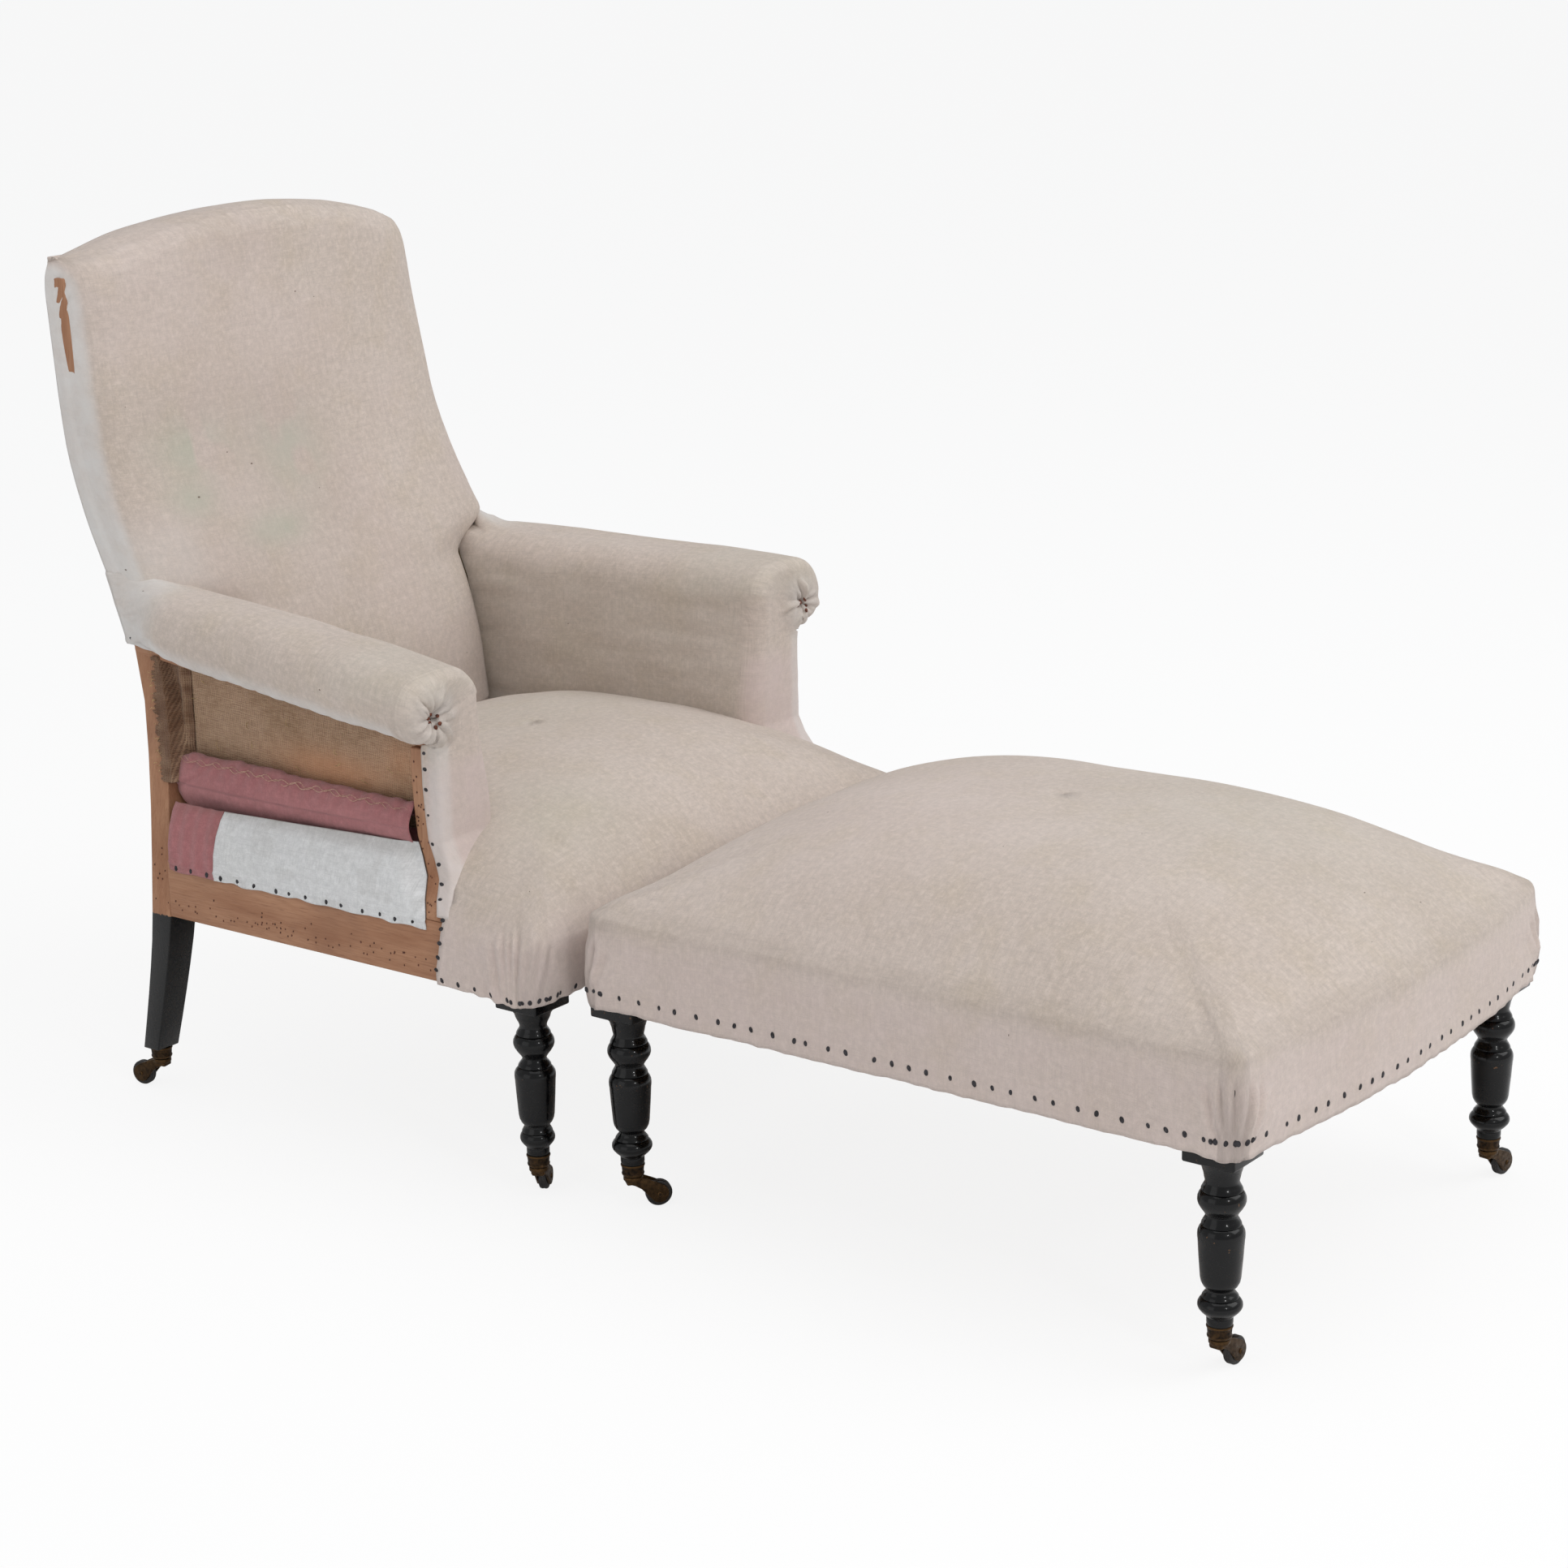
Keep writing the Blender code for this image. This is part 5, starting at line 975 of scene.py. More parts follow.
# the sides end in a slanting edge at the stump, and go on as a hidden tuck behind it
edge_y = 0.167 - (z - 0.235) * 0.132
y += (edge_y - SEAT_SIDE_END) * bell(y - SEAT_SIDE_END, 0.05) * between(np.abs(x), 0.318, 0.4, 0.02)
stump_front = stump_face(z)[1]
under_facing = np.where(z > 0.30, stump_front - 0.0030, 0)
hidden = (np.abs(x) > 0.3125) & (y > np.maximum(edge_y + 0.0004, under_facing)) & (y < stump_front + 0.0300)
behind = y > SEAT_SIDE_END + 0.004
limit = side_lining(y, np.clip(z, 0.279, 0.361)) - 0.0034
x[behind] = np.sign(x[behind]) * np.minimum(np.abs(x[behind]), limit[behind])
hidden |= (y > 0.560) | (behind & (z < 0.283))
seat_tints = {
    "green": 0.30 * spot(x, y, (-0.18, 0.14), (0.09, 0.08)) + 0.25 * spot(x, y, (0.05, 0.38), (0.2, 0.12)),
    "rosy": 0.5 * between(z, 0.2, 0.30, 0.05),
    # the grime tint's bands at the rear, under the back, and at the sides, beside the arms, are painted
    # shade; the small spot near the front is a dark mark
    "grime": 0.16 * between(y, 0.47, 0.6, 0.05) + 0.10 * (np.abs(x) > 0.24) * between(z, 0.30, 0.36, 0.03)
             + 0.35 * spot(x, y, (-0.212, 0.108), (0.004, 0.010)),
}
padded_cover("seat_cover", seat, seat_flat, True, ~hidden, seat_tints, "chair", "seat_pad")


# Stool: the same cotton over a crowned stuffed top with a bowed front, drawn down in one piece
# over a soft border and tacked under the rails, pleated at each corner.

STOOL_HALF, STOOL_FRONT, STOOL_REAR = 0.3078, -0.7595, -0.0095
STOOL_HEM = 0.2262
STOOL_SKIRT, STOOL_CORNER, STOOL_EDGE = 0.007, 0.018, 0.321


def stool_height(x, y):
    return crown(x, y, 0.3148, -0.3845, 0.382, STOOL_EDGE, 0.109, 3.08, 1.0)


stool_total = plan(STOOL_HALF + STOOL_SKIRT, STOOL_FRONT - STOOL_SKIRT, STOOL_REAR + STOOL_SKIRT,
                   STOOL_CORNER, np.zeros(1))[2]
stool_bend = STOOL_CORNER * math.pi / 2
stool_wide = 2 * (STOOL_HALF + STOOL_SKIRT - STOOL_CORNER)
stool_deep = STOOL_REAR - STOOL_FRONT + 2 * (STOOL_SKIRT - STOOL_CORNER)
front_bend = stool_wide / 2 + stool_bend / 2
rear_bend = front_bend + stool_bend + stool_deep
stool_shares = uneven(560, (front_bend, rear_bend, stool_total - rear_bend, stool_total - front_bend),
                      stool_total, 0.055, 2.6)
stool, stool_facing, stool_run = covered(
    STOOL_HALF, STOOL_FRONT, STOOL_REAR, STOOL_SKIRT, 0.0035, STOOL_CORNER, STOOL_HEM, STOOL_EDGE,
    stool_height, stool_shares, 18, 42, 0.022)
soften_rows(stool, 12, 27, 14)
stool_pins = np.zeros(stool.shape[:2])
stool_pins[:4] = 1
stool = settled(stool, True, stool_pins, 0.004)
stool_flat = flat_pattern(stool, stool_facing)
x, y, z = np.moveaxis(stool, 2, 0)
folded = from_front(stool_run, stool_total, x)
relief = 0.0022 * rumple(x, y, 0.13, 13) + 0.0008 * rumple(x, y, 0.05, 14)
relief += 0.0018 * between(z, 0.316, 0.330, 0.010) * rumple(folded, 0 * folded, 0.09, 15)
relief += 0.0005 * rumple(folded * 2, z, 0.03, 16) * between(z, 0.20, 0.31, 0.03)
STOOL_PLEATS = (
    (-0.052, 0.285, -0.012, 0.226, 0.0040, 0.0022), (-0.034, 0.300, -0.008, 0.226, 0.0034, 0.0030),
    (-0.016, 0.304, -0.003, 0.226, 0.0030, 0.0034), (0.000, 0.306, 0.001, 0.226, 0.0028, 0.0032),
    (0.014, 0.304, 0.004, 0.226, 0.0030, 0.0036), (0.034, 0.302, 0.008, 0.226, 0.0036, 0.0028))
relief += pleated(folded - front_bend, z, STOOL_PLEATS) + pleated(folded - rear_bend, z, STOOL_PLEATS[1:])
relief += 0.0005 * ripple(folded, 0.024) * between(z, 0.20, 0.242, 0.016)
stool += outward(stool, True) * relief[:, :, None]
x, y, z = np.moveaxis(stool, 2, 0)
bends = bell(folded - front_bend, 0.028) + bell(folded - rear_bend, 0.028)
z += between(z, 0.2, 0.236, 0.012) * (0.0011 * rumple(folded, np.where(x > 0, 1.0, 0.0), 0.011, 17)
                                      - 0.0030 * bends)
stool_tints = {
    "rosy": 0.45 * between(z, 0.2, 0.31, 0.04) + 0.3 * spot(x, y, (-0.1, -0.25), (0.2, 0.2)),
    "green": 0.25 * spot(x, y, (0.1, -0.55), (0.2, 0.2)),
    # the grime tint's band round the top edge is the painted shade of the edge roll, where the top turns down
    # into the border; the spot at the near rear corner is a dark mark
    "grime": 0.15 * between(z, 0.312, 0.334, 0.012) + 0.30 * spot(x, z, (-0.318, 0.312), (0.02, 0.012))
             * spot(y, z, (-0.03, 0.312), (0.02, 0.02)),
}
padded_cover("stool_cover", stool, stool_flat, True, None, stool_tints, "stool", "stool_pad")


# Arms: the same cotton over a stuffed roll and inner face, tacked under the roll to the arm rail,
# gathered in small pleats at the roll's front end, and led down the front over a thin facing.

ROLL_CENTRE = (0.3195, 0.5020)
ARM_FRONT_Y, ARM_REAR_Y = 0.1817, 0.6497
ARM_FACE = ARM_FRONT_Y - 0.0015
ARM_RISE = 0.042
ARM_SECTIONS, ARM_NOSE_ROWS, ARM_COLUMNS = 96, 40, 150
CORNER_ROUND = 0.0045
REAR_TOP = 0.590
FACING_WRAP = 0.013
GATHERS = 15
SIDES = (("right", -1), ("left", 1))


def levels_of(z, bottom=0.226, top=0.912):
    return (z - bottom) / (top - bottom)


RAKE = ((0.0, 0.0), (0.17, 0.08), (0.32, 0.18), (0.40, 0.28), (0.475, 0.42), (0.55, 0.585),
        (0.625, 0.725), (0.70, 0.83), (0.78, 0.895), (0.89, 0.955), (1.0, 1.0))
LEAN = ((0.0, 0.0), (0.25, 0.42), (0.50, 0.80), (0.75, 0.93), (1.0, 1.0))


def follow(table, share):
    """Value of a curve through pairs, rounded a little at its knots."""
    knots, values = zip(*table)
    return sum(np.interp(np.asarray(share) + off, knots, values) for off in (-0.03, 0.0, 0.03)) / 3


def stile_back(z):
    return 0.597 + 0.186 * follow(RAKE, levels_of(z))


def stile_outer(z):
    return HALF_WIDTH - 0.077 * follow(LEAN, levels_of(z))


def arm_share(y):
    return (y - ARM_FRONT_Y) / (ARM_REAR_Y - ARM_FRONT_Y)


ROLL_TOPS = {-1: ((0, 0.15, 0.30, 0.52, 0.80, 1), (0.5440, 0.5520, 0.5600, 0.5690, 0.5770, 0.5800)),
             1: ((0, 1), (0.5540, 0.5570))}


def arc(middle, radius, degrees):
    """Points on a circle in a section."""
    bends = [math.radians(angle) for angle in degrees]
    return [(middle[0] + radius * math.cos(bend), middle[1] + radius * math.sin(bend)) for bend in bends]


def arm_section(share, side):
    """Profile of an arm from the hem on the rail, round the roll and down the inner face."""
    share = float(share)
    outer = 0.3585 - 0.045 * np.interp(share, (0, 0.45, 0.80, 1.0), (0, 0.22, 0.62, 1.0))
    top = float(np.interp(share, *ROLL_TOPS[side]))
    radius = (top - 0.476 - 0.031 * share) / 2
    inner = 0.240 - 0.027 * share
    rail = 0.310 + (0.2925 - 0.310) * share + 0.0018
    lap = 0.4645 + ARM_RISE * share + 0.008
    middle = outer - radius, top - radius
    tuck = math.radians(-62)
    tuck_x = max(rail + 0.0016, middle[0] + radius * math.cos(tuck) * 0.8)
    line = [(rail, lap), (rail + 0.0008, lap + 0.006), (tuck_x, middle[1] + radius * math.sin(tuck))]
    shoulder = 0.040
    line += arc(middle, radius, range(-48, 91, 8)) + [((middle[0] + inner + shoulder) / 2, top + 0.0012)]
    line += arc((inner + shoulder, top - shoulder), shoulder, range(90, 181, 10))
    for z in (0.490, 0.465, 0.435, 0.405, 0.375, 0.350, 0.325, 0.297):
        flare = 0.013 * ease((0.475 - z) / 0.11) * ease(1 - share / 0.30)
        line.append((inner - flare - 0.005 * math.sin(math.pi * clamp((0.515 - z) / 0.185)), z))
    line = np.array(line)
    length = run_of(line)
    spread = np.linspace(0, length[-1], ARM_COLUMNS)
    profile = np.column_stack([np.interp(spread, length, line[:, 0]), np.interp(spread, length, line[:, 1])])
    for _ in range(2):
        profile[1:-1] = (profile[:-2] + 2 * profile[1:-1] + profile[2:]) / 4
    return profile, spread


def arm_level(z):
    """Y of the front of the facing at a height."""
    front = stump_face(np.clip(z, 0.293, 0.47))[1] - 0.0060
    return np.where(z > 0.47, ARM_FACE, np.minimum(ARM_FACE, front))


def rounded(inward, nose):
    """How far back the cloth lies a way in from the edge of a nose that is rounded."""
    return nose - np.sqrt(np.maximum(nose ** 2 - (nose - clamp(inward, 0, nose)) ** 2, 0))


def mirrored(side, points, flat, keep=None, tints=None):
    """A grid with all that belongs to it, put on its own side and turned the right way out."""
    points = points * (side, 1, 1)
    if side > 0:
        points, flat = points[:, ::-1], flat[:, ::-1]
        keep = None if keep is None else np.roll(keep[:, ::-1], -1, 1)
        tints = None if tints is None else {key: value[:, ::-1] for key, value in tints.items()}
    return points, flat, keep, tints


def arm_cover(side):
    """Sections from the back to the front, then rows that gather over the front of the roll
    or cross the facing and turn round the stump's outer corner."""
    column = np.arange(ARM_COLUMNS)
    front_profile, run = arm_section(0.0, side)
    px, pz = front_profile[:, 0], front_profile[:, 1]
    inner = run > run[-1] * 0.5
    nose = 0.014 + 0.007 * ease((0.545 - pz) / 0.06) * inner
    start = arm_level(pz) + nose
    top = int(np.argmax(pz))
    lifted = np.interp(column, (0, top, top + 16), (0, 1, 0))
    over_stile = np.interp(column, (0, top - 22, top, top + 1), (0.0052, 0.0052, 0.0030, -0.002))
    rows, flats = [], []
    for row in range(ARM_SECTIONS):
        share_row = 1 - row / (ARM_SECTIONS - 1)
        y = start + (0.668 - start) * share_row
        share = float(np.clip(arm_share(np.mean(y[:60])), 0, 1.05))
        x, z = arm_section(share, side)[0].T.copy()
        spread_z = z[0] + (REAR_TOP - z[0]) * column / top
        target_z = np.where(column <= top, spread_z, z + (REAR_TOP - z[top]) * lifted)
        end = stile_back(target_z) + np.where(inner & (z < 0.52), -0.002, 0.001)
        y = start + (end - start) * share_row
        merge = ease((y - 0.578) / (end - 0.578))
        z = z + (target_z - z) * merge * (lifted > 0)
        band = stile_outer(z) + over_stile
        pressed = np.where(x > 0.26, x + (np.minimum(x, band) - x) * merge, x)
        x = np.where(column <= top + 6, x + (band - x) * merge, pressed)
        rows.append(np.column_stack([x, y, z]))
        flats.append(np.column_stack([-y, run]))
    # where each column ends: at the gathers, on the roll's hem, or behind the stump's corner
    mid_x, mid_z = ROLL_CENTRE
    end_z = np.where(inner, np.interp(pz, (0.297, 0.4725, 0.528), (0.297, 0.4725, mid_z)), mid_z)
    hem_reach = clamp((end_z - pz[0]) / (mid_z - pz[0]))
    hem_x = px[0] + (mid_x - px[0]) * hem_reach
    hem_y = ARM_FACE + rounded(np.hypot(mid_x - px[0], mid_z - pz[0]) * hem_reach, nose[0])
    below = end_z < pz[0]
    stump_outer, stump_front = stump_face(np.clip(end_z, 0.293, 0.4645))
    end_x = np.where(inner, np.where(below, stump_outer + 0.0017, hem_x), mid_x)
    wrap_to = np.where(below, stump_front + FACING_WRAP, hem_y)
    wrap = np.where(inner, np.maximum(wrap_to - arm_level(end_z), 0), 0)
    corner = np.minimum(CORNER_ROUND, wrap)
    straight = np.hypot(end_x - px, end_z - pz)
    reach = straight - corner + corner * math.pi / 2 + (wrap - corner)
    aim_x, aim_z = (end_x - px) / straight, (end_z - pz) / straight
    for row in range(1, ARM_NOSE_ROWS + 1):
        inward = reach * (row / ARM_NOSE_ROWS) ** 1.1
        bend = clamp((inward - (straight - corner)) / np.maximum(corner, 1e-6), 0, math.pi / 2)
        past = np.maximum(inward - (straight - corner) - corner * math.pi / 2, 0)
        planar = np.minimum(inward, straight - corner) + corner * np.sin(bend)
        behind = corner * (1 - np.cos(bend)) + past
        x, z = px + aim_x * planar, pz + aim_z * planar
        left = np.hypot(x - mid_x, z - mid_z)
        cushion = -0.0045 * bell(left - 0.022, 0.012) * ease((z - 0.455) / 0.02)
        y = arm_level(z) + rounded(inward, nose) + behind + cushion + 0.0060 * bell(left, 0.0085)
        rows.append(np.column_stack([x, y, z]))
        flats.append(np.column_stack([-(start - inward), run]))
    return mirrored(side, np.stack(rows), np.stack(flats))[:2]


def arm_details(points, flat, side):
    """Gathers, creases and wrinkles, drawn on the settled shape."""
    x, y, z = np.moveaxis(points, 2, 0)
    around = np.arctan2(z - ROLL_CENTRE[1], (np.abs(x) - ROLL_CENTRE[0]))
    left = np.hypot(np.abs(x) - ROLL_CENTRE[0], z - ROLL_CENTRE[1])
    on_front = ease((0.212 - y) / 0.024)
    rng = np.random.default_rng(21 if side < 0 else 22)
    relief = np.zeros_like(x)
    for number in range(GATHERS):
        angle = -math.pi + (number + rng.uniform(-0.42, 0.42)) * 2 * math.pi / GATHERS
        swirl = rng.uniform(-14, 14) * left
        off = ((around - angle + swirl + math.pi) % (2 * math.pi) - math.pi) * np.maximum(left, 0.004)
        reach = rng.uniform(0.020, 0.046)
        width = rng.uniform(0.0010, 0.0017) + rng.uniform(0.02, 0.07) * left
        deep = rng.uniform(0.0016, 0.0044)
        fade = ease((reach - left) / 0.016) * ease((left - 0.003) / 0.004)
        shape = bell(off, width) - 0.55 * bell(off - 2.1 * width, 1.2 * width)
        relief -= deep * shape * fade * on_front
    relief += 0.0016 * on_front * rumple(x, z, 0.011, 36) * between(left, 0.006, 0.036, 0.012)
    relief += 0.0009 * rumple(flat[:, :, 0], flat[:, :, 1], 0.055, 31)
    relief += 0.0012 * rumple(flat[:, :, 0], flat[:, :, 1], 0.12, 32)
    inner_face = between(z, 0.30, 0.53, 0.03) * ease((0.268 - np.abs(x)) / 0.02) * ease((y - 0.19) / 0.03)
    relief += inner_face * 0.0010 * rumple(y * 0.7 + z, z * 2.2 - y * 0.6, 0.05, 33)
    relief += inner_face * 0.0009 * rumple(y + z * 0.4, z * 4, 0.06, 34)
    rear = ease((y - 0.565) / 0.03) * between(np.abs(x), 0.28, 0.36, 0.02)
    for low, high, near, deep in ((0.548, 0.572, 0.600, 0.0020), (0.540, 0.566, 0.604, 0.0014),
                                  (0.517, 0.538, 0.596, 0.0022), (0.580, 0.592, 0.625, 0.0012)):
        relief += rear * fold(y, z, (0.668, low), (near, high), 0.0026, deep)
    hem = ease((0.492 + ARM_RISE * arm_share(y) - z) / 0.012) * (np.abs(x) > 0.28) * (y > 0.2)
    relief += hem * 0.0004 * ripple(y, 0.0235)
    points = points + outward(points, False) * relief[:, :, None]
    points[:, :, 2] += np.where(hem > 0.5, 0.0008 * rumple(y, 0, 0.012, 35), 0)
    wide = np.abs(x)
    front_band = ease((0.20 - y) / 0.01) * ease((0.475 - z) / 0.01) * ease((wide - 0.292) / 0.01)
    tints = {
        "white": 0.95 * ease((0.502 + ARM_RISE * arm_share(y) - z) / 0.022) * ease((wide - 0.27) / 0.01)
                 * ease((y - 0.2) / 0.01) + 0.75 * ease((y - 0.56) / 0.07) * ease((wide - 0.25) / 0.02)
                 + 0.45 * front_band + 0.45 * bell(left, 0.034, 4) * ease((0.2 - y) / 0.01),
        "green": 0.16 * inner_face + 0.20 * between(z, 0.52, 0.6, 0.03) * ease((0.35 - y) / 0.1),
        "rosy": 0.7 * between(z, 0.29, 0.45, 0.03) * ease((0.205 - y) / 0.01),
        # the grime tint on the inner face, growing towards the back, is painted shade where the back closes
        # in; the ring round the gathers darkens too
        "grime": 0.04 * inner_face * ease((y - 0.36) / 0.2) + 0.12 * ease((y - 0.50) / 0.06) * inner_face
                 + 0.10 * between(left, 0.02, 0.042, 0.01) * ease((0.21 - y) / 0.01)
                 * between(z, 0.45, 0.53, 0.02),
    }
    return points, tints


arm_shapes = {}
arm_pins = np.zeros((ARM_SECTIONS + ARM_NOSE_ROWS, ARM_COLUMNS))
arm_pins[0] = arm_pins[-1] = 1
arm_pins[:, :5] = arm_pins[:, -5:] = 1
arm_pins[ARM_SECTIONS:, ARM_COLUMNS // 2:] = 1
for word, side in SIDES:
    points, flat = arm_cover(side)
    pins = arm_pins if side < 0 else arm_pins[:, ::-1]
    points = settled(points, False, pins, 0.003)
    points, tints = arm_details(points, flat, side)
    arm_shapes[word] = points if side < 0 else points[:, ::-1]
    padded_cover(f"arm_cover_{word}", points, flat, False, None, tints, "chair", f"arm_pad_{word}")


# Back: stuffed over webbing, its cover drawn round the stiles and over the arched crest and
# tacked to their rear faces, with pleats at the two top corners and whiter bands at the sides.

BACK_COLUMNS, LID_ROWS, LAP_ROWS = 260, 18, 6
BACK_HEM, BACK_TOP = 0.360, 0.965


def crest_top(x):
    return 0.956 - 0.038 * (x / 0.266) ** 2


def back_outline(level):
    """One level of the cover, from its rear hem on one side round the front to the other."""
    outer = float(stile_outer(level)) + 0.0045
    neck = ease((level - 0.540) / 0.055)
    half = 0.216 + (outer - 0.216) * neck
    crowned = float(clamp((level - 0.862) / (BACK_TOP - 0.862)))
    round_off = 0.018 * (1 - math.sqrt(max(0.0, 1 - crowned ** 5)))
    half -= round_off * 0.75
    thick = 0.085 - 0.017 * max(0.0, 1 - (level - 0.352) / (0.455 * 0.613))
    rear = 0.0012
    u = -np.cos(math.pi * np.linspace(0, 1, 141))
    edge = (1 - (1 - np.abs(u) ** 3.6) ** (1 / 3.6)) * 0.066
    front = np.column_stack([u * half, -thick + edge + round_off])
    depth = np.concatenate([np.linspace(-thick + 0.066 + round_off, rear, 22)[1:], np.full(8, rear)])
    beside = np.concatenate([np.full(21, half), np.linspace(half, half - 0.019, 9)[1:]])
    right = np.column_stack([beside, depth])
    return np.concatenate([(right * (-1, 1))[::-1], front, right])


def back_rows():
    rows, flats = [], []
    near_top = 0.9 + 0.1 * np.sin(np.linspace(0, 1, 30)[1:] * math.pi / 2)
    for share in np.concatenate([np.linspace(0, 0.9, 112), near_top]):
        outline = back_outline(BACK_HEM + (BACK_TOP - BACK_HEM) * share)
        length = run_of(outline)
        spread = np.linspace(0, length[-1], BACK_COLUMNS)
        x, off = (np.interp(spread, length, outline[:, axis]) for axis in (0, 1))
        z = BACK_HEM + (crest_top(x) + 0.0090 - BACK_HEM) * share
        rows.append(np.column_stack([x, stile_back(z) + off, z]))
        flats.append(np.column_stack([spread - length[-1] / 2, z]))
    return np.stack(rows), np.stack(flats)


back_points, back_flat = back_rows()
last = back_points[-1]
lid_rows, lid_flats = [], []
rear_line = stile_back(crest_top(last[:, 0])) + 0.0012
for row in range(1, LID_ROWS + 1):
    share = row / LID_ROWS
    line = last.copy()
    line[:, 1] = last[:, 1] + (rear_line - last[:, 1]) * share
    line[:, 2] += 0.0030 * math.sin(math.pi * min(share * 1.2, 1.0))
    lid_rows.append(line)
    lid_flats.append(back_flat[-1] + np.column_stack([np.zeros(BACK_COLUMNS), line[:, 1] - last[:, 1]]))
for row in range(1, LAP_ROWS + 1):
    lid_rows.append(lid_rows[LID_ROWS - 1] + (0, 0.0006, -0.003 * row))
    lid_flats.append(lid_flats[LID_ROWS - 1] + (0, 0.003 * row))
back_points = np.concatenate([back_points, np.stack(lid_rows)])
back_flat = np.concatenate([back_flat, np.stack(lid_flats)])
soften_rows(back_points, 128, 150, 8)
for lap, beside in ((slice(0, 9), 10), (slice(-9, None), -11)):
    back_points[110:, lap, 2] = np.minimum(back_points[110:, lap, 2], back_points[110:, beside, 2][:, None])
back_pins = np.zeros(back_points.shape[:2])
back_pins[:3] = back_pins[-8:] = 1
back_pins[:, :14] = back_pins[:, -14:] = 1
back_points = settled(back_points, False, back_pins, 0.003)
x, y, z = np.moveaxis(back_points, 2, 0)
run = back_flat[:, :, 0]
on_side = ease((np.abs(x) / (stile_outer(z) + 0.0045) - 0.955) / 0.03)
relief = 0.0016 * rumple(x, z, 0.14, 41) + 0.0007 * rumple(x, z, 0.05, 42)
relief += 0.0006 * on_side * rumple(y * 2, z, 0.05, 43)
relief += fold(x, z, (0.19, 0.752), (-0.20, 0.730), 0.0022, 0.0006)
lean = y - stile_back(z)
for side in (-1, 1):
    for low, high, out in ((0.874, 0.925, 0.004), (0.862, 0.918, 0.016), (0.885, 0.930, -0.008)):
        pleat = fold(lean, z, (-0.006 - out * 0.3, low), (-0.040 - out, high), 0.0022, 0.0013)
        relief += on_side * (x * side > 0) * pleat
back_points = back_points + outward(back_points, False) * relief[:, :, None]
x, y, z = np.moveaxis(back_points, 2, 0)
back_tints = {
    "white": 0.95 * on_side * ease((z - 0.53) / 0.08)
             + 0.30 * between(z, 0.50, 0.64, 0.06) * ease((-0.18 - x) / 0.05),
    "rosy": 0.35 * on_side * ease(rumple(y * 2, z, 0.07, 44) + 0.5)
            + 0.25 * ease(rumple(x, z, 0.10, 45) / 0.6),
    "green": 0.9 * (
        spot(x, z, (-0.165, 0.715), (0.050, 0.030)) * ease((rumple(x, z, 0.03, 46) + 0.6) / 0.4)
        + spot(x, z, (-0.030, 0.700), (0.045, 0.045)) * ease((rumple(x, z, 0.035, 47) + 0.6) / 0.4)
        + spot(x, z, (-0.085, 0.615), (0.045, 0.018)) + spot(x, z, (-0.19, 0.66), (0.03, 0.02))),
    # the grime tint darkens towards the bottom and in uneven patches, and is painted shade in the creases at
    # the lower sides, where the arms press in
    "grime": 0.22 * ease((0.52 - z) / 0.12) + 0.10 * ease(rumple(x, z, 0.2, 48) / 0.5)
             + 0.35 * between(np.abs(x), 0.196, 0.23, 0.012) * ease((0.57 - z) / 0.03),
}
padded_cover("back_cover", back_points, back_flat, False, None, back_tints, "chair", "back_pad")


# Side linings: coarse hessian stretched under each arm rail, a frayed strip stitched to its rear
# edge, a stuffed roll of pink cotton at its foot, and white calico below, tacked to the side rail.

LINING_START = 0.2226
PATCH_START, PATCH_END = 0.4850, 0.5600
STRIP_START = 0.5710
ROLL_END = stile_back(0.389)
ROLL_HALF_HEIGHTS = ((0, 0.5, 1), (0.0205, 0.0258, 0.0310))
ROLL_OFF = 0.0124

coarse = Recipe("brown hessian")
flat = coarse.cloth_place()
weft, warp = (coarse.threads(flat, axis, pitch, 2.6, 2.0, 1.2)
              for axis, pitch in (("X", 0.0021), ("Y", 0.0017)))
thread = coarse.maths("MAXIMUM", coarse.times(weft, 0.72), warp)
level_line, upright_line = (coarse.noise(coarse.cloth_place(scale), 1.0, 2, 0.6)
                            for scale in ((60, 640, 1), (560, 70, 1)))
line = coarse.plus(coarse.times(level_line, 0.6), coarse.times(upright_line, 0.4))
base = coarse.layers(
    linear(190, 157, 130), (coarse.noise(flat, 13, 4, 0.6), 0.38, 0.66, 1, linear(168, 135, 106)),
    (line, 0.46, 0.68, 0.55, linear(212, 183, 150)), (line, 0.50, 0.32, 0.45, linear(112, 82, 58)),
    (thread, 0.50, 0.22, 0.75, linear(76, 52, 36)))
for word, share, tint in (("rosy", 0.55, linear(222, 158, 116)), ("grime", 0.85, linear(84, 50, 30))):
    base = coarse.mixed(coarse.times(coarse.attribute(word), share), base, tint)
hessian = coarse.finish(base, 0.95, coarse.plus(thread, coarse.times(line, 0.8)), 0.0007,
                        Specular_IOR_Level=0.12, Sheen_Weight=0.10, Sheen_Roughness=0.6)
pink_cotton = woven("dusty pink cotton", linear(180, 118, 119), linear(166, 104, 106), linear(152, 94, 94),
                    speckles=0.0, weave=0.0006, sheen=0.25)
white_calico = woven("white calico", linear(226, 226, 226), linear(220, 220, 220), linear(213, 213, 209),
                     speckles=0.25, weave=0.0007)


lining_shapes = {}


def hessian_x(y):
    return 0.2935 - 0.012 * arm_share(y)


def strip_rear(z):
    """Y of the rear edge of the frayed strip."""
    return 0.598 + 0.209 * (z - 0.381)


def roll_level(y):
    """Height of the ticking roll's middle."""
    return 0.3785 - 0.0065 * clamp((y - LINING_START) / 0.35)


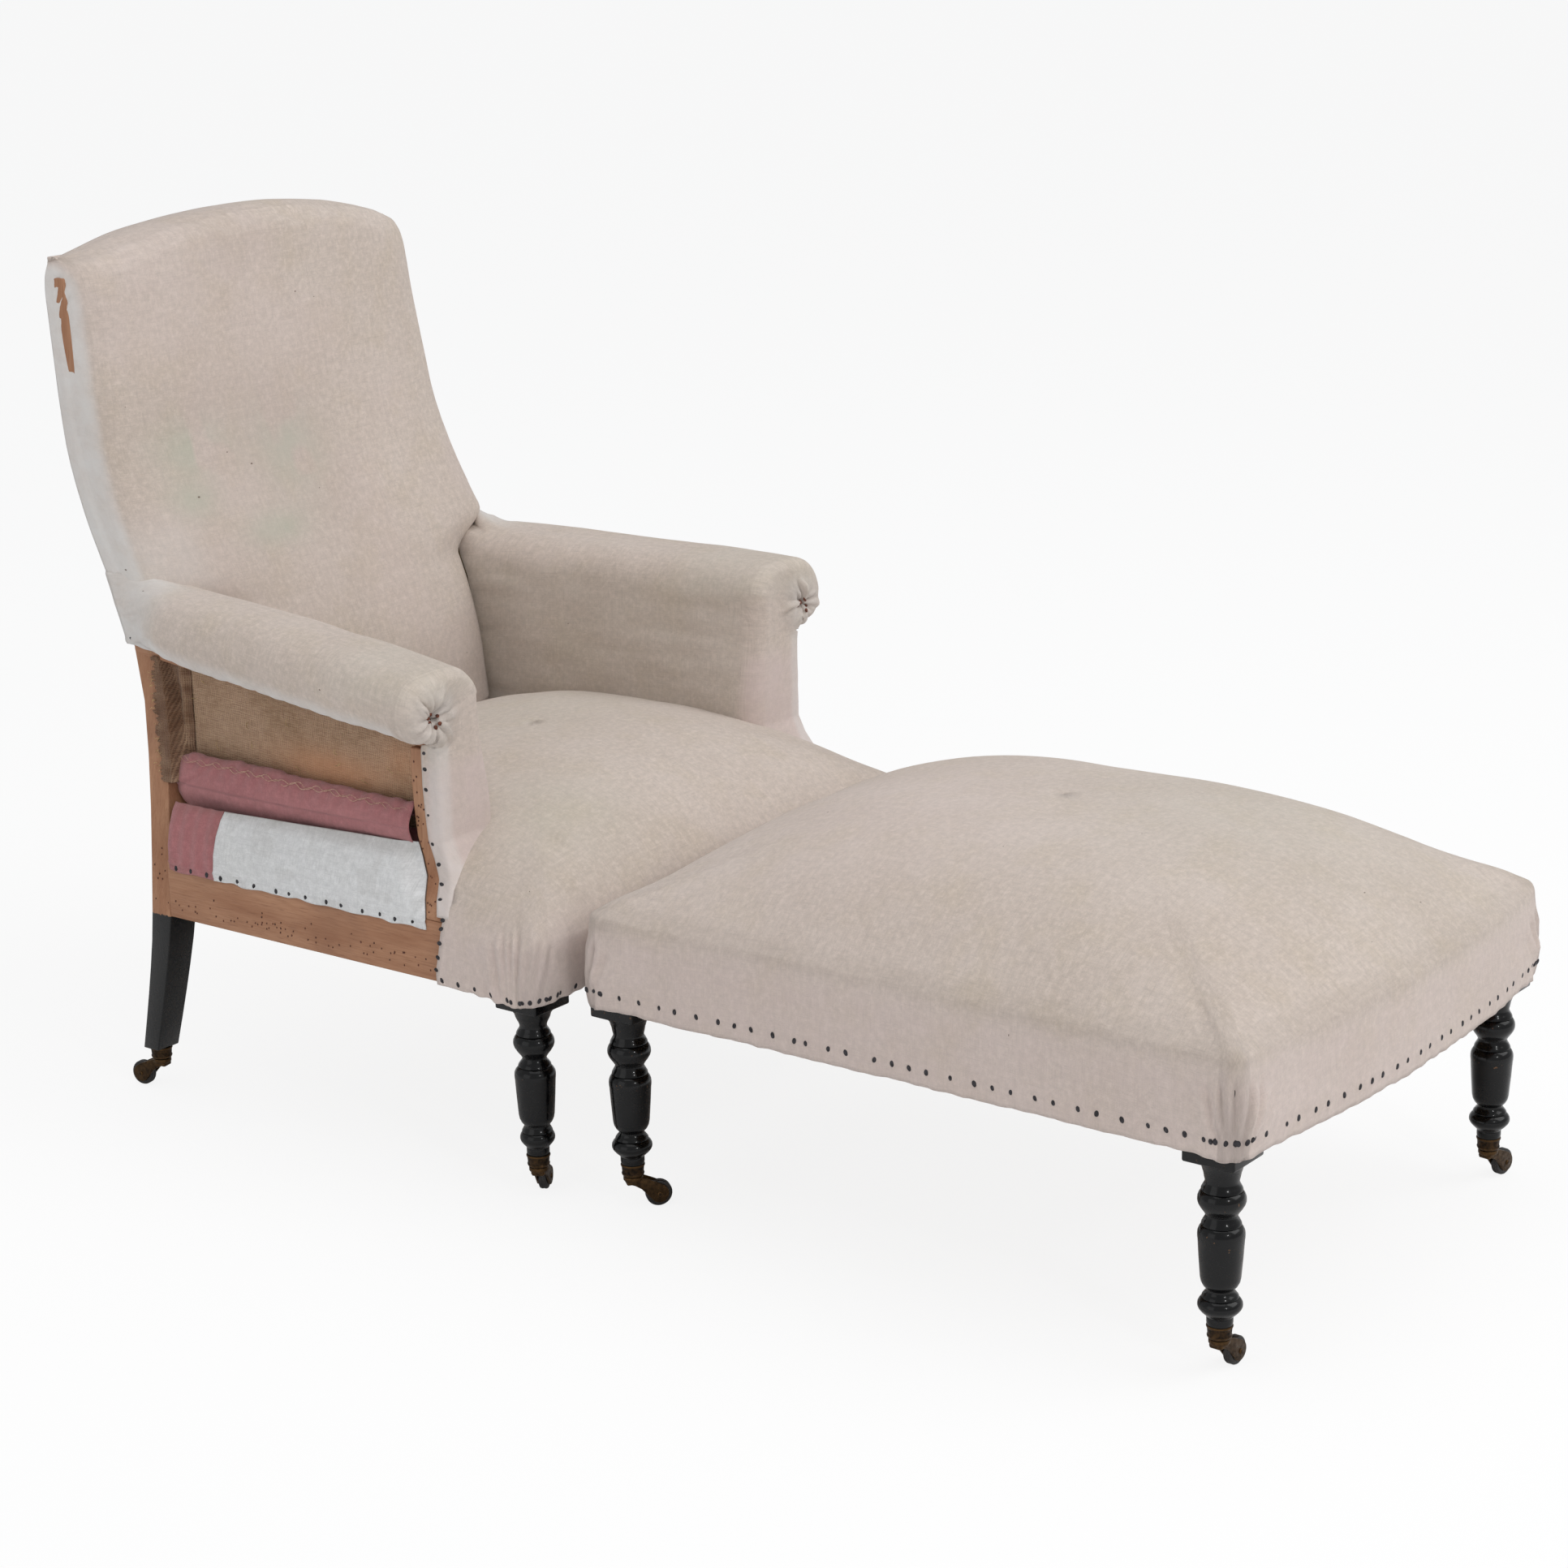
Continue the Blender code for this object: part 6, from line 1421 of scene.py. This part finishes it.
def lining_pieces(word, side):
    """All the linings of one side, built for the near side and mirrored."""
    frame_nodes = [f"arm_rail_{word}_planed", f"arm_stump_{word}_planed", f"chair_rear_leg_{word}_planed"]

    def hang(name, place, cloth, tints, thickness, slot, solid, keep=None, **sheet):
        """Build one sheet of this side and hang it on the chair."""
        x, y, z = place
        points, flat, keep, tints = mirrored(side, np.stack([x, y, z], 2), np.stack([-y, z], 2), keep, tints)
        panel = cloth_piece(f"{name}_{word}", points, flat, cloth, False, keep, tints, thickness)
        shown(panel, "chair", f"{solid}_{word}")
        lining_shapes[name, word] = points if side < 0 else points[:, ::-1]

    # hessian: columns run from the back to the front, rows upwards
    y = np.broadcast_to(np.linspace(0.6050, LINING_START, 120)[None, :], (48, 120))
    share = np.linspace(0, 1, 48)[:, None]
    z = 0.3680 + (0.4638 + ARM_RISE * arm_share(y) - 0.3680) * share
    hollow = 0.0016 * np.sin(math.pi * share) * np.sin(math.pi * (y - LINING_START) / 0.38)
    x = hessian_x(y) + 0.0010 * rumple(y, z, 0.06, 51) - hollow
    tints = {"rosy": 1.1 * spot(y, z, (0.36, 0.412), (0.085, 0.022))
                     + 0.6 * spot(y, z, (0.25, 0.44), (0.03, 0.02)),
             "grime": 0.7 * ease((y - 0.575) / 0.03) + 0.35 * ease((0.41 - z) / 0.02)}
    hang("hessian_panel", (x, y, z), hessian, tints, 0.0009, "brown_hessian", "side_hessian",
         flat=(0.383, 0.105), held="stretched", rests_on=frame_nodes, area=0.0395)

    # frayed strip, folded and stitched over the rear edge of the hessian and on to the stile
    shape = 110, 46
    z = np.broadcast_to(np.linspace(0.372, 0.5065, shape[0])[:, None], shape)
    along_strip = np.broadcast_to(np.linspace(1, 0, shape[1])[None, :], shape)
    ragged = 0.004 * rumple(z, 0 * z, 0.011, 52) + 0.0030 * rumple(z, 0 * z, 0.004, 53)
    y = STRIP_START + (strip_rear(z) + ragged - STRIP_START) * along_strip
    on_wood = ease((y - (stile_back(z) - 0.047)) / 0.008)
    ridge = 0.0052 * bell(along_strip - 0.24, 0.13)
    x = (hessian_x(y) + 0.0012 + ridge) * (1 - on_wood) + (stile_outer(z) + 0.0018) * on_wood
    stitched = np.abs(np.sin(z * math.pi / 0.0075)) * bell(along_strip - 0.46, 0.05)
    x = x + 0.0008 * rumple(y, z, 0.012, 54) - 0.0007 * stitched
    tints = {"grime": 0.75 + 0.25 * rumple(y, z, 0.01, 55) - 0.30 * bell(along_strip - 0.24, 0.10)}
    frayed = (along_strip > 0.90) & (rumple(z, 0 * z, 0.0016, 56) > 0.15 + 2.4 * (0.96 - along_strip))
    hang("hessian_strip", (x, y, z), hessian, tints, 0.0008, "brown_hessian", "side_hessian", ~frayed,
         flat=(0.068, 0.140), held="folded", rests_on=frame_nodes[2], area=0.0088)

    # stuffed roll
    shape = 150, 64
    run = np.linspace(0.0, 1.0, shape[0])
    end = ROLL_END - 0.0325
    y = np.broadcast_to((LINING_START - 0.0018 + (end - LINING_START + 0.0018) * run)[:, None], shape)
    size = np.interp(run, (0, 0.75, 0.93, 0.97, 0.99, 1.0), (1.0, 1.0, 0.96, 0.82, 0.60, 0.20))[:, None]
    angle = np.linspace(0, 2 * math.pi, shape[1], endpoint=False)[None, :]
    up, out = np.sin(angle), np.cos(angle)
    lump = 1 + 0.05 * rumple(y, out * 0.05, 0.05, 57)
    x = hessian_x(y) + ROLL_OFF + size * 0.0130 * lump * out
    sag = 0.0015 * np.sin(math.pi * run)[:, None]
    z = roll_level(y) - sag + size * np.interp(run, *ROLL_HALF_HEIGHTS)[:, None] * lump * up
    z += 0.0035 * ease((up - 0.80) / 0.2) * (0.8 + 0.5 * rumple(y, 0, 0.012, 58))
    x += 0.0008 * np.sin(y * 2 * math.pi / 0.021 + 3 * up) * ease((up - 0.2) / 0.5)
    x += 0.0005 * rumple(y, z * 3, 0.02, 59)
    x += fold(y, z, (end - 0.055, 0.390), (end - 0.006, 0.366), 0.0022, 0.0016) * out
    points = np.stack([side * x, y, z], 2)
    flat = np.stack([-y, np.broadcast_to(angle * 0.021, shape)], 2)
    if side < 0:
        points, flat = points[:, ::-1], flat[:, ::-1]
    tints = {"grime": 0.25 * ease((points[:, :, 2] - 0.394) / 0.01) + 0.2 * (run[:, None] > 0.96)}
    roll = cloth_piece(f"ticking_roll_{word}", points, flat, pink_cotton, True, None, tints, 0.0010)
    shown(roll, "chair", f"side_hessian_{word}")

    # white calico and the pink patch behind it
    for name, low, high, cloth, seed in (
            ("calico_panel", LINING_START - 0.0045, PATCH_START + 0.006, white_calico, 60),
            ("pink_patch", PATCH_START, PATCH_END, pink_cotton, 61)):
        shape = 56, 150 if cloth is white_calico else 50
        y = np.broadcast_to(np.linspace(high, low, shape[1])[None, :], shape)
        bottom = 0.2818 + 0.0011 * rumple(y, 0 * y, 0.012, seed) + 0.0008 * ripple(y, 0.046)
        share = np.linspace(0, 1, shape[0])[:, None]
        z = bottom + (0.3630 - 0.0085 * clamp((y - 0.22) / 0.27) - bottom) * share
        if cloth is white_calico:
            front_end = stump_face(z)[1] + 0.0303
            y = high + (front_end - high) * (high - y) / (high - low)
        x = side_lining(y, np.clip(z, 0.279, 0.361)) + (0.0006 if cloth is white_calico else 0.0012)
        x += 0.0009 * rumple(y, z, 0.05, seed + 5) + 0.0011 * bell(z - bottom - 0.009, 0.0018)
        x += 0.0007 * ripple(y, 0.0255) * ease((0.305 - z) / 0.02) * (z > bottom + 0.004)
        if cloth is pink_cotton:
            x += 0.0008 * np.sin(y * 2 * math.pi / 0.019 + z * 22) * ease((z - 0.285) / 0.01)
            y = y + 0.10 * (z - 0.285)
        # the grime tint along the top, just under the roll, is the roll's painted shadow; the scattered
        # patches are dirt
        tints = {"grime": 0.35 * ease((z - 0.345) / 0.012) + 0.12 * (rumple(y, z, 0.02, seed + 8) > 0.5)}
        hang(name, (x, y, z), cloth, tints, 0.0008, "white_calico", "side_calico",
             flat=(round(high - low, 3), 0.092), held="stretched",
             rests_on=[f"chair_side_rail_{word}_planed"])


for word, side in SIDES:
    lining_pieces(word, side)


# Webbing and springs: jute straps tacked under the rails and laced through each other, and
# coppered coils lashed with cord. They keep their solids' shapes and get their real finish.

jute = Recipe("jute webbing")
place = jute.object_place()
rib = jute.times(jute.plus(*(jute.threads(place, axis, 0.0024, 1.2) for axis in "XY")), 0.5)
base = jute.layers(
    linear(166, 138, 104), (jute.noise(place, 22, 4, 0.6), 0.35, 0.68, 1, linear(134, 106, 76)),
    (rib, 0.42, 0.15, 0.6, linear(82, 60, 42)))
webbing = jute.finish(base, 0.93, rib, 0.0006, Specular_IOR_Level=0.15, Sheen_Weight=0.1)

coil = Recipe("coppered spring steel")
place = coil.object_place()
rust = coil.ramp(coil.noise(place, 75, 4, 0.65), 0.48, 0.66)
base = coil.mixed(rust, linear(150, 104, 76), linear(92, 52, 34))
steel = coil.finish(base, coil.ramp(rust, 0, 1, 0.34, 0.78), coil.noise(place, 400, 3), 0.0001, Metallic=0.8)
for name, material in (("seat_webbing", webbing), ("stool_webbing", webbing), ("back_webbing", webbing),
                       ("seat_springs", steel), ("stool_springs", steel)):
    for held in nodes[name].material_slots:
        held.material = material


# Tacks: cut tacks of blued iron with small domed oval heads, driven through every hem. Rust-brown
# ones hold the gathers of the rolls, and pulled ones have left holes in the bare wood.

TACK_LONG, TACK_SHORT, TACK_HIGH, TACK_SUNK = 0.0031, 0.0023, 0.0013, 0.0004
TACK_SPACING = 0.0235


def iron_finish(name, first, second, metallic):
    recipe = Recipe(name)
    place = recipe.object_place()
    worn = recipe.ramp(recipe.noise(place, 420, 3, 0.6), 0.40, 0.66)
    return recipe.finish(recipe.mixed(worn, first, second), recipe.ramp(worn, 0, 1, 0.42, 0.68),
                         recipe.noise(place, 1400, 2), 0.00008, Metallic=metallic, Specular_IOR_Level=0.4)


blued_iron = iron_finish("blued tack iron", linear(58, 56, 60), linear(34, 31, 32), 0.35)
rusty_iron = iron_finish("rusted tack iron", linear(112, 56, 34), linear(62, 34, 24), 0.2)
pulled_hole = iron_finish("pulled tack hole", linear(96, 50, 30), linear(52, 30, 20), 0.0)

deselect()
bpy.ops.mesh.primitive_circle_add(vertices=10, radius=1, fill_type="NGON")
tack = bpy.context.object
edit()
for rise, shrink in ((0.45, 0.97), (0.35, 0.78), (0.20, 0.50)):
    bpy.ops.mesh.extrude_region_move(TRANSFORM_OT_translate={"value": (0, 0, rise)})
    bpy.ops.transform.resize(value=(shrink, shrink, 1), center_override=(0, 0, 0))
leave()
TACK_POINTS = np.array([tuple(point.co) for point in tack.data.vertices])
TACK_FACES = [tuple(face.vertices) for face in tack.data.polygons]
bpy.data.objects.remove(tack, do_unlink=True)


def tacks(name, places, normals, runs, material=blued_iron, size=1.0, body="chair", slot="spring_steel"):
    """One piece of many tacks, each upright on the cloth and long across its hem.

    Normals and runs are given for each tack, or one for all."""
    random_turn = np.random.default_rng(len(name) * 7 + len(places))
    normals, runs = (np.broadcast_to(np.asarray(given, float), (len(places), 3)) for given in (normals, runs))
    corners, faces = [], []
    for place, normal, run in zip(places, normals, runs):
        normal = normal / np.linalg.norm(normal)
        run = run - normal * np.dot(run, normal)
        run = run / np.linalg.norm(run)
        turn = random_turn.uniform(-0.5, 0.5) + math.pi / 2
        side = np.cross(normal, run)
        run, side = run * math.cos(turn) + side * math.sin(turn), side * math.cos(turn) - run * math.sin(turn)
        grown = size * random_turn.uniform(0.88, 1.12)
        shape = (TACK_POINTS[:, :1] * run * TACK_LONG + TACK_POINTS[:, 1:2] * side * TACK_SHORT
                 + (TACK_POINTS[:, 2:] * TACK_HIGH - TACK_SUNK) * normal) * grown + place
        faces += [tuple(index + len(corners) * len(TACK_POINTS) for index in face) for face in TACK_FACES]
        corners.append(shape)
    shown(new_piece(name, np.concatenate(corners), faces, material), body)


def spaced(line, spacing, seed, first=0.5):
    """Indices along a line of points, about one to a spacing and a little uneven."""
    run = run_of(line)
    rng = np.random.default_rng(seed)
    count = max(int(run[-1] / spacing), 1)
    goals = (np.arange(count) + first + rng.uniform(-0.16, 0.16, count)) * run[-1] / count
    return np.searchsorted(run, goals).clip(1, len(line) - 2)


def along_grid(grid, wrap, spots):
    """Places, normals and directions of cells (row, column) of a piece's grid."""
    facing = outward(grid, wrap)
    rows, columns = np.array([spot[0] for spot in spots]), np.array([spot[1] for spot in spots])
    step = grid[rows, (columns + 1) % grid.shape[1]] - grid[rows, columns - 1]
    return grid[rows, columns], facing[rows, columns], step


def hem_spots(grid, row, spacing, seed, keep, extra=()):
    """Tacks along one row of a closed cover, closer where an extra place is near."""
    line = grid[row]
    chosen = [index for index in spaced(np.concatenate([line, line[:1]]), spacing, seed)
              if keep(*line[index % len(line)])]
    for x, y, offs in extra:
        nearest = int(np.argmin(np.hypot(line[:, 0] - x, line[:, 1] - y)))
        run = np.cumsum(np.linalg.norm(np.diff(line, axis=0, prepend=line[:1]), axis=1))
        for off in offs:
            chosen.append(int(np.argmin(np.abs(run - run[nearest] - off))))
    return [(row, index % len(line)) for index in sorted(set(chosen))]


# seat: hem of the front and sides, then the upright rear edges of the side flaps
corner_offs = (-0.030, -0.017, -0.006, 0.005, 0.015, 0.027)
spots = hem_spots(seat, 3, TACK_SPACING, 70, lambda x, y, z: y < 0.155 and z < 0.25,
                  ((-0.345, 0.031, corner_offs), (0.345, 0.031, corner_offs)))
tacks("seat_hem_tacks", *along_grid(seat, True, spots))
lower_points, lower_facing = (grid[:24].reshape(-1, 3) for grid in (seat, outward(seat, True)))
for word, side in SIDES:
    spots = []
    for z in (0.2440, 0.2590, 0.2735, 0.2880, 0.3005):
        goal = np.array([side * 0.352, 0.167 - (z - 0.235) * 0.132 - 0.0055, z])
        spots.append(int(np.argmin(np.linalg.norm(lower_points - goal, axis=1))))
    tacks(f"seat_edge_tacks_{word}", lower_points[spots], lower_facing[spots], (0, 0, 1))

# stool: all round under the border
corners = [(x, y, corner_offs) for x in (-0.311, 0.311) for y in (-0.760, -0.007)]
spots = hem_spots(stool, 3, TACK_SPACING, 71, lambda x, y, z: True, corners)
tacks("stool_hem_tacks", *along_grid(stool, True, spots), body="stool")

for word, side in SIDES:
    # arms: under the roll, up the front edge of each facing, and in the heart of the gathers
    grid = arm_shapes[word]
    facing = outward(grid, False) * -side
    rows = spaced(grid[:ARM_SECTIONS, 12], TACK_SPACING * 0.98, 72, 0.3)
    spots = []
    for row in rows:
        lowest = int(np.argmin(grid[row, :60, 2]))
        above = grid[row, lowest:75, 2] > grid[row, lowest, 2] + 0.006
        spots.append((row, lowest + int(np.argmax(above))))
    tacks(f"arm_hem_tacks_{word}", [grid[spot] for spot in spots],
          [facing[spot] * np.sign(facing[spot][0] * side) for spot in spots], (0, 1, 0))
    places = []
    for z in (0.4615, 0.4440, 0.4220, 0.3950, 0.3640, 0.3440, 0.3260, 0.3130):
        outer, front = stump_face(z)
        places.append(np.array([side * (outer + 0.0022), front + FACING_WRAP - 0.0045, z]))
    tacks(f"facing_tacks_{word}", places, (side, -0.12, 0.05), (0, 0, 1))
    heart = grid[ARM_SECTIONS:].reshape(-1, 3)
    places = []
    for off_x, off_z in ((-0.0075, 0.0025), (-0.0015, 0.0055), (0.0050, 0.0030), (-0.0045, -0.0030),
                         (0.0015, -0.0010), (0.0065, -0.0040), (0.0010, -0.0085)):
        off = np.hypot(heart[:, 0] - side * ROLL_CENTRE[0] - off_x, heart[:, 2] - ROLL_CENTRE[1] - off_z)
        places.append(heart[int(np.argmin(off))] + (0, -0.0028, 0))
    tacks(f"gather_tacks_{word}", places, (0, -1, 0.1), (0.5, 0, 1), rusty_iron, 0.95)
    # linings: calico and patch along the side rail
    for name, spacing in (("calico_panel", 0.0262), ("pink_patch", 0.0230)):
        grid = lining_shapes[name, word]
        tacks(f"{name}_tacks_{word}", grid[3, spaced(grid[3], spacing, 73, 0.4)], (side, 0, 0), (0, 1, 0))
    # holes of pulled tacks in the rail's lower half, the stump and the foot of the stile
    rng = np.random.default_rng(74)
    holes = [(0.3432, rng.uniform(0.175, 0.565), 0.2352 + abs(rng.normal(0, 0.010))) for _ in range(64)]
    for _ in range(26):
        z = rng.uniform(0.297, 0.455)
        outer, front = stump_face(z)
        holes.append((outer + 0.0002, front + rng.uniform(0.0165, 0.0285), z))
    holes += [(stile_outer(z) + 0.0003, stile_back(z) - rng.uniform(0.006, 0.030), z)
              for z in rng.uniform(0.235, 0.30, 9)]
    tacks(f"tack_holes_{word}", [np.array([side * x, y, z]) for x, y, z in holes], (side, 0, 0), (0, 1, 0.2),
          pulled_hole, 0.38, slot="bare_beech")

# back: the rear hems on the stiles and along the crest
places = [back_points[row, column] for column in (5, -6)
          for row in spaced(back_points[:128, column], 0.0285, 75)]
places += list(back_points[-4, spaced(back_points[-4, 30:-30], 0.0285, 76) + 30])
tacks("back_hem_tacks", places, (0, 1, 0.1), (0, 0, 1))


# Loose ends: straws that have worked through the hessian, frayed threads of the strip, and the
# pale thread that was whipped along the top of each ticking roll.

STRAWS = ((0.482, 0.440), (0.478, 0.417), (0.345, 0.432), (0.352, 0.420), (0.262, 0.424), (0.405, 0.404),
          (0.416, 0.452), (0.530, 0.408), (0.300, 0.405), (0.245, 0.396), (0.556, 0.484), (0.560, 0.462))


def mottled(name, scale, detail, first, second, roughness, specular):
    """Two colours in uneven spots."""
    recipe = Recipe(name)
    spots = recipe.noise(recipe.object_place(), scale, detail)
    return recipe.finish(recipe.layers(first, (spots, 0.4, 0.65, 1, second)), roughness,
                         Specular_IOR_Level=specular)


straw_finish = mottled("dry straw", 300, 2, linear(196, 168, 120), linear(128, 98, 62), 0.75, 0.3)
thread_finish = mottled("whipping thread", 500, 2, linear(212, 178, 158), linear(168, 128, 112), 0.9, 0.15)


def strands(name, lines, radii, material):
    """One piece of thin round strands, each along its own line of points."""
    corners, faces = [], []
    for line, radius in zip(lines, radii):
        line = np.asarray(line)
        way = np.gradient(line, axis=0)
        way /= np.linalg.norm(way, axis=1, keepdims=True)
        first = np.cross(way, np.array([0.3, 0.2, 0.93]))
        first /= np.linalg.norm(first, axis=1, keepdims=True)
        second = np.cross(way, first)
        base = sum(len(part) for part in corners)
        taper = np.sin(np.linspace(0.25, math.pi - 0.25, len(line)))[:, None] ** 0.5 * radius
        for turn in range(5):
            angle = 2 * math.pi * turn / 5
            corners.append(line + taper * (first * math.cos(angle) + second * math.sin(angle)))
        count = len(line)
        starts = [base + turn * count for turn in range(5)]
        for here, after in zip(starts, starts[1:] + starts[:1]):
            faces += [(here + i, here + i + 1, after + i + 1, after + i) for i in range(count - 1)]
        faces += [tuple(starts), tuple(start + count - 1 for start in reversed(starts))]
    piece = new_piece(name, np.concatenate(corners), faces, material)
    edit(piece)
    bpy.ops.mesh.normals_make_consistent(inside=False)
    leave()
    shown(piece, "chair")


for word, side in SIDES:
    rng = np.random.default_rng(81)
    lines, radii = [], []
    for y, z in STRAWS:
        length, heading, curl = rng.uniform(0.008, 0.015), rng.uniform(0, math.pi), rng.uniform(-2.2, 2.2)
        run = np.linspace(0, 1, 9)
        angle = heading + curl * run
        path_y = y + np.cumsum(np.cos(angle)) * length / 9
        path_z = z + np.cumsum(np.sin(angle)) * length / 9
        proud = 0.0018 + 0.0012 * np.sin(math.pi * run)
        lines.append(np.column_stack([side * (hessian_x(path_y) + proud), path_y, path_z]))
        radii.append(rng.uniform(0.00028, 0.00048))
    for number in range(22):
        z = rng.uniform(0.378, 0.512)
        y = strip_rear(z) - rng.uniform(0.000, 0.006)
        run = np.linspace(0, 1, 8)
        reach, drop = rng.uniform(0.004, 0.010), rng.uniform(-0.006, 0.004)
        x = stile_outer(z) + 0.0022 + 0.0010 * np.sin(math.pi * run)
        wave = 0.0006 * np.sin(9 * run + number)
        lines.append(np.column_stack([side * x, y + reach * run, z + drop * run ** 2 + wave]))
        radii.append(0.00026)
    strands(f"straws_{word}", lines, radii, straw_finish)
    run = np.linspace(0, 1, 260)
    lines = []
    for phase, lift in ((0.0, 0.0), (2.1, 0.0022)):
        y = LINING_START + 0.003 + (ROLL_END - 0.045 - LINING_START) * run
        wander = 0.0020 * np.sin(y * 2 * math.pi / 0.026 + phase) + 0.0015 * rumple(y, 0 * y, 0.02, 82)
        lines.append(np.column_stack([
            side * (hessian_x(y) + ROLL_OFF + 0.0092 - 0.4 * wander), y,
            roll_level(y) + np.interp(run, *ROLL_HALF_HEIGHTS) * 0.80 + lift + wander]))
    strands(f"whipping_{word}", lines, (0.00042, 0.00036), thread_finish)


# Crease shade: where the inner arms meet the back, the covers are pulled into a deep crease, and a dark
# strand laid along it is painted shade.

crease_shade_finish = mottled("shaded seam", 120, 3, linear(78, 66, 48), linear(52, 42, 32), 0.95, 0.1)
crease_shade_z = np.linspace(0.352, 0.560, 40)
for word, side in SIDES:
    line = []
    for z in crease_shade_z:
        outline = back_outline(z)
        outline = outline[outline[:, 0] > 0.12]
        behind = float(stile_back(z)) + outline[:, 1]
        inner_arm = [np.interp(z, profile[::-1, 1], profile[::-1, 0]) for profile in
                     (arm_section(arm_share(y), side)[0][90:] for y in behind)]
        meet = int(np.argmax(outline[:, 0] > np.array(inner_arm)))
        line.append((side * (outline[meet, 0] - 0.0012), behind[meet] - 0.0014, z))
    line = np.array(line)
    for _ in range(6):
        line[1:-1] = (line[:-2] + 2 * line[1:-1] + line[2:]) / 4
    strands(f"arm_crease_shade_{word}", [line], [0.0024], crease_shade_finish)
